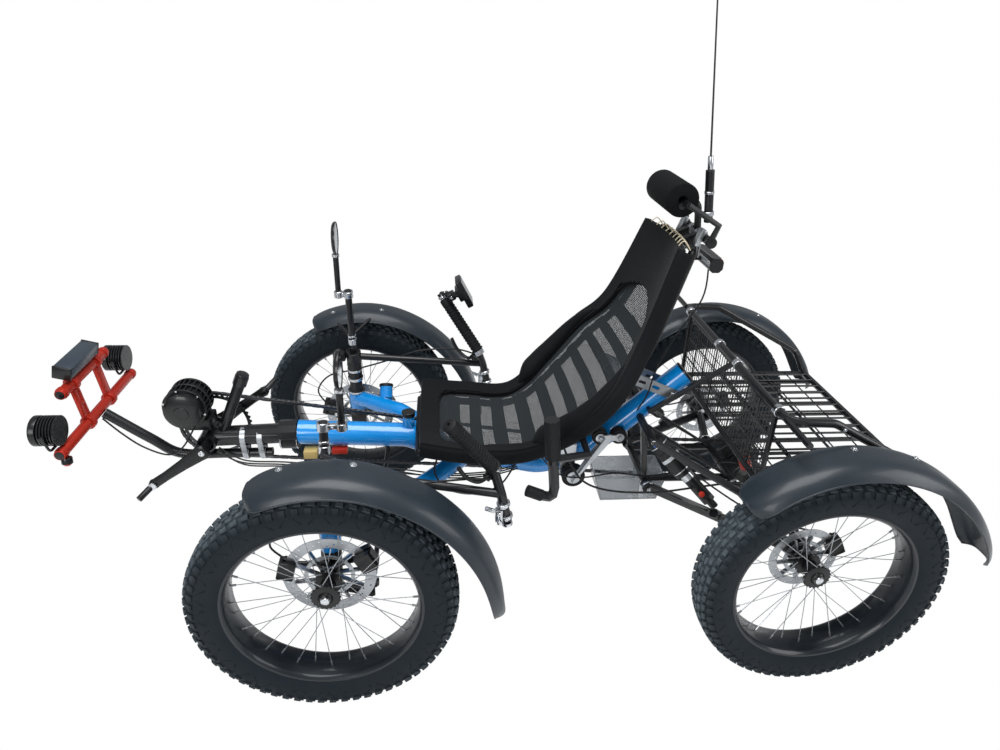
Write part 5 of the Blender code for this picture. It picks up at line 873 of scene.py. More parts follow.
@dataclass
class Tyre:
    """A lugged balloon tyre about the Y axis, made at the origin.

    Attributes:
        section: radius and half width along the carcass, from bead to crown.
        pitches: how many times the tread repeats round the tyre.
        top: the radius of the knobs' faces.
        rows: distance from the middle, width and shift of each row of knobs.
    """

    section: tuple[tuple[float, float], ...] = (
        (0.2091, 0.0378), (0.215, 0.0412), (0.222, 0.044), (0.23, 0.046), (0.239, 0.0472),
        (0.248, 0.0474), (0.256, 0.0468), (0.263, 0.0448), (0.269, 0.0408), (0.274, 0.0345),
        (0.2775, 0.025), (0.2792, 0.013), (0.2796, 0.0))
    pitches: int = 66
    top: float = 0.2848
    rows: tuple[tuple[float, float, float], ...] = (
        (0.0062, 0.0076, 0.0), (0.02, 0.0084, 0.5), (0.0335, 0.008, 0.0))

    def radius_at(self, reach: float) -> float:
        """The carcass radius at a distance from the middle plane, on the crown.

        Args:
            reach: the distance from the middle plane.

        Returns:
            The radius.
        """
        crown = [entry for entry in self.section if entry[0] > 0.258]
        for outer, inner in zip(crown[:-1], crown[1:]):
            if inner[1] <= reach <= outer[1]:
                part = (reach - inner[1]) / max(outer[1] - inner[1], 1e-6)
                return inner[0] + (outer[0] - inner[0]) * part
        return crown[0][0]

    def carcass(self) -> Piece:
        """The smooth casing with a hollow inside.

        Returns:
            The casing.
        """
        outer = [(radius, -half) for radius, half in self.section]
        outer += [(radius, half) for radius, half in reversed(self.section[:-1])]
        inner = [(0.21, 0.035), (0.238, 0.044), (0.26, 0.04), (0.274, 0.0), (0.26, -0.04),
                 (0.238, -0.044), (0.21, -0.035)]
        return lathe("carcass", [*outer, *inner], HOME, ACROSS, 132, ring=True)

    def knob(self, half_length: float, half_width: float, foot: float, top: float) -> Piece:
        """One tread knob about the origin, with chamfered top edges; Z points out of the tyre.

        Args:
            half_length: half its length along the tread.
            half_width: half its width across the tread.
            foot: its foot's height.
            top: its face's height.

        Returns:
            The knob.
        """
        cut = 0.0009
        corners = []
        for height, inset in ((foot, 0.0), (top - cut, 0.0002), (top, cut)):
            for along, across in ((-1, -1), (1, -1), (1, 1), (-1, 1)):
                corners.append((along * (half_length - inset), across * (half_width - inset), height))
        faces = [(3, 2, 1, 0), (8, 9, 10, 11)]
        for ring in (0, 4):
            faces += [(ring + step, ring + (step + 1) % 4, ring + 4 + (step + 1) % 4, ring + 4 + step)
                      for step in range(4)]
        return mesh_piece("knob", corners, faces)

    def places(self, count: int, shift: float, across: float, radius: float, tilt: float,
               skew: float = 0.0) -> list[Matrix]:
        """Even places round the tyre.

        Args:
            count: how many there are.
            shift: where the first lies, as a share of their pitch.
            across: their distance from the middle plane.
            radius: their distance from the axle.
            tilt: how far each leans over the shoulder.
            skew: how far each is turned on its foot, every other one the other way.

        Returns:
            A matrix for each place.
        """
        pitch = math.tau / count
        return [Matrix.Rotation((turn + shift) * pitch, 4, "Y") @ Matrix.Translation((0, across, radius))
                @ Matrix.Rotation(tilt, 4, "X") @ Matrix.Rotation(skew if turn % 2 else -skew, 4, "Z")
                for turn in range(count)]

    def tread(self) -> Piece:
        """Staggered rows of knobs over the crown, long lugs over each shoulder and chevrons below them.

        Returns:
            All knobs as one piece.
        """
        parts = []
        for reach, width, shift in self.rows:
            for side in SIDES:
                fall = self.radius_at(max(reach - 0.004, 0)) - self.radius_at(reach + 0.004)
                foot = self.radius_at(reach) - 0.0025
                top = min(self.top, self.radius_at(reach) + 0.0056)
                knob = self.knob(0.0084 if shift else 0.0076, width / 2 + 0.0008, -0.002, top - foot)
                tilt = -side * math.atan2(fall, 0.008)
                parts.append(stamp("row", knob, self.places(self.pitches, shift, side * reach, foot, tilt)))
        for side in SIDES:
            shoulder = self.places(self.pitches, 0.25, side * 0.0428, 0.264, -side * math.radians(60))
            parts.append(stamp("lugs", self.knob(0.007, 0.0076, -0.003, 0.0034), shoulder))
            wall = self.places(54, 0, side * 0.0462, 0.244, -side * math.radians(88), math.radians(40))
            parts.append(stamp("chevrons", self.knob(0.0014, 0.0105, -0.002, 0.0019), wall))
        return join("tread", parts)

    def build(self) -> Piece:
        """The whole tyre, with its dust written as an attribute that grows towards the knobs' faces.

        Returns:
            The tyre at the origin.
        """
        tyre = join("tyre", [self.carcass(), self.tread()])
        dust = tyre.data.attributes.new("dust", "FLOAT", "POINT")
        for corner, value in zip(tyre.data.vertices, dust.data):
            reach = math.hypot(corner.co.x, corner.co.z)
            value.value = min(max((reach - 0.266) / 0.018, 0.02), 1.0)
        return tyre


@dataclass
class Wheel:
    """A laced wheel about the Y axis at the origin, with +Y outboard.

    Attributes:
        disc_radius: the brake disc's radius.
        spokes: how many spokes it has.
        rim_radius: the radius of the rim's lips.
        rim_half: half the distance between the lips.
        floor: the radius of the rim's bed towards the hub.
        disc_y: how far the brake disc lies from the wheel's middle plane.
    """

    disc_radius: float
    spokes: int = 32
    rim_radius: float = 0.2088
    rim_half: float = 0.0392
    floor: float = 0.1965
    disc_y: float = -0.068

    def hoop(self) -> Piece:
        """The deep rim: a bed with two lips and rounded shoulders towards the hub.

        Returns:
            The rim.
        """
        half, radius = self.rim_half, self.rim_radius
        right = [(radius + 0.0016, half - 0.0002), (radius + 0.0018, half - 0.0016),
                 (radius - 0.001, half - 0.0022), (radius - 0.005, half - 0.005),
                 (radius - 0.0062, half - 0.012)]
        lower = [(self.floor, 0.009), (self.floor + 0.001, 0.012), (self.floor + 0.0024, half - 0.009),
                 (0.203, half - 0.003), (0.205, half - 0.0006), (radius - 0.0006, half)]
        profile = [*right, *((reach, -side) for reach, side in reversed(right))]
        profile += [(reach, -side) for reach, side in reversed(lower)] + lower
        return lathe("hoop", profile, HOME, ACROSS, 120, ring=True)

    def lacing(self) -> tuple[Piece, Piece]:
        """The crossing spokes between two hub flanges and the rim, and their nipples.

        Returns:
            The spokes and the nipples.
        """
        runs, ends = [], []
        for index in range(self.spokes):
            outboard = index % 2 == 0
            hub_radius, hub_y = (0.0225, -0.003) if outboard else (0.0275, -0.045)
            cross = math.radians(52) * (1 if (index // 2) % 2 == 0 else -1)
            angle = math.tau * index / self.spokes
            start = angle + cross
            lift = 0.0015 if (index // 2) % 2 == 0 else -0.0015
            hub = polar(hub_radius, start, hub_y + lift)
            edge = polar(self.floor, angle, 0.0055 if outboard else -0.0055)
            runs.append((hub, edge))
            ends.append((edge.lerp(hub, 0.062), edge.lerp(hub, -0.004)))
        spokes = stamp("spokes", unit_bar(6), [segment(first, last, 0.00095) for first, last in runs])
        nipples = stamp("nipples", unit_bar(8), [segment(first, last, 0.0023) for first, last in ends])
        return spokes, nipples

    def hub(self) -> Piece:
        """The hub shell with its two flanges and its axle end.

        Returns:
            The hub.
        """
        profile = [(0.0, 0.0095), (0.0115, 0.0095), (0.015, 0.007), (0.0165, 0.003), (0.025, 0.002),
                   (0.0295, 0.0008), (0.03, -0.001), (0.0295, -0.0045), (0.021, -0.0062), (0.0172, -0.01),
                   (0.0172, -0.04), (0.024, -0.0422), (0.0302, -0.0435), (0.0305, -0.047), (0.024, -0.05),
                   (0.0185, -0.053), (0.0185, -0.065), (0.015, -0.0695), (0.0, -0.0695)]
        level = -0.0016
        teeth = [segment(polar(0.0295, turn, level - 0.0022), polar(0.0295, turn, level + 0.0022), 0.0029)
                 for turn in (math.tau * step / 20 for step in range(20))]
        return join("hub", [lathe("shell", profile, HOME, ACROSS, 48), stamp("teeth", unit_bar(10), teeth)])

    def cap(self) -> Piece:
        """The bright domed cap over the axle's outer end."""
        return lathe("cap", [(0.0, 0.015), (0.0048, 0.0146), (0.0088, 0.013), (0.0104, 0.0104),
                             (0.0108, 0.0065), (0.0, 0.0065)], HOME, ACROSS, 32)

    def disc(self) -> tuple[Piece, Piece]:
        """The brake disc's perforated band, and the spider that carries it.

        Returns:
            The band and the spider.
        """
        outer, inner, half = self.disc_radius, self.disc_radius * 0.76, 0.00095
        level = self.disc_y
        band = lathe("band", even([(inner, -half), (outer, -half)]), (-DATUM_X, level, 0), ACROSS, 144,
                     ring=True)
        drills = []
        for step in range(36):
            reach, turn = inner + (0.0045 + 0.0058 * (step % 3)), math.tau * step / 36
            drills.append(segment(polar(reach, turn, level - 0.004), polar(reach, turn, level + 0.004),
                                  0.0021))
        carve(band, stamp("cutter", unit_bar(8), drills))
        arms = []
        for step in range(10):
            turn = math.tau * step / 10
            lean = turn + 0.42
            start, end = polar(0.016, turn, level), polar(inner + 0.001, lean, level)
            run = end - start
            arms.append(moved(block((0.013, 0.0026, run.length), HOME, 0.0006),
                              Matrix.Translation((start + end) / 2) @ turn_to(run)))
        middle = (inner + 0.024) / 2
        arms.append(lathe("ring", even([(middle - 0.0045, -0.0012), (middle + 0.0045, -0.0012)]),
                          (-DATUM_X, level, 0), ACROSS, 64, ring=True))
        arms.append(lathe("boss", [(0.0, 0.0016), (0.0235, 0.0016), (0.024, 0.0), (0.0235, -0.0016),
                                   (0.0, -0.0016)], (-DATUM_X, level, 0), ACROSS, 48))
        return soften(band), soften(join("spider", arms))

    def caliper(self) -> Piece:
        """The caliper about its own middle, clear of the disc, with its pistons' cover and its bolts.

        Returns:
            The caliper.
        """
        half_gap = 0.0026
        parts = [block((0.046, 0.0115, 0.034), (-DATUM_X, side * (half_gap + 0.0062), 0), 0.003)
                 for side in SIDES]
        parts.append(block((0.046, 0.028, 0.009), (-DATUM_X, 0, 0.0155), 0.0025))
        parts.append(bar((-DATUM_X, 0.012, -0.002), (-DATUM_X, 0.0185, -0.002), 0.0105, 24, 0.0012))
        parts += [bar((-DATUM_X + shift, 0.0165, 0.008), (-DATUM_X + shift, 0.0195, 0.008), 0.0036, 12,
                      0.0006) for shift in (-0.016, 0.016)]
        return soften(join("caliper", parts))


class WheelSet:
    """The four wheels with their tyres, and the brake calipers beside them.

    Attributes:
        axles: each axle's forward place, its wheels' distance from the middle and its discs' radius.
        caliper_turn: the angle of each axle's calipers round it.
        caliper_drop: how far inside the disc's edge the caliper's middle lies.
    """

    axles = {"front": (AXLE_X, FRONT_Y, 0.1025), "rear": (-AXLE_X, REAR_Y, 0.083)}
    caliper_turn = {"front": math.radians(14), "rear": math.radians(152)}
    caliper_drop = 0.0095

    def build(self) -> None:
        """Model one tyre and one wheel of each kind, then set copies at the four corners."""
        tyre = Tyre().build()
        for end, (along, track, disc_radius) in self.axles.items():
            wheel = Wheel(disc_radius)
            spokes, nipples = wheel.lacing()
            band, spider = wheel.disc()
            patterns = [(wheel.hoop(), "rim", RIM_ALLOY), (spokes, "spokes", SPOKE_STEEL),
                        (nipples, "nipples", SPOKE_STEEL), (wheel.hub(), "hub", BLACK_ALLOY),
                        (wheel.cap(), "axle_cap", BRIGHT_STEEL), (band, "disc", DISC_STEEL),
                        (spider, "spider", DISC_STEEL)]
            for side_name, side in LEFT_AND_RIGHT:
                tag = f"{end}_{side_name}"
                body = Body(f"wheel_{tag}")
                shift = row((along, side * track, AXLE_Z))
                for pattern, label, finish in patterns:
                    copy = self.copy_at(pattern, shift, side)
                    nodes = (f"wheel_{tag}",) if label == "rim" else ()
                    fit(copy, f"{label}_{tag}", finish, *nodes, body=body)
                fit(self.copy_at(tyre, shift, 1), f"tyre_{tag}_treaded", RUBBER, f"tyre_{tag}", body=body)
            for pattern, _, _ in patterns:
                remove(pattern)
        remove(tyre)
        self.calipers()

    def copy_at(self, pattern: Piece, shift: Vector, side: int) -> Piece:
        """A copy of a pattern at one corner, mirrored for the right side.

        Args:
            pattern: the piece that is copied.
            shift: where the copy goes.
            side: 1 for the rider's left, -1 for the right.

        Returns:
            The copy.
        """
        copy = pattern.copy()
        copy.data = pattern.data.copy()
        bpy.context.scene.collection.objects.link(copy)
        if side < 0:
            copy.data.transform(Matrix.Diagonal((1, -1, 1, 1)))
            copy.data.flip_normals()
        return moved(copy, Matrix.Translation(shift))

    def calipers(self) -> None:
        """Set a caliper over each brake disc, on the piece that doesn't turn with the wheel."""
        for end, (along, track, disc_radius) in self.axles.items():
            reach = disc_radius - self.caliper_drop
            for side_name, side in LEFT_AND_RIGHT:
                caliper = Wheel(disc_radius).caliper()
                turn = Matrix.Rotation(math.pi / 2 - self.caliper_turn[end], 4, "Y")
                place = row((along, side * (track + Wheel.disc_y), AXLE_Z)) + turn @ Vector((0, 0, reach))
                if side > 0:
                    turn = turn @ Matrix.Rotation(math.pi, 4, "Z")
                caliper.data.transform(Matrix.Translation(place) @ turn)
                body = Body(f"knuckle_{side_name}") if end == "front" else Body.FRAME
                if end == "front":
                    bracket = pipe("bracket", [(0.556, side * 0.334, 0.3), (0.61, side * 0.338, 0.3),
                                               (0.64, side * 0.342, 0.306)], 0.007, 14)
                    caliper = join("caliper", [caliper, bracket])
                fit(caliper, f"caliper_{end}_{side_name}", BLACK_ALLOY, body=body)


# Seat and headrest


@dataclass
class Seat:
    """The slung seat: a black neoprene border round a stretched net, with bolsters and straps.

    Attributes:
        line: forward place, height and half width of the side line, from nose to top.
        dish: how far the middle sinks under the side line.
        border: the width of the neoprene border at the sides.
        nose: the row up to which the border covers the front.
        drop: how far the rails lie under the surface.
        rail_share: how far out the rails lie, as a share of the half width.
        last_row: the row number at the top edge.
        stretch: how far the stuffing may push a bolster's cloth.
        row_length: the length of one row on the flat cloth.
    """

    line: tuple[Point, ...] = (
        (0.352, 0.494, 0.169), (0.235, 0.478, 0.178), (0.105, 0.478, 0.178), (0.0, 0.56, 0.2225),
        (-0.08, 0.655, 0.232), (-0.15, 0.76, 0.174), (-0.222, 0.965, 0.135))
    dish: float = 0.022
    border: float = 0.042
    nose: float = 1.4
    drop: float = 0.028
    rail_share: float = 0.8
    last_row: float = 18.0
    stretch: float = 0.0035
    row_length: float = 0.0475

    def station(self, place: float) -> tuple[Vector, float]:
        """The middle of the side line (x, height) and its half width at a row number.

        Args:
            place: the row number.

        Returns:
            The middle and the half width.
        """
        place = min(max(place / 3.0, 0.0), len(self.line) - 1.0)
        index = min(int(place), len(self.line) - 2)
        share = place - index
        before, first = self.line[max(index - 1, 0)], self.line[index]
        second, after = self.line[index + 1], self.line[min(index + 2, len(self.line) - 1)]
        ends = zip(before, first, second, after)
        x, z, half = ((2 * b + (c - a) * share + (2 * a - 5 * b + 4 * c - d) * share ** 2
                       + (3 * b - a - 3 * c + d) * share ** 3) / 2 for a, b, c, d in ends)
        return Vector((x, 0, z)), half

    def up(self, place: float) -> Vector:
        """The direction towards the rider at a row.

        Args:
            place: the row number.

        Returns:
            The direction.
        """
        ahead, _ = self.station(min(place + 0.4, self.last_row))
        back, _ = self.station(max(place - 0.4, 0.0))
        along = (ahead - back).normalized()
        return Vector((along.z, 0, -along.x))

    def at(self, place: float, share: float, lift: float = 0.0) -> Vector:
        """A point on the seat's middle surface, or above it.

        Args:
            place: the row number.
            share: how far across it lies, from -1 to 1.
            lift: how far above the surface it lies.

        Returns:
            The point.
        """
        middle, half = self.station(place)
        sink = self.dish * (1 - share ** 2)
        return middle + Vector((0, half * share, 0)) - self.up(place) * (sink - lift)

    def nose_line(self, share: float) -> float:
        """The row number where the net's opening starts, at a share across."""
        return self.nose + max(0.0, abs(share) - 0.45) ** 2 * 4.0

    def top_line(self, share: float) -> float:
        """The row number where the net's opening ends, at a share across."""
        return 16.1 - 0.9 * share ** 2

    def is_border(self, place: float, share: float, under: float = 0.0) -> bool:
        """Whether neoprene covers this part of the surface; the net reaches under it by a width in metres.

        Args:
            place: the row number.
            share: how far across it lies, from -1 to 1.
            under: how far the net reaches under the border.

        Returns:
            Whether neoprene covers it.
        """
        _, half = self.station(place)
        rows = under * 21
        at_side = (1 - abs(share)) * half < self.border - under
        return at_side or place < self.nose_line(share) - rows or place > self.top_line(share) + rows

    def patch(self, wanted: Callable[[float, float], bool], rows: int = 216, columns: int = 80) -> Piece:
        """The part of the surface where a test holds, with a UV map in metres.

        Args:
            wanted: a test of a row number and a share across.
            rows: how many cells the grid has along the seat.
            columns: how many it has across.

        Returns:
            The patch.
        """
        numbers: dict[tuple[int, int], int] = {}
        corners, flat, faces = [], [], []

        def corner(row_number: int, column: int) -> int:
            """The number of a grid corner, which is made the first time it is asked for.

            Args:
                row_number: the corner's row.
                column: the corner's column.

            Returns:
                The number.
            """
            key = (row_number, column)
            if key not in numbers:
                numbers[key] = len(corners)
                place, share = self.last_row * row_number / rows, 2.0 * column / columns - 1.0
                corners.append(row(self.at(place, share)))
                flat.append((share * self.station(place)[1], place * self.row_length))
            return numbers[key]

        for row_number in range(rows):
            for column in range(columns):
                place = self.last_row * (row_number + 0.5) / rows
                if wanted(place, 2.0 * (column + 0.5) / columns - 1.0):
                    faces.append((corner(row_number, column), corner(row_number + 1, column),
                                  corner(row_number + 1, column + 1), corner(row_number, column + 1)))
        return chart(mesh_piece("patch", corners, faces), flat)

    def cover(self) -> None:
        """The neoprene border, thick and soft-edged."""
        border = self.patch(self.is_border)
        modify(border, "SOLIDIFY", thickness=0.019, offset=-0.25)
        modify(border, "BEVEL", width=0.005, segments=3, limit_method="ANGLE", angle_limit=math.radians(50))
        border = join("border", [border, *(self.wrap(side) for side in SIDES)])
        soften(border, 60)
        fit(border, "seat_border", NEOPRENE, "seat_cover")
        seams = []
        for share_of_border in (0.16, 0.93):
            for side in SIDES:
                route = [self.at(place, side * (1 - self.border * share_of_border / self.station(place)[1]),
                                 0.01) for place in self.stations(0.3, 17.8, 60)]
                seams.append(pipe("seam", route, 0.0011, 6))
        for lift in (16.45, 16.6):
            seams.append(pipe("seam", [self.at(lift - 0.9 * (step / 16) ** 2, step / 16, 0.0098)
                                       for step in range(-12, 13)], 0.001, 6))
        seams.append(pipe("binding", self.binding(), 0.003, 8, closed=True))
        group(seams, "seat_seams", WEBBING)

    def wrap(self, side: int) -> Piece:
        """The side panel that folds from the border's edge round the rail.

        Args:
            side: 1 for the rider's left, -1 for the right.

        Returns:
            The panel.
        """
        fold = ((-0.014, 0.0086), (-0.001, 0.0072), (0.004, 0.001), (0.0046, -0.01), (0.0036, -0.022),
                (-0.002, -0.031), (-0.014, -0.035))
        places = self.stations(0.06, 17.94, 90)
        corners, faces, flat = [], [], []
        for place in places:
            for out, lift in fold:
                corners.append(row(self.at(place, side, lift) + Vector((0, side * out, 0))))
                flat.append((out - lift, place * self.row_length))
        width = len(fold)
        for step in range(len(places) - 1):
            for turn in range(width - 1):
                face = (step * width + turn, step * width + turn + 1, (step + 1) * width + turn + 1,
                        (step + 1) * width + turn)
                faces.append(face if side > 0 else tuple(reversed(face)))
        item = chart(mesh_piece("wrap", corners, faces), flat)
        modify(item, "SOLIDIFY", thickness=0.0034, offset=-1.0)
        return modify(item, "SUBSURF", levels=1, render_levels=1)

    def binding(self) -> list[Vector]:
        """The closed line of the tape round the net's opening.

        Returns:
            Places along the line.
        """
        places = self.stations(2.2, 15.3, 60)
        inner = [1 - self.border / self.station(place)[1] for place in places]
        route = [self.at(place, share, 0.006) for place, share in zip(places, inner)]
        route += [self.at(self.top_line(share), share, 0.006)
                  for share in (inner[-1] * (1 - step / 12) for step in range(2, 23))]
        route += [self.at(place, -share, 0.006) for place, share in zip(reversed(places), reversed(inner))]
        route += [self.at(self.nose_line(share), share, 0.006)
                  for share in (-inner[0] * (1 - step / 12) for step in range(1, 24))]
        return route

    def stations(self, first: float, last: float, count: int) -> list[float]:
        """Even row numbers from the first to the last."""
        return [first + (last - first) * step / count for step in range(count + 1)]

    def net(self) -> None:
        """The spacer net stretched inside the border."""
        net = self.patch(lambda place, share: not self.is_border(place, share, 0.016))
        soften(net, 80)
        for corner in net.data.vertices:
            corner.co.z -= 0.0015
        fit(net, "seat_net", SEAT_NET)

    def ribbon(self, place: float, half: float, drop: float) -> Piece:
        """One strap across the rails under the net.

        Args:
            place: its middle's row number.
            half: half its width in rows.
            drop: how far it hangs under the surface.

        Returns:
            The strap.
        """
        corners, faces = [], []
        steps = 14
        for step in range(steps + 1):
            share = self.rail_share * (2.0 * step / steps - 1.0)
            for side in SIDES:
                corners.append(row(self.at(place + side * half, share, -drop - 0.006 * (1 - share ** 2))))
        for step in range(steps):
            faces.append((2 * step, 2 * step + 1, 2 * step + 3, 2 * step + 2))
        item = mesh_piece("ribbon", corners, faces)
        return modify(item, "SOLIDIFY", thickness=0.0016, offset=0.0)

    def straps(self) -> None:
        """The webbing straps between the rails, which show dark through the net."""
        places = (2.4, 3.7, 5.0, 6.3, 7.6, 9.0, 10.5, 12.0, 13.3, 14.6)
        straps = join("straps", [self.ribbon(place, 0.34, 0.013) for place in places])
        fit(soften(straps), "seat_straps", WEBBING)

    def bolster(self, side: int) -> Piece:
        """One stuffed bolster from the hip to the middle of the back, blown up by a cloth simulation.

        Args:
            side: 1 for the rider's left, -1 for the right.

        Returns:
            The bolster.
        """
        corners = []
        steps, ring = 36, 20
        for step in range(steps + 1):
            part = step / steps
            place = 6.6 + 7.4 * part
            _, half = self.station(place)
            swell = (min(max(part, 0.012) / 0.13, 1.0) * min((1.0 - part) / 0.85 + 0.02, 1.0)) ** 0.5
            middle = self.at(place, side * (1 - 0.027 / half), 0.004 + 0.014 * swell)
            up = self.up(place)
            for turn in range(ring):
                angle = math.tau * turn / ring
                corners.append(row(middle + Vector((0, math.cos(angle) * 0.03 * swell, 0))
                                   + up * (math.sin(angle) * 0.024 * swell)))
        item = weld(mesh_piece("bolster", corners, tube_faces(steps, ring)))
        modify(item, "REMESH", mode="VOXEL", voxel_size=0.0055)
        cloth = item.modifiers.new("stuffing", "CLOTH")
        cloth.settings.use_pressure = True
        cloth.settings.uniform_pressure_force = 3.0
        cloth.settings.effector_weights.gravity = 0.0
        cloth.settings.mass = 0.3
        cloth.point_cache.frame_start, cloth.point_cache.frame_end = 1, 12
        rest = [corner.co.copy() for corner in item.data.vertices]
        for frame_number in range(1, 13):
            bpy.context.scene.frame_set(frame_number)
        bpy.ops.object.modifier_apply(modifier=cloth.name)
        bpy.context.scene.frame_set(1)
        for corner, start in zip(item.data.vertices, rest):
            shift = corner.co - start
            if shift.length > self.stretch:
                corner.co = start + shift.normalized() * self.stretch
        return soften(item, 80)

    def bolsters(self) -> None:
        """Both bolsters, with a flat map in metres for their knit."""
        for side_name, side in LEFT_AND_RIGHT:
            item = self.bolster(side)
            chart(item, [(corner.co.y, corner.co.z) for corner in item.data.vertices])
            fit(item, f"seat_bolster_{side_name}", NEOPRENE)

    def rails(self) -> None:
        """The bent side rails and the bars across them."""
        parts = []
        for side in SIDES:
            parts.append(pipe("rail", [self.at(place, side * self.rail_share, -self.drop)
                                       for place in self.stations(0, 18, 48)], 0.01, 16))
        for place in (0, 12, 18):
            ends = [self.at(place, side * self.rail_share, -self.drop) for side in SIDES]
            low = [self.at(place, side * self.rail_share / 2, -0.0254) for side in SIDES]
            parts.append(pipe("bar", bent([ends[0], low[0], low[1], ends[1]], 0.03), 0.007, 12))
        fit(join("rails", parts), "seat_rails", BLACK_ALLOY, "seat_frame")

    def lacing(self) -> None:
        """Cream cord that laces the cover's top edge to the top bar."""
        loops = []
        for step in range(-4, 5):
            share = step / 5.2
            first = self.at(17.72, share - 0.05, 0.0105)
            last = self.at(18.0, share + 0.05, -0.02)
            edge = self.at(18.0, share, 0.004) + Vector((-0.006, 0, 0.012))
            loops.append(pipe("loop", curve_through([first, edge, last], 6), 0.0014, 6))
        fit(join("lacing", loops), "seat_lacing", CREAM_CORD)

    def build(self) -> None:
        """Make every piece of the seat."""
        self.cover()
        self.net()
        self.straps()
        self.bolsters()
        self.rails()
        self.lacing()


@dataclass
class Headrest:
    """The foam roll, its stalk and the clamps that hold them.

    Attributes:
        middle: the roll's middle.
        radius: the roll's radius.
        half: half the roll's length.
        bar_x: how far forward the cross bar under it lies.
        bar_z: the cross bar's height.
    """

    middle: Point = (-0.225, 0.0, 1.058)
    radius: float = 0.0375
    half: float = 0.08
    bar_x: float = -0.3
    bar_z: float = 0.968

    def roll(self) -> None:
        """The foam roll with its rounded rims and the bore of its bar."""
        inner, cut, half, radius = 0.0086, 0.004, self.half, self.radius
        lower = [(inner, -half + 0.004), (inner + 0.003, -half), (radius - cut, -half),
                 (radius - 0.001, -half + 0.0015), (radius, -half + cut)]
        roll = lathe("roll", even(lower), self.middle, ACROSS, 56, ring=True)
        fit(roll, "headrest_foam", ROLL_FOAM, "headrest_roll")

    def mount(self) -> None:
        """The stalk, its clamps and the grey fittings under the roll."""
        x, _, z = self.middle
        stalk = pipe("stalk", bent([(self.bar_x, 0.0, self.bar_z), (-0.292, 0.0, 1.03),
                                    (x - 0.044, 0.0, 1.052), (x - 0.002, 0.0, 1.052)], 0.02), 0.008, 16)
        cross = bar((self.bar_x, -0.095, self.bar_z), (self.bar_x, 0.095, self.bar_z), 0.0095, 24, 0.001)
        ends = [bar((self.bar_x, side * 0.082, self.bar_z), (self.bar_x, side * 0.0965, self.bar_z), 0.0125,
                    24, 0.002) for side in SIDES]
        pin = bar((x, -self.half - 0.002, z - 0.012), (x, self.half + 0.002, z - 0.012), 0.0075, 20, 0.001)
        group([stalk, cross, pin, *ends], "headrest_stalk", BLACK_ALLOY)
        lower = [(0.0102, -0.008), (0.015, -0.008), (0.0155, -0.006)]
        clamps = [lathe("clamp", even(lower), (self.bar_x, y, self.bar_z), ACROSS, 32, ring=True)
                  for y in (-0.022, 0.022)]
        clamps += [bolt((self.bar_x + 0.013, y, self.bar_z), (1, 0, 0.3), 0.0035) for y in (-0.022, 0.022)]
        clamps += [block((0.012, 0.02, 0.04), (-0.283, side * 0.06, 0.972), 0.002,
                         pitched(-20)) for side in SIDES]
        group(clamps, "headrest_clamps", BARE_ALLOY)

    def build(self) -> None:
        """Make the roll and its mount."""
        self.roll()
        self.mount()


class SeatChannel:
    """The perforated alloy channel that carries the seat's back on the tail tube."""

    front = Vector((-0.114, 0.0, 0.629))
    rear = Vector((-0.305, 0.0, 0.548))
    half = 0.031

    def plate(self, side: int) -> Piece:
        """One side plate with round ends and two slots.

        Args:
            side: 1 for the rider's left, -1 for the right.

        Returns:
            The plate.
        """
        run = self.front - self.rear
        turn = Matrix.Rotation(-math.atan2(run.z, run.x), 4, "Y")
        length, high, steps = run.length + 0.016, 0.0145, 12
        loop = []
        for centre, begin in ((length / 2 - high, -90), (-length / 2 + high, 90)):
            for step in range(steps + 1):
                angle = math.radians(begin + 180 * step / steps)
                loop.append((centre + high * math.cos(angle), high * math.sin(angle)))
        corners = [(x, -0.002, z) for x, z in loop] + [(x, 0.002, z) for x, z in loop]
        count = len(loop)
        faces = [tuple(range(count)), tuple(reversed(range(count, 2 * count)))]
        faces += [(count + step, count + (step + 1) % count, (step + 1) % count, step)
                  for step in range(count)]
        item = mesh_piece("plate", corners, faces)
        weld(item)
        for centre in (-0.04, 0.0, 0.04):
            ends = [bar((x, -0.01, 0), (x, 0.01, 0), 0.0045)
                    for x in (-DATUM_X + centre - 0.007, -DATUM_X + centre + 0.007)]
            slot = block((0.014, 0.02, 0.009), (-DATUM_X + centre, 0, 0), 0.0)
            carve(item, join("cutter", [slot, *ends]), use_self=True)
        middle = (self.front + self.rear) / 2 + Vector((0, side * self.half, 0))
        return soften(moved(item, Matrix.Translation(row(middle)) @ turn))

    def build(self) -> None:
        """Both plates, their bolts and the clamp round the tail tube."""
        parts = [self.plate(side) for side in SIDES]
        for share in (0.06, 0.94):
            place = self.rear.lerp(self.front, share)
            parts += [bolt(place + Vector((0, side * (self.half + 0.002), 0)), (0, side, 0), 0.0055)
                      for side in SIDES]
            if share > 0.5:
                parts.append(bar(place - Vector((0, self.half, 0)), place + Vector((0, self.half, 0)), 0.0045,
                                 16))
        group(parts, "seat_channel_plates", BARE_ALLOY, "seat_channel")


# Mudguards


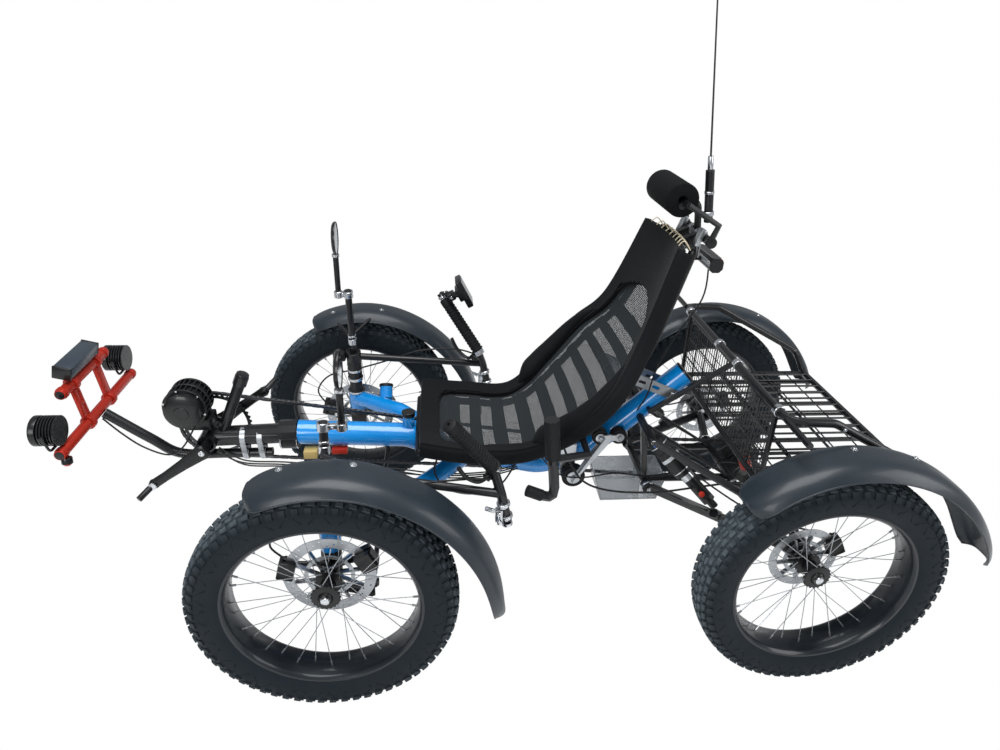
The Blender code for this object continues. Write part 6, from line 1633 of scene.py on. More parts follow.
@dataclass
class Mudguard:
    """One arched mudguard round an axle, with its wall, rolled edges and bolts.

    Attributes:
        axle_x: how far forward its wheel's axle lies.
        track: the wheel's distance from the middle.
        start: the front edge's angle from straight ahead, in degrees.
        end: the rear edge's angle.
        half: half its width.
        skirt: how far its edges hang under its crown.
        wall: how thick it is.
    """

    axle_x: float
    track: float
    start: float
    end: float
    half: float = 0.061
    skirt: float = 0.026
    wall: float = 0.0028

    def crown(self, share: float) -> float:
        """The crown's radius from the axle at a share of the arc."""
        return (0.318 + 0.022 * math.sin(math.pi * share * 0.75)
                + 0.052 * max(0.0, share - 0.4) ** 2 / 0.36)

    def at(self, side: int, share: float, across: float, lift: float = 0.0) -> Vector:
        """A point on the guard, across it from -1 to 1, or above it by a lift.

        Args:
            side: 1 for the rider's left, -1 for the right.
            share: how far along the arc it lies, from 0 to 1.
            across: how far across the guard it lies.
            lift: how far above the wall's middle it lies.

        Returns:
            The point.
        """
        angle = math.radians(self.start + (self.end - self.start) * share)
        tip = min(share / 0.07, (1 - share) / 0.11, 1.0)
        narrow = 0.6 + 0.4 * math.sqrt(max(1 - (1 - tip) ** 2, 0.0))
        drop = self.skirt * (0.94 * abs(across) ** 4.2 + 0.06 * across ** 2) * (0.55 + 0.45 * narrow)
        radius = self.crown(share) - drop + lift
        return Vector((self.axle_x + radius * math.cos(angle),
                       side * self.track + across * self.half * narrow, AXLE_Z + radius * math.sin(angle)))

    def shell(self, side: int) -> Piece:
        """The guard's smooth wall with a rolled bead along its rim.

        Args:
            side: 1 for the rider's left, -1 for the right.

        Returns:
            The guard.
        """
        rows, columns = 84, 22
        corners = [row(self.at(side, step / rows, 2 * column / columns - 1))
                   for step in range(rows + 1) for column in range(columns + 1)]
        faces = []
        for step in range(rows):
            for column in range(columns):
                start = step * (columns + 1) + column
                faces.append((start, start + columns + 1, start + columns + 2, start + 1))
        sheet = weld(mesh_piece("guard", corners, faces))
        modify(sheet, "SOLIDIFY", thickness=self.wall, offset=0.0)
        rim = [self.at(side, step / rows, -1) for step in range(rows + 1)]
        rim += [self.at(side, 1, 2 * column / columns - 1) for column in range(1, columns)]
        rim += [self.at(side, step / rows, 1) for step in range(rows, -1, -1)]
        rim += [self.at(side, 0, 1 - 2 * column / columns) for column in range(1, columns)]
        bead = pipe("bead", rim, 0.0022, 8, closed=True)
        return soften(join("guard", [sheet, bead]), 50)

    def fixings(self, side: int, places: Sequence[tuple[float, float]]) -> Piece:
        """Bolts on the crown with their washers.

        Args:
            side: 1 for the rider's left, -1 for the right.
            places: shares along the arc and across the guard.

        Returns:
            The bolts.
        """
        parts = []
        for share, across in places:
            foot = self.at(side, share, across, self.wall / 2)
            out = self.at(side, share, across, 0.02) - self.at(side, share, across)
            parts.append(bar(foot, foot + out.normalized() * 0.0012, 0.0075, 20, 0.0004))
            parts.append(bolt(foot + out.normalized() * 0.0012, out, 0.0042, 0.0034))
        return soften(join("bolts", parts))


class Mudguards:
    """All four mudguards with the stays of the front pair."""

    front = Mudguard(AXLE_X, FRONT_Y, 66.0, 186.0)
    rear = Mudguard(-AXLE_X, REAR_Y, 46.0, 171.0)

    def stays(self, side: int) -> Piece:
        """Two bent stays from the mirror post's foot to the crown.

        Args:
            side: 1 for the rider's left, -1 for the right.

        Returns:
            Both stays.
        """
        parts = []
        kingpin_y = KINGPIN_Y - 0.166 * KINGPIN_SLOPE
        for share, level in ((0.075, -1), (0.3, 1)):
            over = self.front.at(side, share, -side / 3, -0.003)
            start = Vector((AXLE_X, side * (kingpin_y + 0.0132), 0.566 + 0.0055 * level))
            knee = start + Vector((0, side * 0.022, 0))
            parts.append(pipe("stay", bent([start, knee, over], 0.018), 0.0052, 12))
        return join("stays", parts)

    def build(self) -> None:
        """Make the four guards, their bolts and the stays."""
        for side_name, side in LEFT_AND_RIGHT:
            knuckle = Body(f"knuckle_{side_name}")
            fit(self.front.shell(side), f"guard_front_{side_name}", GUARD_PLASTIC,
                f"mudguard_front_{side_name}", body=knuckle)
            fit(self.stays(side), f"guard_stays_{side_name}", COATED_STEEL, body=knuckle)
            fit(self.front.fixings(side, ((0.1, -side * 0.33), (0.31, -side * 0.33))),
                f"guard_bolts_front_{side_name}", BRIGHT_STEEL, body=knuckle)
            fit(self.rear.shell(side), f"guard_rear_{side_name}", GUARD_PLASTIC,
                f"mudguard_rear_{side_name}")
            fit(self.rear.fixings(side, ((0.36, -side * 0.3), (0.56, -side * 0.3), (0.93, 0.0))),
                f"guard_bolts_rear_{side_name}", BRIGHT_STEEL)


# Frame


class MainFrame:
    """The blue tubes of the frame, drawn smooth, with their caps and what is clamped under the spine."""

    def build(self) -> None:
        """Make the spine, cross arms, under tube, tail tube and head tubes."""
        spine = [(0.664, 0, 0.438), (0.385, 0, 0.424), (0.3, 0, 0.385)]
        under = [(0.3, 0, 0.385), (0.25, 0, 0.372), (0.03, 0, 0.322), (-0.1, 0, 0.385), (-0.155, 0, 0.44)]
        blue = [pipe("spine", bent(spine, 0.08, 8), 0.031, 40),
                pipe("under", bent(under, 0.1, 10), 0.0252, 32), pipe("tail",
                [(-0.13, 0, 0.414), (-0.327, 0, 0.598)], 0.031, 40)]
        for side in SIDES:
            head_low = Vector((AXLE_X, side * (KINGPIN_Y + 0.075 * 0.1405), 0.325))
            head_top = Vector((AXLE_X, side * (KINGPIN_Y + 0.008 * 0.1405), 0.392))
            middle = head_low.lerp(head_top, 0.62)
            blue.append(pipe("arm", bent([(0.25, 0, 0.345), (0.354, side * 0.15, 0.366),
                                          (0.417, side * 0.205, 0.378), middle], 0.06, 8), 0.0235, 32))
            blue.append(bar(head_low, head_top, 0.0237, 32, 0.0015))
            blue.append(pipe("gusset", [(0.462, side * 0.2815, 0.378), (0.462, side * 0.305, 0.408)], 0.019,
                             24))
        blue.append(bar((0.384, 0, 0.432), (0.384, 0, 0.488), 0.015, 28, 0.001))
        group(blue, "frame_tubes", AZURE_PAINT, "main_frame")
        tip = Vector((-0.327, 0, 0.598))
        away = (tip - Vector((-0.13, 0, 0.414))).normalized()
        cap = lathe("cap", [(0.0, 0.0), (0.0318, 0.0), (0.0318, 0.004), (0.029, 0.006), (0.0, 0.006)], tip,
                    away, 40)
        caps = [cap, bar((0.384, 0, 0.482), (0.384, 0, 0.494), 0.0172, 28, 0.0015)]
        for side in SIDES:
            end, run = Vector((0.462, side * 0.305, 0.408)), Vector((0, side * 0.0235, 0.03)).normalized()
            caps.append(bar(end - run * 0.004, end + run * 0.005, 0.0206, 28, 0.0015))
        fit(join("caps", caps), "frame_end_caps", LAMP_BLACK)
        pad = block((0.034, 0.03, 0.022), (0.632, 0.03, 0.394), 0.002)
        fit(soften(pad), "spine_clamp_pad", BEIGE_PLASTIC)
        red = block((0.04, 0.022, 0.016), (0.56, 0.026, 0.398), 0.003)
        fit(soften(red), "spine_red_plug", RED_ANODISED)


@dataclass
class Boom:
    """The sliding boom with its collar, clamps and bottom bracket."""

    level: float = CRANK_Z
    radius: float = 0.025

    def ring(self, x: float, wide: float, outer: float, inner: float) -> Piece:
        """A clamp ring about the boom."""
        return ring_on((x, 0, self.level), AHEAD, inner, outer, wide, 0.0008, 48)

    def build(self) -> None:
        """Make the boom, its bands, and the accessory tube that curves ahead to the lamps."""
        shell = bar((CRANK_X, -0.04, self.level), (CRANK_X, 0.04, self.level), 0.0192, 40, 0.0012)
        tube = pipe("tube", [(0.645, 0, self.level + 0.008), (CRANK_X, 0, self.level)], self.radius, 40)
        boom = join("boom", [tube, shell])
        fit(boom, "boom_tube", COATED_STEEL)
        dress("boom", COATED_STEEL, 0.0)
        fit(self.ring(0.683, 0.04, 0.0338, 0.0262), "boom_collar", BLACK_ALLOY)
        shine = [self.ring(0.706, 0.004, 0.0344, 0.0262), self.ring(0.666, 0.003, 0.0344, 0.0262),
                 bolt((0.676, 0.0, self.level - 0.034), (0, 0, -1), 0.0042)]
        fit(join("collar_rings", shine), "boom_collar_rings", BRIGHT_STEEL)
        for label, x in (("front", 0.8), ("rear", 0.758)):
            band = [self.ring(x, 0.0138, self.radius + 0.0031, self.radius + 0.0003),
                    block((0.013, 0.009, 0.012), (x, 0.0, self.level - self.radius - 0.0085), 0.001),
                    bolt((x, 0.0045, self.level - self.radius - 0.009), ACROSS, 0.003),
                    ring_on((x, 0, 0.3778), AHEAD, 0.0127, 0.0162, 0.0138),
                    *(block((0.0138, 0.003, 0.044), (x, side * 0.0205, 0.399), 0.0008,
                            Matrix.Rotation(side * math.radians(-12), 4, "X")) for side in SIDES)]
            group(band, f"boom_band_{label}", BARE_ALLOY, f"band_{label}")
        tube = pipe("accessory", curve_through([(0.735, 0, 0.378), (0.86, 0, 0.377), (0.965, 0, 0.38),
                                                (1.03, 0, 0.425), (1.126, 0, 0.501)], 10), 0.0125, 24)
        fit(tube, "accessory_tube_curved", COATED_STEEL, "accessory_tube")


class Motor:
    """The finned drum of the mid motor over the boom, with its face cap."""

    centre = (0.92, 0.0, 0.53)
    radius = 0.052

    def build(self) -> None:
        """Make the drum, its ribs, the two covers and the bolts round the face."""
        x, _, z = self.centre
        drum = lathe("drum", [(0.0, -0.038), (0.03, -0.038), (0.04, -0.034), (0.045, -0.03), (0.0455, 0.042),
                              (0.044, 0.048), (0.0, 0.048)], self.centre, ACROSS, 64)
        fins = []
        for step in range(26):
            place = (Matrix.Translation(row((x, 0.006, z))) @ Matrix.Rotation(-math.tau * step / 26, 4, "Y")
                     @ Matrix.Translation((0.048, 0, 0)))
            fins.append(moved(block((0.007, 0.058, 0.003), HOME, 0.0008), place))
        rims = [lathe("rim", [(0.04, level - 0.0028), (self.radius - 0.001, level - 0.0028),
                              (self.radius, level - 0.0018), (self.radius, level + 0.0018),
                              (self.radius - 0.001, level + 0.0028), (0.04, level + 0.0028)], self.centre,
                      ACROSS, 64, ring=True) for level in (-0.024, 0.006, 0.036)]
        cap = lathe("cap", [(0.0, 0.046), (0.044, 0.046), (0.0455, 0.05), (0.044, 0.056), (0.036, 0.06),
                            (0.018, 0.062), (0.016, 0.064), (0.0, 0.064)], self.centre, ACROSS, 64)
        shelf = block((0.06, 0.06, 0.03), (0.898, 0.0, 0.478), 0.004)
        group([drum, *fins, *rims, shelf], "motor_drum", BLACK_ALLOY, "motor")
        fit(cap, "motor_face", LAMP_BLACK)
        bolts = [bolt((x + 0.049 * math.cos(turn), 0.0385, z + 0.049 * math.sin(turn)), ACROSS, 0.0026)
                 for turn in (math.tau * step / 6 + 0.3 for step in range(6))]
        fit(join("bolts", bolts), "motor_bolts", BRIGHT_STEEL)


class Drive:
    """The cranks, the chainring and the long chain over its guides."""

    shaft = Vector((CRANK_X, 0.0, CRANK_Z))
    chain_y = -0.06

    def chainring(self) -> Piece:
        """A toothed ring with five arms.

        Returns:
            The ring in its place.
        """
        teeth, outer, root, inner = 42, 0.09, 0.0855, 0.078
        corners, faces = [], []
        steps = teeth * 4
        for half in (-0.0012, 0.0012):
            corners += [polar(outer if step % 4 in (1, 2) else root, math.tau * step / steps, half)
                        for step in range(steps)]
            corners += [polar(inner, math.tau * step / steps, half) for step in range(steps)]
        for step in range(steps):
            after = (step + 1) % steps
            faces.append((step, after, steps + after, steps + step))
            faces.append((2 * steps + step, 3 * steps + step, 3 * steps + after, 2 * steps + after))
            faces.append((step, 2 * steps + step, 2 * steps + after, after))
            faces.append((steps + step, steps + after, 3 * steps + after, 3 * steps + step))
        ring = weld(mesh_piece("ring", corners, faces))
        arms = [moved(block((0.062, 0.004, 0.015), HOME, 0.001),
                      Matrix.Rotation(-math.tau * step / 5, 4, "Y") @ Matrix.Translation((0.048, 0.0, 0)))
                for step in range(5)]
        arms.append(lathe("boss", [(0.0, -0.004), (0.024, -0.004), (0.025, -0.003), (0.025, 0.003),
                                   (0.024, 0.004), (0.0, 0.004)], HOME, ACROSS, 40))
        item = moved(join("chainring", [ring, *arms]),
                     Matrix.Translation(row(self.shaft + Vector((0, self.chain_y, 0)))))
        return soften(item)

    def arm(self, side: int) -> list[Piece]:
        """One tapered crank arm, and the pedal's adaptor at its tip.

        Args:
            side: 1 for the rider's left, -1 for the right.

        Returns:
            The arm, its adaptor and its collar.
        """
        turn = math.radians(-33.8) if side > 0 else math.radians(146.2)
        way = polar(1, turn, 0)
        corners = []
        stations = ((-0.012, 0.013, 0.0), (0.0, 0.0165, 0.0), (0.014, 0.015, 0.001), (0.06, 0.0115, 0.005),
                    (0.11, 0.0095, 0.0095), (0.142, 0.0098, 0.0118), (0.15, 0.0108, 0.012),
                    (0.16, 0.0065, 0.012))
        ring = 8
        up = Vector((-way.z, 0, way.x))
        for reach, half, flare in stations:
            middle = self.shaft + way * reach + Vector((0, side * (0.072 + flare), 0))
            for step in range(ring):
                angle = math.tau * (step + 0.5) / ring
                corners.append(row(middle + up * (half * 1.35 * math.cos(angle))
                                   + Vector((0, 0.0074 * math.sin(angle), 0))))
        arm = weld(mesh_piece("arm", corners, tube_faces(len(stations) - 1, ring)))
        round_edges(arm, 0.0012)
        tip = self.shaft + way * 0.15 + Vector((0, side * 0.084, 0))
        adaptor = bar(tip, tip + Vector((0, side * 0.04, 0)) + way * 0.03, 0.0078, 24, 0.001)
        collar = bar(tip + Vector((0, side * 0.008, 0)), tip + Vector((0, side * 0.014, 0)), 0.0105, 6,
                     0.0006)
        return [soften(arm), soften(adaptor), soften(collar)]

    def cranks(self) -> None:
        """Both arms, the chainring, the axle's bolts and the pedal adaptors."""
        arms, metal = [], []
        for side in SIDES:
            arm, adaptor, collar = self.arm(side)
            arms += [arm, adaptor]
            metal += [collar, bolt(self.shaft + Vector((0, side * 0.079, 0)), (0, side, 0), 0.0075, 0.003)]
        arms.append(bar(self.shaft - Vector((0, 0.068, 0)), self.shaft + Vector((0, 0.068, 0)), 0.011, 24))
        group(arms, "crank_arms", BLACK_ALLOY, "crankset", body=Body.CRANKSET)
        group(metal, "crank_bolts", BRIGHT_STEEL, body=Body.CRANKSET)
        fit(self.chainring(), "chainring_toothed", CHAIN_STEEL, body=Body.CRANKSET)
        post = join("post", [bar((0.858, 0, CRANK_Z), (0.784, 0, 0.599), 0.0137, 32, 0.001),
                             bar((0.7865, 0, 0.5932), (0.7812, 0, 0.6055), 0.0155, 32, 0.0015)])
        fit(soften(post), "boom_post", COATED_STEEL)

    def tangent(self, first: Vector, first_radius: float, second: Vector, second_radius: float,
                turn: int) -> float:
        """The angle where a straight run touches two circles on its turn side."""
        line = second - first
        return math.atan2(line.z, line.x) + turn * math.acos((first_radius - second_radius) / line.length)

    def loop(self) -> list[Vector]:
        """The chain's closed line: round the sprocket, under the guide and round the chainring.

        Returns:
            Places along the line.
        """
        ahead, behind, middle = self.shaft, Vector((-AXLE_X, 0, AXLE_Z)), Vector((-0.02, 0, 0.396))
        big, small, press = 0.0932, 0.0627, 0.0227
        rise = self.tangent(behind, small, middle, -press, 1)
        fall = self.tangent(middle, -press, ahead, big, 1)
        under = self.tangent(behind, small, ahead, big, -1)

        def arc(centre: Vector, radius: float, start: float, end: float, steps: int) -> list[Vector]:
            """Places along an arc in the upright plane."""
            turns = (start + (end - start) * step / steps for step in range(steps + 1))
            return [centre + polar(radius, turn, self.chain_y) for turn in turns]

        route = arc(behind, small, under, rise - math.tau, 40)
        route += arc(middle, -press, rise, fall, 8)
        route += arc(ahead, big, fall, under, 48)
        return route

    def chain(self) -> None:
        """Alternate inner and outer link plates with rollers, laid along the loop."""
        route = self.loop()
        route.append(route[0])
        lengths = [(second - first).length for first, second in zip(route[:-1], route[1:])]
        total = sum(lengths)
        count = int(total / 0.0127 / 2) * 2
        pins, index, passed = [], 0, 0.0
        for step in range(count):
            wanted = total * step / count
            while passed + lengths[index] < wanted:
                passed += lengths[index]
                index += 1
            pins.append(route[index].lerp(route[index + 1], (wanted - passed) / lengths[index]))
        plates = {0: [], 1: []}
        rollers = []
        for step, (first, second) in enumerate(zip(pins, pins[1:] + pins[:1])):
            run = second - first
            turn = Matrix.Rotation(-math.atan2(run.z, run.x), 4, "Y")
            middle = Matrix.Translation(row((first + second) / 2)) @ turn
            spread = 0.0022 if step % 2 else 0.0032
            plates[step % 2] += [middle @ Matrix.Translation((0, side * spread, 0)) for side in SIDES]
            rollers.append(Matrix.Translation(row(first)) @ Matrix.Rotation(math.radians(90), 4, "X")
                           @ Matrix.Diagonal((0.0037, 0.0037, 0.0062, 1)))
        parts = []
        for places in plates.values():
            link = block((0.0185, 0.0009, 0.0078), HOME, 0.0)
            modify(link, "BEVEL", width=0.003, segments=1, limit_method="ANGLE", affect="EDGES",
                   angle_limit=math.radians(35), use_clamp_overlap=True)
            parts.append(stamp("plates", link, places))
        parts.append(stamp("rollers", unit_bar(8), rollers))
        fit(join("chain", parts), "drive_chain", CHAIN_STEEL, "chain")

    def build(self) -> None:
        """Make the cranks and the chain."""
        self.cranks()
        self.chain()


# Steering and what the rider holds


def kingpin(side: int, height: float) -> Vector:
    """A point on one leaning kingpin axis."""
    return Vector((AXLE_X, side * (KINGPIN_Y + (0.4 - height) * KINGPIN_SLOPE), height))


def kingpin_way(side: int) -> Vector:
    """The kingpin's own upward direction."""
    return (kingpin(side, 1.0) - kingpin(side, 0.0)).normalized()


@dataclass
class Handlebar:
    """One underseat bar with its ribbed grip, its brake lever and its clamps."""

    side_name: str
    side: int
    radius: float = 0.011
    grip_radius: float = 0.0165

    def point(self, x: float, y: float, z: float) -> Vector:
        """A place on this side of the vehicle."""
        return Vector((x, self.side * y, z))

    def stem(self) -> tuple[Vector, Vector]:
        """The low and the high end of the stem outside the seat."""
        return self.point(0.157, 0.325, 0.4), self.point(0.172, 0.325, 0.47)

    def grip_ends(self) -> tuple[Vector, Vector]:
        """The low and the high end of the grip."""
        return self.point(0.19, 0.302, 0.526), self.point(0.288, 0.355, 0.668)

    def tube(self) -> Piece:
        """The drag bar from the stem's clamp back to the bend, and the bar up to the grip.

        Returns:
            The bar.
        """
        (base, arm_end), (low, top) = self.stem(), self.grip_ends()
        stack = kingpin(self.side, 0.5) + kingpin_way(self.side) * 0.015
        parts = [pipe("bar", bent([base, arm_end, low, low.lerp(top, 0.4)], 0.045), self.radius, 20),
                 pipe("drag", [arm_end, stack], 0.0099, 20),
                 bar(kingpin(self.side, 0.5008), kingpin(self.side, 0.53), 0.0212, 32, 0.002)]
        return join("bar", parts)

    def grip(self) -> Piece:
        """The rubber grip: rings and flats between two flanges, with a small hole in its end.

        Returns:
            The grip.
        """
        low, top = self.grip_ends()
        run = top - low
        length, full, ribs = run.length, self.grip_radius, 16
        profile = [(0.0112, 0.0), (full + 0.0012, 0.0), (full + 0.0016, 0.003), (full - 0.0012, 0.005)]
        pitch = (length - 0.024) / ribs
        for step in range(ribs):
            start = 0.006 + step * pitch
            profile += [(full - 0.0014, start), (full - 0.0014, start + pitch * 0.22),
                        (full, start + pitch * 0.34), (full, start + pitch * 0.92)]
        profile += [(full, length - 0.008), (full - 0.001, length - 0.003), (full - 0.005, length - 0.0003),
                    (0.0035, length - 0.0003), (0.003, length - 0.006), (0.0, length - 0.006)]
        return lathe("grip", profile, low, run, 40)

    def lever(self) -> tuple[Piece, Piece]:
        """The brake lever's body and blade, and its bright pivot and clamp.

        Returns:
            The lever and its fittings.
        """
        low, top = self.grip_ends()
        way = (top - low).normalized()
        collar = low - way * 0.012
        ahead = Vector((1, self.side * 0.45, 0))
        ahead = (ahead - way * ahead.dot(way)).normalized()
        pivot = collar + ahead * 0.026
        blade = pipe("blade", curve_through([pivot, pivot + ahead * 0.02 + way * 0.01,
                                             pivot + ahead * 0.03 + way * 0.045,
                                             pivot + ahead * 0.026 + way * 0.082], 8), 0.0048, 12)
        body = pipe("body", curve_through([collar - way * 0.014 + ahead * 0.012, collar + ahead * 0.02,
                                           pivot + ahead * 0.004], 6), 0.0095, 16)
        bright = [ring_on(low - way * 0.0055, way, 0.0112, 0.015, 0.009),
                  bolt(pivot, (0, self.side, 0.2), 0.0042), ring_on(collar, way, 0.0112, 0.0142, 0.008)]
        return soften(join("lever", [blade, body])), soften(join("fittings", bright))

    def joints(self) -> Piece:
        """Bright clamps where the grip's bar meets the drag bar, with their bolts.

        Returns:
            The clamps.
        """
        base, arm_end = self.stem()
        way = (arm_end - base).normalized()
        parts = [ring_on(base.lerp(arm_end, share), way, 0.0112, 0.0152, 0.01) for share in (0.15, 0.62)]
        parts += [bolt(base.lerp(arm_end, share) + Vector((0, self.side * 0.0135, 0)), (0, self.side, 0),
                       0.0042) for share in (0.15, 0.62)]
        parts.append(bar(self.point(0.157, 0.325, 0.394), self.point(0.1555, 0.325, 0.386), 0.0125, 24,
                         0.001))
        parts += [block((0.016, 0.016, 0.032), self.point(0.176, 0.331, 0.418), 0.002),
                  block((0.012, 0.024, 0.01), self.point(0.17, 0.33, 0.444), 0.0015),
                  bar(self.point(0.176, 0.322, 0.41), self.point(0.176, 0.352, 0.41), 0.0055, 16, 0.0006),
                  bolt(self.point(0.176, 0.341, 0.428), (0, self.side, 0), 0.005),
                  bar(self.point(0.186, 0.331, 0.428), self.point(0.206, 0.331, 0.436), 0.0052, 16, 0.0006)]
        return soften(join("joints", parts))

    def build(self) -> None:
        """Make the bar, grip, lever and clamps."""
        body = Body(f"knuckle_{self.side_name}")
        fit(self.tube(), f"bar_{self.side_name}", COATED_STEEL, f"handlebar_{self.side_name}", body=body)
        fit(self.grip(), f"grip_{self.side_name}", GRIP_RUBBER, body=body)
        lever, fittings = self.lever()
        fit(lever, f"brake_lever_{self.side_name}", BLACK_ALLOY, body=body)
        fit(fittings, f"lever_fittings_{self.side_name}", BRIGHT_STEEL, body=body)
        fit(self.joints(), f"bar_clamps_{self.side_name}", BRIGHT_STEEL, body=body)


@dataclass
class MirrorPost:
    """A stacked post with a bright offset clamp and an oval mirror."""

    side_name: str
    side: int
    clamp_level: float
    top_level: float
    reach: float
    foot_level: float = 0.566

    def build(self) -> None:
        """Make the post, its clamps, the mirror's shell and its glass."""
        body = Body(f"knuckle_{self.side_name}")
        way = kingpin_way(self.side)
        clamp = kingpin(self.side, self.clamp_level)
        upper = clamp + Vector((self.reach, 0, 0))
        top = Vector((upper.x, upper.y, self.top_level))
        tubes = [bar(kingpin(self.side, 0.5305), clamp + way * 0.012, 0.0095, 28, 0.001),
                 bar(upper - Vector((0, 0, 0.011)), top - Vector((0, 0, 0.004)), 0.0076, 24, 0.001)]
        middle = top + Vector((0, 0, 0.038))
        shell = lathe("shell", [(0.0, 0.006), (0.02, 0.0056), (0.034, 0.004), (0.0385, 0.001), (0.04, -0.003),
                                (0.04, -0.0058), (0.0382, -0.006), (0.0378, -0.0044), (0.0, -0.0044)],
                      HOME, AHEAD, 48)
        glass = lathe("glass", [(0.0, -0.0046), (0.0376, -0.0046), (0.0376, -0.004), (0.0, -0.004)],
                      HOME, AHEAD, 48)
        for item in (shell, glass):
            moved(item, Matrix.Translation(row(middle)) @ Matrix.Diagonal((1, 1, 1.1, 1)))
        group(tubes, f"mirror_tube_{self.side_name}", COATED_STEEL, f"mirror_post_{self.side_name}",
              body=body)
        fit(shell, f"mirror_shell_{self.side_name}", LAMP_BLACK, body=body)
        fit(glass, f"mirror_glass_{self.side_name}", MIRROR_GLASS, body=body)
        bright = [ring_on(clamp, way, 0.0098, 0.0135, 0.02), ring_on(upper, UPWARD, 0.0079, 0.012, 0.018),
                  block((abs(self.reach) - 0.018, 0.012, 0.012), (clamp + upper) / 2, 0.002),
                  ring_on(kingpin(self.side, self.foot_level), way, 0.0098, 0.0124, 0.018),
                  ring_on(kingpin(self.side, self.foot_level + 0.018), way, 0.0098, 0.0118, 0.006),
                  ring_on(top - Vector((0, 0, 0.008)), UPWARD, 0.0079, 0.01, 0.008),
                  bolt((clamp + upper) / 2 + Vector((0, self.side * 0.006, 0)), (0, self.side, 0), 0.0032)]
        group(bright, f"mirror_clamps_{self.side_name}", BRIGHT_STEEL, body=body)


class Knuckle:
    """The steering uprights' visible metal: crowns, bolts and the tie rod's ends."""

    eye = (0.46, 0.3286, 0.232)

    def build(self) -> None:
        """Dress the CAD castings and add head caps and bolts."""
        for side_name, side in LEFT_AND_RIGHT:
            body = Body(f"knuckle_{side_name}")
            dress(f"knuckle_{side_name}", BLACK_ALLOY, 0.001)
            bright = [ring_on(kingpin(side, 0.47), kingpin_way(side), 0.015, 0.0215, 0.008),
                      ring_on(kingpin(side, 0.44), kingpin_way(side), 0.015, 0.0225, 0.01),
                      ring_on(kingpin(side, 0.3965), kingpin_way(side), 0.015, 0.0252, 0.006)]
            bright += [bolt(kingpin(side, level) + Vector((0.0175, 0, 0)), AHEAD, 0.004)
                       for level in (0.455, 0.486)]
            group(bright, f"kingpin_rings_{side_name}", BRIGHT_STEEL, body=body)
        dress("tie_rod", BLACK_ALLOY, 0.0006)
        x, eye_y, z = self.eye
        ends = [bar((x, side * (eye_y - 0.03), z), (x, side * (eye_y - 0.052), z), 0.008, 6, 0.0006)
                for side in SIDES]
        group(ends, "tie_rod_nuts", BRIGHT_STEEL, body=Body.TIE_ROD)


class Display:
    """The read-out on the right grip, with its mount and clamp rings, and the small lamp below."""

    top = Vector((0.288, -0.355, 0.668))
    low = Vector((0.19, -0.302, 0.526))

    def build(self) -> None:
        """Make the slab, its screen, the mount's arms and the lamp."""
        body = Body.KNUCKLE_RIGHT
        middle = self.top + Vector((-0.056, 0.05, 0.04))
        turn = pitched(-62.0)
        slab = block((0.084, 0.064, 0.0175), middle, 0.004, turn)
        way = (self.top - self.low).normalized()
        parts = [slab, bar(self.top + way * 0.0005, self.top + way * 0.018, 0.0122, 24, 0.001),
                 pipe("arm", [self.top + way * 0.014, middle + Vector((0.014, 0, -0.01))], 0.0085, 14),
                 block((0.04, 0.042, 0.013), middle + Vector((0.0125, -0.002, -0.0065)), 0.003, turn),
                 block((0.024, 0.03, 0.022), self.top.lerp(middle, 0.45) + Vector((0.004, 0, -0.002)), 0.004,
                       turn)]
        group(parts, "display_case", LAMP_BLACK, "display", body=body)
        screen = moved(block((0.072, 0.054, 0.001), HOME, 0.0),
                       Matrix.Translation(row(middle)) @ turn @ Matrix.Translation((0, 0, 0.0089)))
        fit(screen, "display_screen", SCREEN, body=body)
        rings = [ring_on(self.top + way * 0.006, way, 0.0122, 0.0148, 0.006),
                 ring_on(self.top.lerp(middle, 0.22) + way * 0.008, middle - self.top, 0.0084, 0.0112, 0.005),
                 bolt(self.top.lerp(middle, 0.45) + Vector((0.004, 0.015, -0.002)), ACROSS, 0.0046),
                 bolt(self.top + way * 0.012 + Vector((0, 0.01, 0)), ACROSS, 0.0035)]
        group(rings, "display_rings", BRIGHT_STEEL, body=body)
        foot = kingpin(-1, 0.5195) + Vector((0.0393, 0, 0))
        lamp = [block((0.036, 0.04, 0.03), foot, 0.006),
                bar(foot + Vector((0.012, 0, 0)), foot + Vector((0.0178, 0, 0)), 0.0135, 32, 0.0008)]
        group(lamp, "side_lamp_case", LAMP_BLACK, "side_lamp", body=body)


# Front lamps


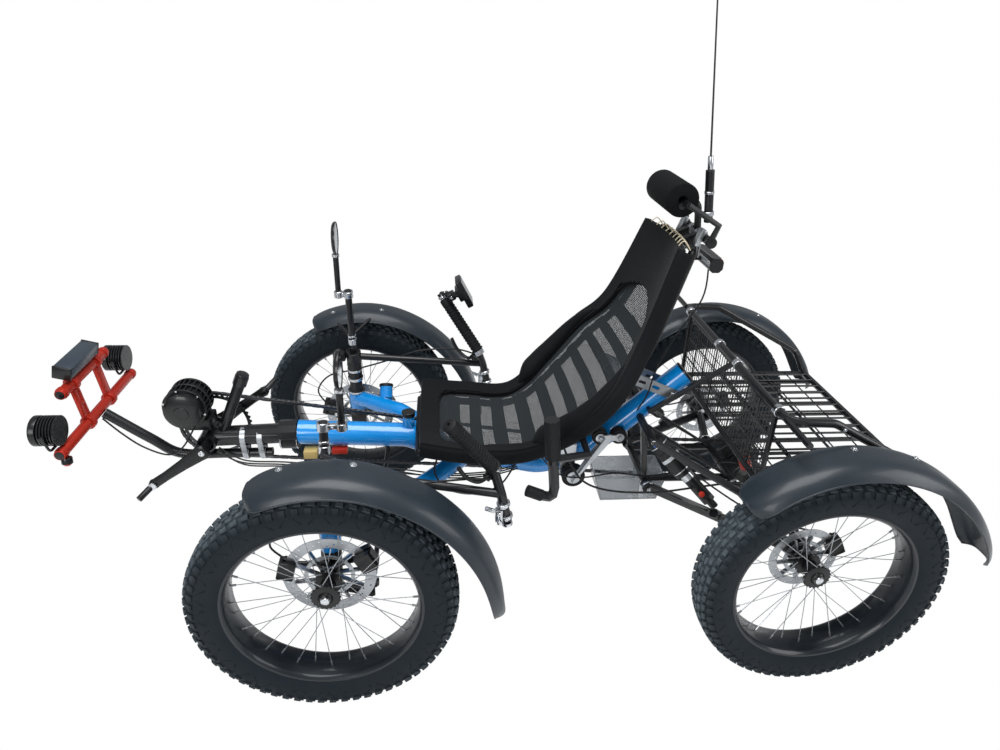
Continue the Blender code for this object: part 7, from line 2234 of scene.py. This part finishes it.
class LampRack:
    """The red anodised frame at the front with two finned lamps and a light bar."""

    rear = (1.136, 0.204, 0.51)
    front = (1.15, 0.117, 0.614)
    arm_y = 0.058
    bar_middle = (1.15, 0.016, 0.654)

    def tube(self, end: tuple[float, float, float]) -> list[Piece]:
        """One cross tube with its stepped ends.

        Args:
            end: the tube's forward place, half length and height.

        Returns:
            The tube and its rings.
        """
        x, half, z = end
        parts = [bar((x, -half, z), (x, half, z), 0.0123, 36, 0.0012)]
        for side in SIDES:
            parts.append(ring_on((x, side * (half - 0.012), z), ACROSS, 0.012, 0.0142, 0.01))
            parts.append(ring_on((x, side * self.arm_y, z), ACROSS, 0.012, 0.0176, 0.015))
        return parts

    def plate(self, side: int) -> Piece:
        """The pocketed arm between the two tubes.

        Args:
            side: 1 for the rider's left, -1 for the right.

        Returns:
            The arm.
        """
        low, high = (Vector((end[0], side * self.arm_y, end[2])) for end in (self.rear, self.front))
        run = high - low
        arm = block((0.026, 0.0098, run.length), (low + high) / 2, 0.0012)
        arm.data.transform(Matrix.Translation(-row((low + high) / 2)))
        pockets = [block((0.014, 0.006, 0.036), (-DATUM_X, 0.006 * side, step), 0.001)
                   for step in (-0.022, 0.022)]
        carve(arm, join("cutter", pockets))
        return moved(arm, Matrix.Translation(row((low + high) / 2)) @ turn_to(run))

    def pod(self, side: int) -> tuple[list[Piece], Piece]:
        """A round lamp: finned drum, face ring, glass and bracket.

        Args:
            side: 1 for the rider's left, -1 for the right.

        Returns:
            The dark parts and the glass.
        """
        middle = Vector((1.156, side * 0.184, 0.563))
        profile = [(0.0, -0.026)]
        for step in range(6):
            start = -0.026 + step * 0.0062
            profile += [(0.0335, start), (0.034, start + 0.0006), (0.0335, start + 0.003),
                        (0.027, start + 0.0032), (0.027, start + 0.006)]
        profile += [(0.0335, 0.012), (0.034, 0.013), (0.034, 0.025), (0.033, 0.026), (0.029, 0.026),
                    (0.0285, 0.0225), (0.0, 0.0225)]
        drum = lathe("drum", profile, middle, AHEAD, 48)
        glass = lathe("glass", [(0.0, 0.025), (0.02, 0.0246), (0.0284, 0.0232), (0.0284, 0.0228),
                                (0.0, 0.0228)], middle, AHEAD, 48)
        yoke = pipe("yoke", bent([middle + Vector((-0.004, 0.036 * side, 0)),
                                  middle + Vector((-0.01, 0.03 * side, -0.036)),
                                  middle + Vector((-0.01, -0.03 * side, -0.036)),
                                  middle + Vector((-0.004, -0.036 * side, 0))], 0.012), 0.003, 10)
        knobs = [bar(middle + Vector((-0.004, across * 0.0325, 0)),
                     middle + Vector((-0.004, across * 0.04, 0)), 0.006, 20, 0.0008) for across in SIDES]
        return [drum, yoke, *knobs], glass

    def light_bar(self) -> None:
        """The smooth extrusion with its end caps and its lens."""
        turn = pitched(-14)
        x, middle, z = self.bar_middle
        case = block((0.04, 0.142, 0.031), self.bar_middle, 0.005, turn)
        fit(soften(case), "light_bar_case", LAMP_GREY, "light_bar")
        caps = [block((0.0408, 0.005, 0.0318), (x, middle + side * 0.0716, z), 0.004, turn)
                for side in SIDES]
        group(caps, "light_bar_caps", LAMP_BLACK)
        lens = block((0.002, 0.124, 0.022), (1.1694, 0.016, 0.6588), 0.0008, turn)
        fit(lens, "light_bar_lens", LENS_GLASS)

    def build(self) -> None:
        """Make the frame and every lamp."""
        parts = [*self.tube(self.rear), *self.tube(self.front)]
        parts += [self.plate(side) for side in SIDES]
        group(parts, "lamp_rack_tubes", RED_ANODISED, "light_frame")
        ends = [bar((x, side * half, z), (x, side * (half + 0.0012), z), 0.0098, 28, 0.0004)
                for x, half, z in (self.rear, self.front) for side in SIDES]
        ends += [bolt((x, side * 0.0655, z), (0, side, 0), 0.0042)
                 for x, _, z in (self.rear, self.front) for side in SIDES]
        group(ends, "lamp_rack_ends", LAMP_BLACK)
        for side_name, side in LEFT_AND_RIGHT:
            parts, glass = self.pod(side)
            group(parts, f"pod_case_{side_name}", LAMP_BLACK, f"pod_lamp_{side_name}")
            fit(glass, f"pod_glass_{side_name}", LENS_GLASS)
        self.light_bar()
        place = (1.128, 0.196, 0.49), (0, 0.2, -1), 28
        lens = lathe("lens", [(0.0, 0.01), (0.006, 0.0095), (0.0095, 0.006), (0.01, 0.0), (0.0, 0.0)], *place)
        cup = lathe("cup", [(0.0, -0.01), (0.0105, -0.01), (0.0115, -0.008), (0.0115, 0.004), (0.0102, 0.004),
                            (0.0102, 0.0), (0.0, 0.0)], *place)
        fit(lens, "small_red_lens", RED_LENS)
        fit(cup, "small_lamp_cup", LAMP_BLACK)


# Rear end


class Rack:
    """The cargo rack: bent rim tubes, slats, cross wires and the woven wall."""

    wall_x = -0.436
    rim_z = 0.651

    def build(self) -> None:
        """Draw the rack's tubes smooth and weave its wall."""
        dress("cargo_rack", COATED_STEEL, 0.0)
        rim = []
        for side in SIDES:
            rim.append(pipe("rim", bent([(self.wall_x, 0, self.rim_z), (self.wall_x, side * 0.34, self.rim_z),
                                         (-0.542, side * 0.34, 0.646), (-0.816, side * 0.34, 0.5)], 0.045),
                            0.0096, 20))
        fit(join("rim", rim), "rack_rim", COATED_STEEL)
        slats = [((self.wall_x, y, 0.456), (-0.824, y, 0.456))
                 for y in (-0.262 + 0.0375 * step for step in range(15))]
        fit(bars("slats", slats, 0.003, 10), "rack_slats", COATED_STEEL)
        wires = [((x, -0.283, 0.4512), (x, 0.283, 0.4512)) for x in (-0.5, -0.566, -0.632, -0.698, -0.764)]
        fit(bars("cross_wires", wires, 0.0018, 8), "rack_cross_wires", COATED_STEEL)
        dress("rack_wall", COATED_STEEL, 0.0)
        runs = [((self.wall_x, y, 0.459), (self.wall_x, y, 0.64))
                for y in (-0.28 + 0.014 * step for step in range(41))]
        runs += [((self.wall_x, -0.284, z), (self.wall_x, 0.284, z))
                 for z in (0.47 + 0.033 * step for step in range(6))]
        fit(bars("weave", runs, 0.0011, 6), "wall_weave", COATED_STEEL)
        clamps = [ring_on((self.wall_x, side * y, self.rim_z), ACROSS, 0.0098, 0.0132, 0.016)
                  for side in SIDES for y in (0.29, 0.06)]
        clamps += [bolt((-0.56, side * 0.35, 0.636), (0, side, 0), 0.0042) for side in SIDES]
        group(clamps, "rack_clamps", BRIGHT_STEEL)


class Shock:
    """The air dampers: a black can with bright rings, a plain label and two dials."""

    def build(self) -> None:
        """Make both dampers."""
        for side_name, side in LEFT_AND_RIGHT:
            top, low = Vector((-0.215, side * 0.112, 0.488)), Vector((-0.372, side * 0.225, 0.34))
            way = (low - top).normalized()
            length = (low - top).length
            profile = [(0.0, 0.016), (0.014, 0.016), (0.02, 0.022), (0.0238, 0.026), (0.024, 0.036),
                       (0.0222, 0.038), (0.0222, 0.06), (0.024, 0.062), (0.024, length * 0.53),
                       (0.0225, length * 0.55), (0.016, length * 0.55), (0.016, length * 0.86),
                       (0.011, length * 0.9), (0.0, length * 0.9)]
            can = lathe("can", profile, top, way, 40)
            fit(can, f"shock_can_{side_name}", BLACK_ALLOY)
            dress(f"shock_{side_name}", BLACK_ALLOY, 0.0006)
            bands = [ring_on(top + way * reach, way, 0.016, 0.0243, 0.003) for reach in (0.04, length * 0.5)]
            bands.append(lathe("rod", [(0.0, length * 0.56), (0.0164, length * 0.56), (0.0164, length * 0.62),
                                       (0.0, length * 0.62)], top, way, 32))
            group(bands, f"shock_bands_{side_name}", BRIGHT_STEEL)
            label = ring_on(top + way * length * 0.335, way, 0.016, 0.0246, 0.012)
            fit(soften(label), f"shock_labels_{side_name}", LABEL_FILM)
            out = Vector((0, side, 0)) - way * way.y * side
            blue = lathe("dial", [(0.0, 0.0), (0.0085, 0.0), (0.009, 0.001), (0.009, 0.0065), (0.008, 0.0075),
                                  (0.0, 0.0075)], top + way * 0.03 + out.normalized() * 0.023, out, 20)
            red = lathe("dial", [(0.0, 0.0), (0.007, 0.0), (0.0072, 0.006), (0.0, 0.0068)],
                        top + way * length * 0.8 + out.normalized() * 0.0155, out, 20)
            fit(blue, f"shock_blue_dial_{side_name}", BLUE_ANODISED)
            fit(red, f"shock_red_dial_{side_name}", RED_ANODISED)


class RearEnd:
    """Arms, subframe, differential, idlers, tray and lamp at the back."""

    def bright_ends(self) -> None:
        """Rod ends and bolts where the arms meet the subframe."""
        parts = []
        for side in SIDES:
            for x in (-0.235, -0.47):
                parts.append(bolt((x, side * 0.1245, 0.322), (0, side, 0), 0.0062, 0.005))
                parts.append(ring_on((x, side * 0.112, 0.322), ACROSS, 0.01, 0.0162, 0.008))
            parts.append(bolt((-0.215, side * 0.156, 0.488), (0, side, 0), 0.0062, 0.005))
            parts.append(bolt((-0.52, side * 0.3345, 0.362), (0, side, 0), 0.0062, 0.005))
            parts.append(ring_on((-AXLE_X, side * 0.309, AXLE_Z), ACROSS, 0.018, 0.0312, 0.004))
        group(parts, "rear_rod_ends", BRIGHT_STEEL)

    def idlers(self) -> None:
        """The chain's rollers with their bright link plates and bolts."""
        dress("chain_idlers", BARE_ALLOY, 0.0008)
        rollers, plates = [], []
        for x, z, radius in ((-0.048, 0.323, 0.0302), (-0.158, 0.445, 0.0202), (-0.108, 0.445, 0.0202)):
            for side in SIDES:
                lower = [(0.008, -0.0112), (radius, -0.0112), (radius + 0.0012, -0.009),
                         (radius + 0.0006, -0.003)]
                rollers.append(lathe("roller", even(lower), (x, side * 0.052, z), ACROSS, 40, ring=True))
                plates.append(bolt((x, side * 0.0684, z), (0, side, 0), 0.0062))
                plates.append(bar((x, side * 0.064, z), (x, side * 0.0668, z), radius * 0.62, 28, 0.0008))
        group(rollers, "idler_rollers", GRIP_RUBBER)
        for side in SIDES:
            low, high = Vector((-0.048, side * 0.0672, 0.323)), Vector((-0.112, side * 0.0672, 0.44))
            plates.append(moved(block((0.022, 0.0032, (high - low).length + 0.022), HOME, 0.0012),
                                Matrix.Translation(row((low + high) / 2)) @ turn_to(high - low)))
        group(plates, "idler_plates", BARE_ALLOY)

    def tray(self) -> None:
        """The smoked tray with its bright bracket."""
        dress("tray", CLEAR_GREY, 0.001)
        bracket = [block((0.03, 0.112, 0.002), (-0.25, 0.0, 0.3102), 0.0006),
                   block((0.026, 0.0022, 0.062), (-0.246, 0.0572, 0.276), 0.0006),
                   bolt((-0.246, 0.0583, 0.29), ACROSS, 0.004), bolt((-0.246, 0.0583, 0.262), ACROSS, 0.004)]
        group(bracket, "tray_bracket", BARE_ALLOY)

    def lamp(self) -> None:
        """The rear lamp's red face, its gloss top and its bracket."""
        dress("rear_lamp", LAMP_BLACK, 0.002)
        lens = block((0.0016, 0.104, 0.022), (-0.3528, 0.0, 0.905), 0.0006)
        fit(lens, "rear_lamp_lens", RED_LENS)
        pale = block((0.0345, 0.1125, 0.013), (-0.336, 0.0, 0.908), 0.003)
        fit(soften(pale), "rear_lamp_band", LABEL_FILM)
        gloss = block((0.022, 0.108, 0.001), (-0.336, 0.0, 0.9214), 0.0)
        fit(gloss, "rear_lamp_film", BROWN_GLOSS)
        bracket = [block((0.003, 0.02, 0.044), (-0.308, 0.0, 0.93), 0.0008),
                   bolt((-0.306, 0.0, 0.938), AHEAD, 0.004)]
        group(bracket, "rear_lamp_bracket", BARE_ALLOY)

    def aerial(self) -> None:
        """The whip with its sleeve and bright ferrule."""
        foot, tip = Vector((-0.322, 0, 0.99)), Vector((-0.222, 0, 1.75))
        way = (tip - foot).normalized()

        def at(level: float) -> Vector:
            """The whip's axis at a height."""
            return foot + (tip - foot) * ((level - 0.99) / 0.76)

        sleeve = bar(at(0.992), at(1.11), 0.01, 28, 0.001)
        fit(sleeve, "aerial_sleeve", COATED_STEEL)
        ferrule = join("ferrule", [bar(at(1.11), at(1.14), 0.0062, 24, 0.0008),
                                   ring_on(at(1.06), way, 0.01, 0.0112, 0.006),
                                   ring_on(at(1.012), way, 0.01, 0.0122, 0.01)])
        fit(soften(ferrule), "aerial_ferrule", BRIGHT_STEEL)
        fit(bar(at(1.138), tip, 0.0023, 12, 0.0, 0.0012), "aerial_whip", COATED_STEEL, "aerial")

    def diff(self) -> None:
        """The differential's ribs and its red cover."""
        dress("differential", BLACK_ALLOY, 0.001)
        ribs = [ring_on((-AXLE_X, y, AXLE_Z), ACROSS, 0.045, 0.0482, 0.004)
                for y in (-0.034, -0.017, 0.017, 0.034)]
        fit(join("ribs", ribs), "differential_ribs", BLACK_ALLOY)
        cover = bar((-0.456, 0.15, 0.44), (-0.47, 0.15, 0.404), 0.015, 24, 0.002)
        fit(soften(cover), "drive_red_cover", RED_ANODISED)

    def side_lever(self) -> None:
        """The lever's soft sleeve and rubber toe."""
        dress("side_lever", COATED_STEEL, 0.0012)
        sleeve = pipe("sleeve", [(0.066, 0.292, 0.636), (0.0575, 0.292, 0.54)], 0.0172, 28)
        toe = pipe("toe", [(0.076, 0.292, 0.438), (0.11, 0.292, 0.453)], 0.0135, 20)
        fit(join("rubber", [sleeve, toe]), "side_lever_rubber", GRIP_RUBBER)

    def build(self) -> None:
        """Make every piece of the rear end."""
        for side_name, _ in LEFT_AND_RIGHT:
            dress(f"rear_arm_{side_name}", COATED_STEEL, 0.0008)
        dress("rear_subframe", COATED_STEEL, 0.0006)
        dress("headrest_mount", BLACK_ALLOY, 0.0006)
        self.bright_ends()
        self.idlers()
        self.tray()
        self.lamp()
        self.aerial()
        self.diff()
        self.side_lever()


# Cables and hoses


class Cables:
    """The cables and hoses that run between parts, each with its own length."""

    def run(self, name: str, points: Sequence[Point], radius: float, body: Body = Body.FRAME) -> None:
        """Args:
            name: the piece's name.
            points: places that it passes, in the axle-centred frame.
            radius: its radius.
            body: the body that both its ends are fixed to.
        """
        route = curve_through(points, 6)
        item = pipe(name, route, radius, 12)
        fit(item, name, CABLE_SLEEVE, body=body)

    def build(self) -> None:
        """Lay every cable and hose."""
        for side_name, side in LEFT_AND_RIGHT:
            self.run(f"brake_hose_{side_name}",
                     [(0.196, side * 0.318, 0.505), (0.262, side * 0.333, 0.516), (0.37, side * 0.338, 0.506),
                      (0.47, side * 0.342, 0.47), (0.56, side * 0.35, 0.44), (0.636, side * 0.354, 0.418),
                      (0.672, side * 0.352, 0.37), (0.652, side * 0.346, 0.33)],
                     0.0024, Body(f"knuckle_{side_name}"))
            self.run(f"rear_hose_{side_name}", [(-0.215, side * 0.084, 0.488), (-0.3, side * 0.15, 0.42),
                                                (-0.4, side * 0.235, 0.372), (-0.48, side * 0.3, 0.352),
                                                (-0.56, side * 0.338, 0.352), (-0.598, side * 0.346, 0.338)],
                     0.0022)
        self.run("long_loop", [(0.02, 0.15, 0.52), (-0.006, 0.19, 0.455), (-0.045, 0.207, 0.408),
                               (-0.12, 0.214, 0.386), (-0.23, 0.212, 0.38), (-0.34, 0.202, 0.386),
                               (-0.43, 0.185, 0.382), (-0.487, 0.15, 0.35)], 0.0026)
        self.run("lamp_cable", [(0.905, 0.03, 0.478), (0.942, 0.036, 0.42), (0.985, 0.026, 0.392),
                                (1.04, 0.022, 0.412), (1.085, 0.018, 0.448), (1.128, 0.012, 0.492)], 0.0022)
        for step, level in enumerate((0.364, 0.357, 0.369)):
            shift = 0.009 * step
            self.run(f"boom_cable_{step + 1}", [(0.862, 0.018 + shift, 0.406),
                                                (0.8, 0.03 + shift, level + 0.01),
                                                (0.7, 0.036 + shift, level + 0.006),
                                                (0.56, 0.048 + shift, level), (0.42, 0.058 + shift,
                                                level - 0.006), (0.3, 0.062 + shift, 0.342),
                                                (0.18, 0.052 + shift, 0.338), (0.1, 0.022 + shift, 0.338)],
                     0.002)
        self.run("rear_lamp_cable", [(-0.334, 0.02, 0.89), (-0.318, 0.052, 0.82), (-0.262, 0.058, 0.72),
                                     (-0.232, 0.052, 0.63), (-0.222, 0.044, 0.56), (-0.206, 0.03, 0.506)],
                 0.002)
        self.run("seat_loop", [(0.3, 0.13, 0.462), (0.318, 0.158, 0.42), (0.288, 0.176, 0.378),
                               (0.222, 0.178, 0.362), (0.16, 0.166, 0.376), (0.124, 0.148, 0.42),
                               (0.112, 0.142, 0.446)], 0.0022)
        self.run("shifter_cable", [(0.06, 0.142, 0.446), (0.01, 0.15, 0.395), (-0.06, 0.12, 0.362),
                                   (-0.15, 0.09, 0.352), (-0.24, 0.088, 0.34), (-0.36, 0.07, 0.345),
                                   (-0.47, 0.04, 0.345), (-0.52, 0.022, 0.322)], 0.002)


# The photograph's studio and the whole scene


class Studio:
    """The photograph's camera, its white sweep and its soft light."""

    eye = Vector((0.1841, 1.5484, 1.3866))
    aim = Vector((0.0266, 0.0, 0.5963))
    roll = 0.0378
    lens = 24.87
    sensor = 36.0

    def camera(self) -> None:
        """Set the camera where the photograph was taken from."""
        data = bpy.data.cameras.new("photo_camera")
        data.lens, data.sensor_width, data.sensor_fit = self.lens, self.sensor, "HORIZONTAL"
        data.clip_start, data.clip_end = 0.05, 60.0
        camera = bpy.data.objects.new("photo_camera", data)
        bpy.context.scene.collection.objects.link(camera)
        ahead = (self.aim - self.eye).normalized()
        right = ahead.cross(Vector(UPWARD)).normalized()
        up = right.cross(ahead)
        cos, sin = math.cos(self.roll), math.sin(self.roll)
        across, above = cos * right + sin * up, cos * up - sin * right
        turn = Matrix((across, above, -ahead)).transposed().to_4x4()
        camera.matrix_world = Matrix.Translation(self.eye) @ turn
        bpy.context.scene.camera = camera

    def lamp(self, name: str, place: Place, size: float, power: float, aim: Place) -> None:
        """Hang one soft box that looks at a point.

        Args:
            name: the lamp's name.
            place: where it hangs.
            size: the length of its sides.
            power: its power in watts.
            aim: the point that it looks at.
        """
        data = bpy.data.lights.new(name, "AREA")
        data.shape, data.size, data.energy = "SQUARE", size, power
        lamp = bpy.data.objects.new(name, data)
        bpy.context.scene.collection.objects.link(lamp)
        run = Vector(aim) - Vector(place)
        lamp.matrix_world = Matrix.Translation(Vector(place)) @ run.to_track_quat("-Z",
            "Y").to_matrix().to_4x4()

    def show_card(self, tree: Tree, surface: Node, kind: str, output: str) -> None:
        """Let the camera see plain white card in place of a surface.

        Args:
            tree: the node tree of the floor or the world.
            surface: the node that lights the object.
            kind: the type of the node that shows the card.
            output: the tree's output node.
        """
        card = add_node(tree, kind, {"Color": linear(WHITE_CARD), "Strength": 1.0})
        seen = add_node(tree, "LightPath")
        mixed = add_node(tree, "MixShader", {0: seen.outputs["Is Camera Ray"], 1: surface.outputs[0],
                                             2: card.outputs[0]})
        tree.links.new(mixed.outputs[0], tree.nodes[output].inputs["Surface"])

    def sweep(self) -> None:
        """Lay the pale floor and give the world a white that the camera sees as plain card."""
        bpy.ops.object.select_all(action="DESELECT")
        bpy.ops.mesh.primitive_plane_add(size=30.0, location=(0, 0, -0.0005))
        floor = bpy.context.object
        floor.name = "studio_floor"
        paper = bpy.data.materials.new("white_paper")
        paper.use_nodes = True
        tree = paper.node_tree
        shader = tree.nodes["Principled BSDF"]
        shader.inputs["Base Color"].default_value = linear("#f2f2f2")
        shader.inputs["Roughness"].default_value = 0.9
        self.show_card(tree, shader, "Emission", "Material Output")
        floor.data.materials.append(paper)
        world = bpy.data.worlds.new("white_room")
        bpy.context.scene.world = world
        world.use_nodes = True
        tree = world.node_tree
        room = tree.nodes["Background"]
        room.inputs["Color"].default_value = linear("#eef1f4")
        room.inputs["Strength"].default_value = 0.42
        self.show_card(tree, room, "Background", "World Output")

    def build(self) -> None:
        """Set camera, sweep and lamps."""
        self.camera()
        self.sweep()
        self.lamp("top_box", (0.2, 0.4, 3.2), 2.2, 95.0, (0, 0, 0.5))
        self.lamp("near_box", (1.6, 3.0, 1.8), 1.4, 42.0, (0, 0, 0.5))
        self.lamp("tail_box", (-2.6, 1.2, 1.7), 1.5, 28.0, (-0.3, 0, 0.5))
        bpy.context.scene.view_settings.view_transform = "Standard"


def main() -> None:
    """Set the studio and dress every part."""
    logging.basicConfig(level=logging.INFO, format="%(message)s")
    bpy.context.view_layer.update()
    for maker in (Studio(), WheelSet(), Seat(), Headrest(), SeatChannel(), Mudguards(), MainFrame(), Boom(),
                  Motor(), Drive(), MirrorPost("left", 1, 0.618, 0.712, -0.039),
                  MirrorPost("right", -1, 0.715, 0.832, 0.026), Handlebar("left", 1), Handlebar("right", -1),
                  Knuckle(), Display(), LampRack(), Rack(), Shock(), RearEnd(), Cables()):
        maker.build()


if __name__ == "__main__":
    main()
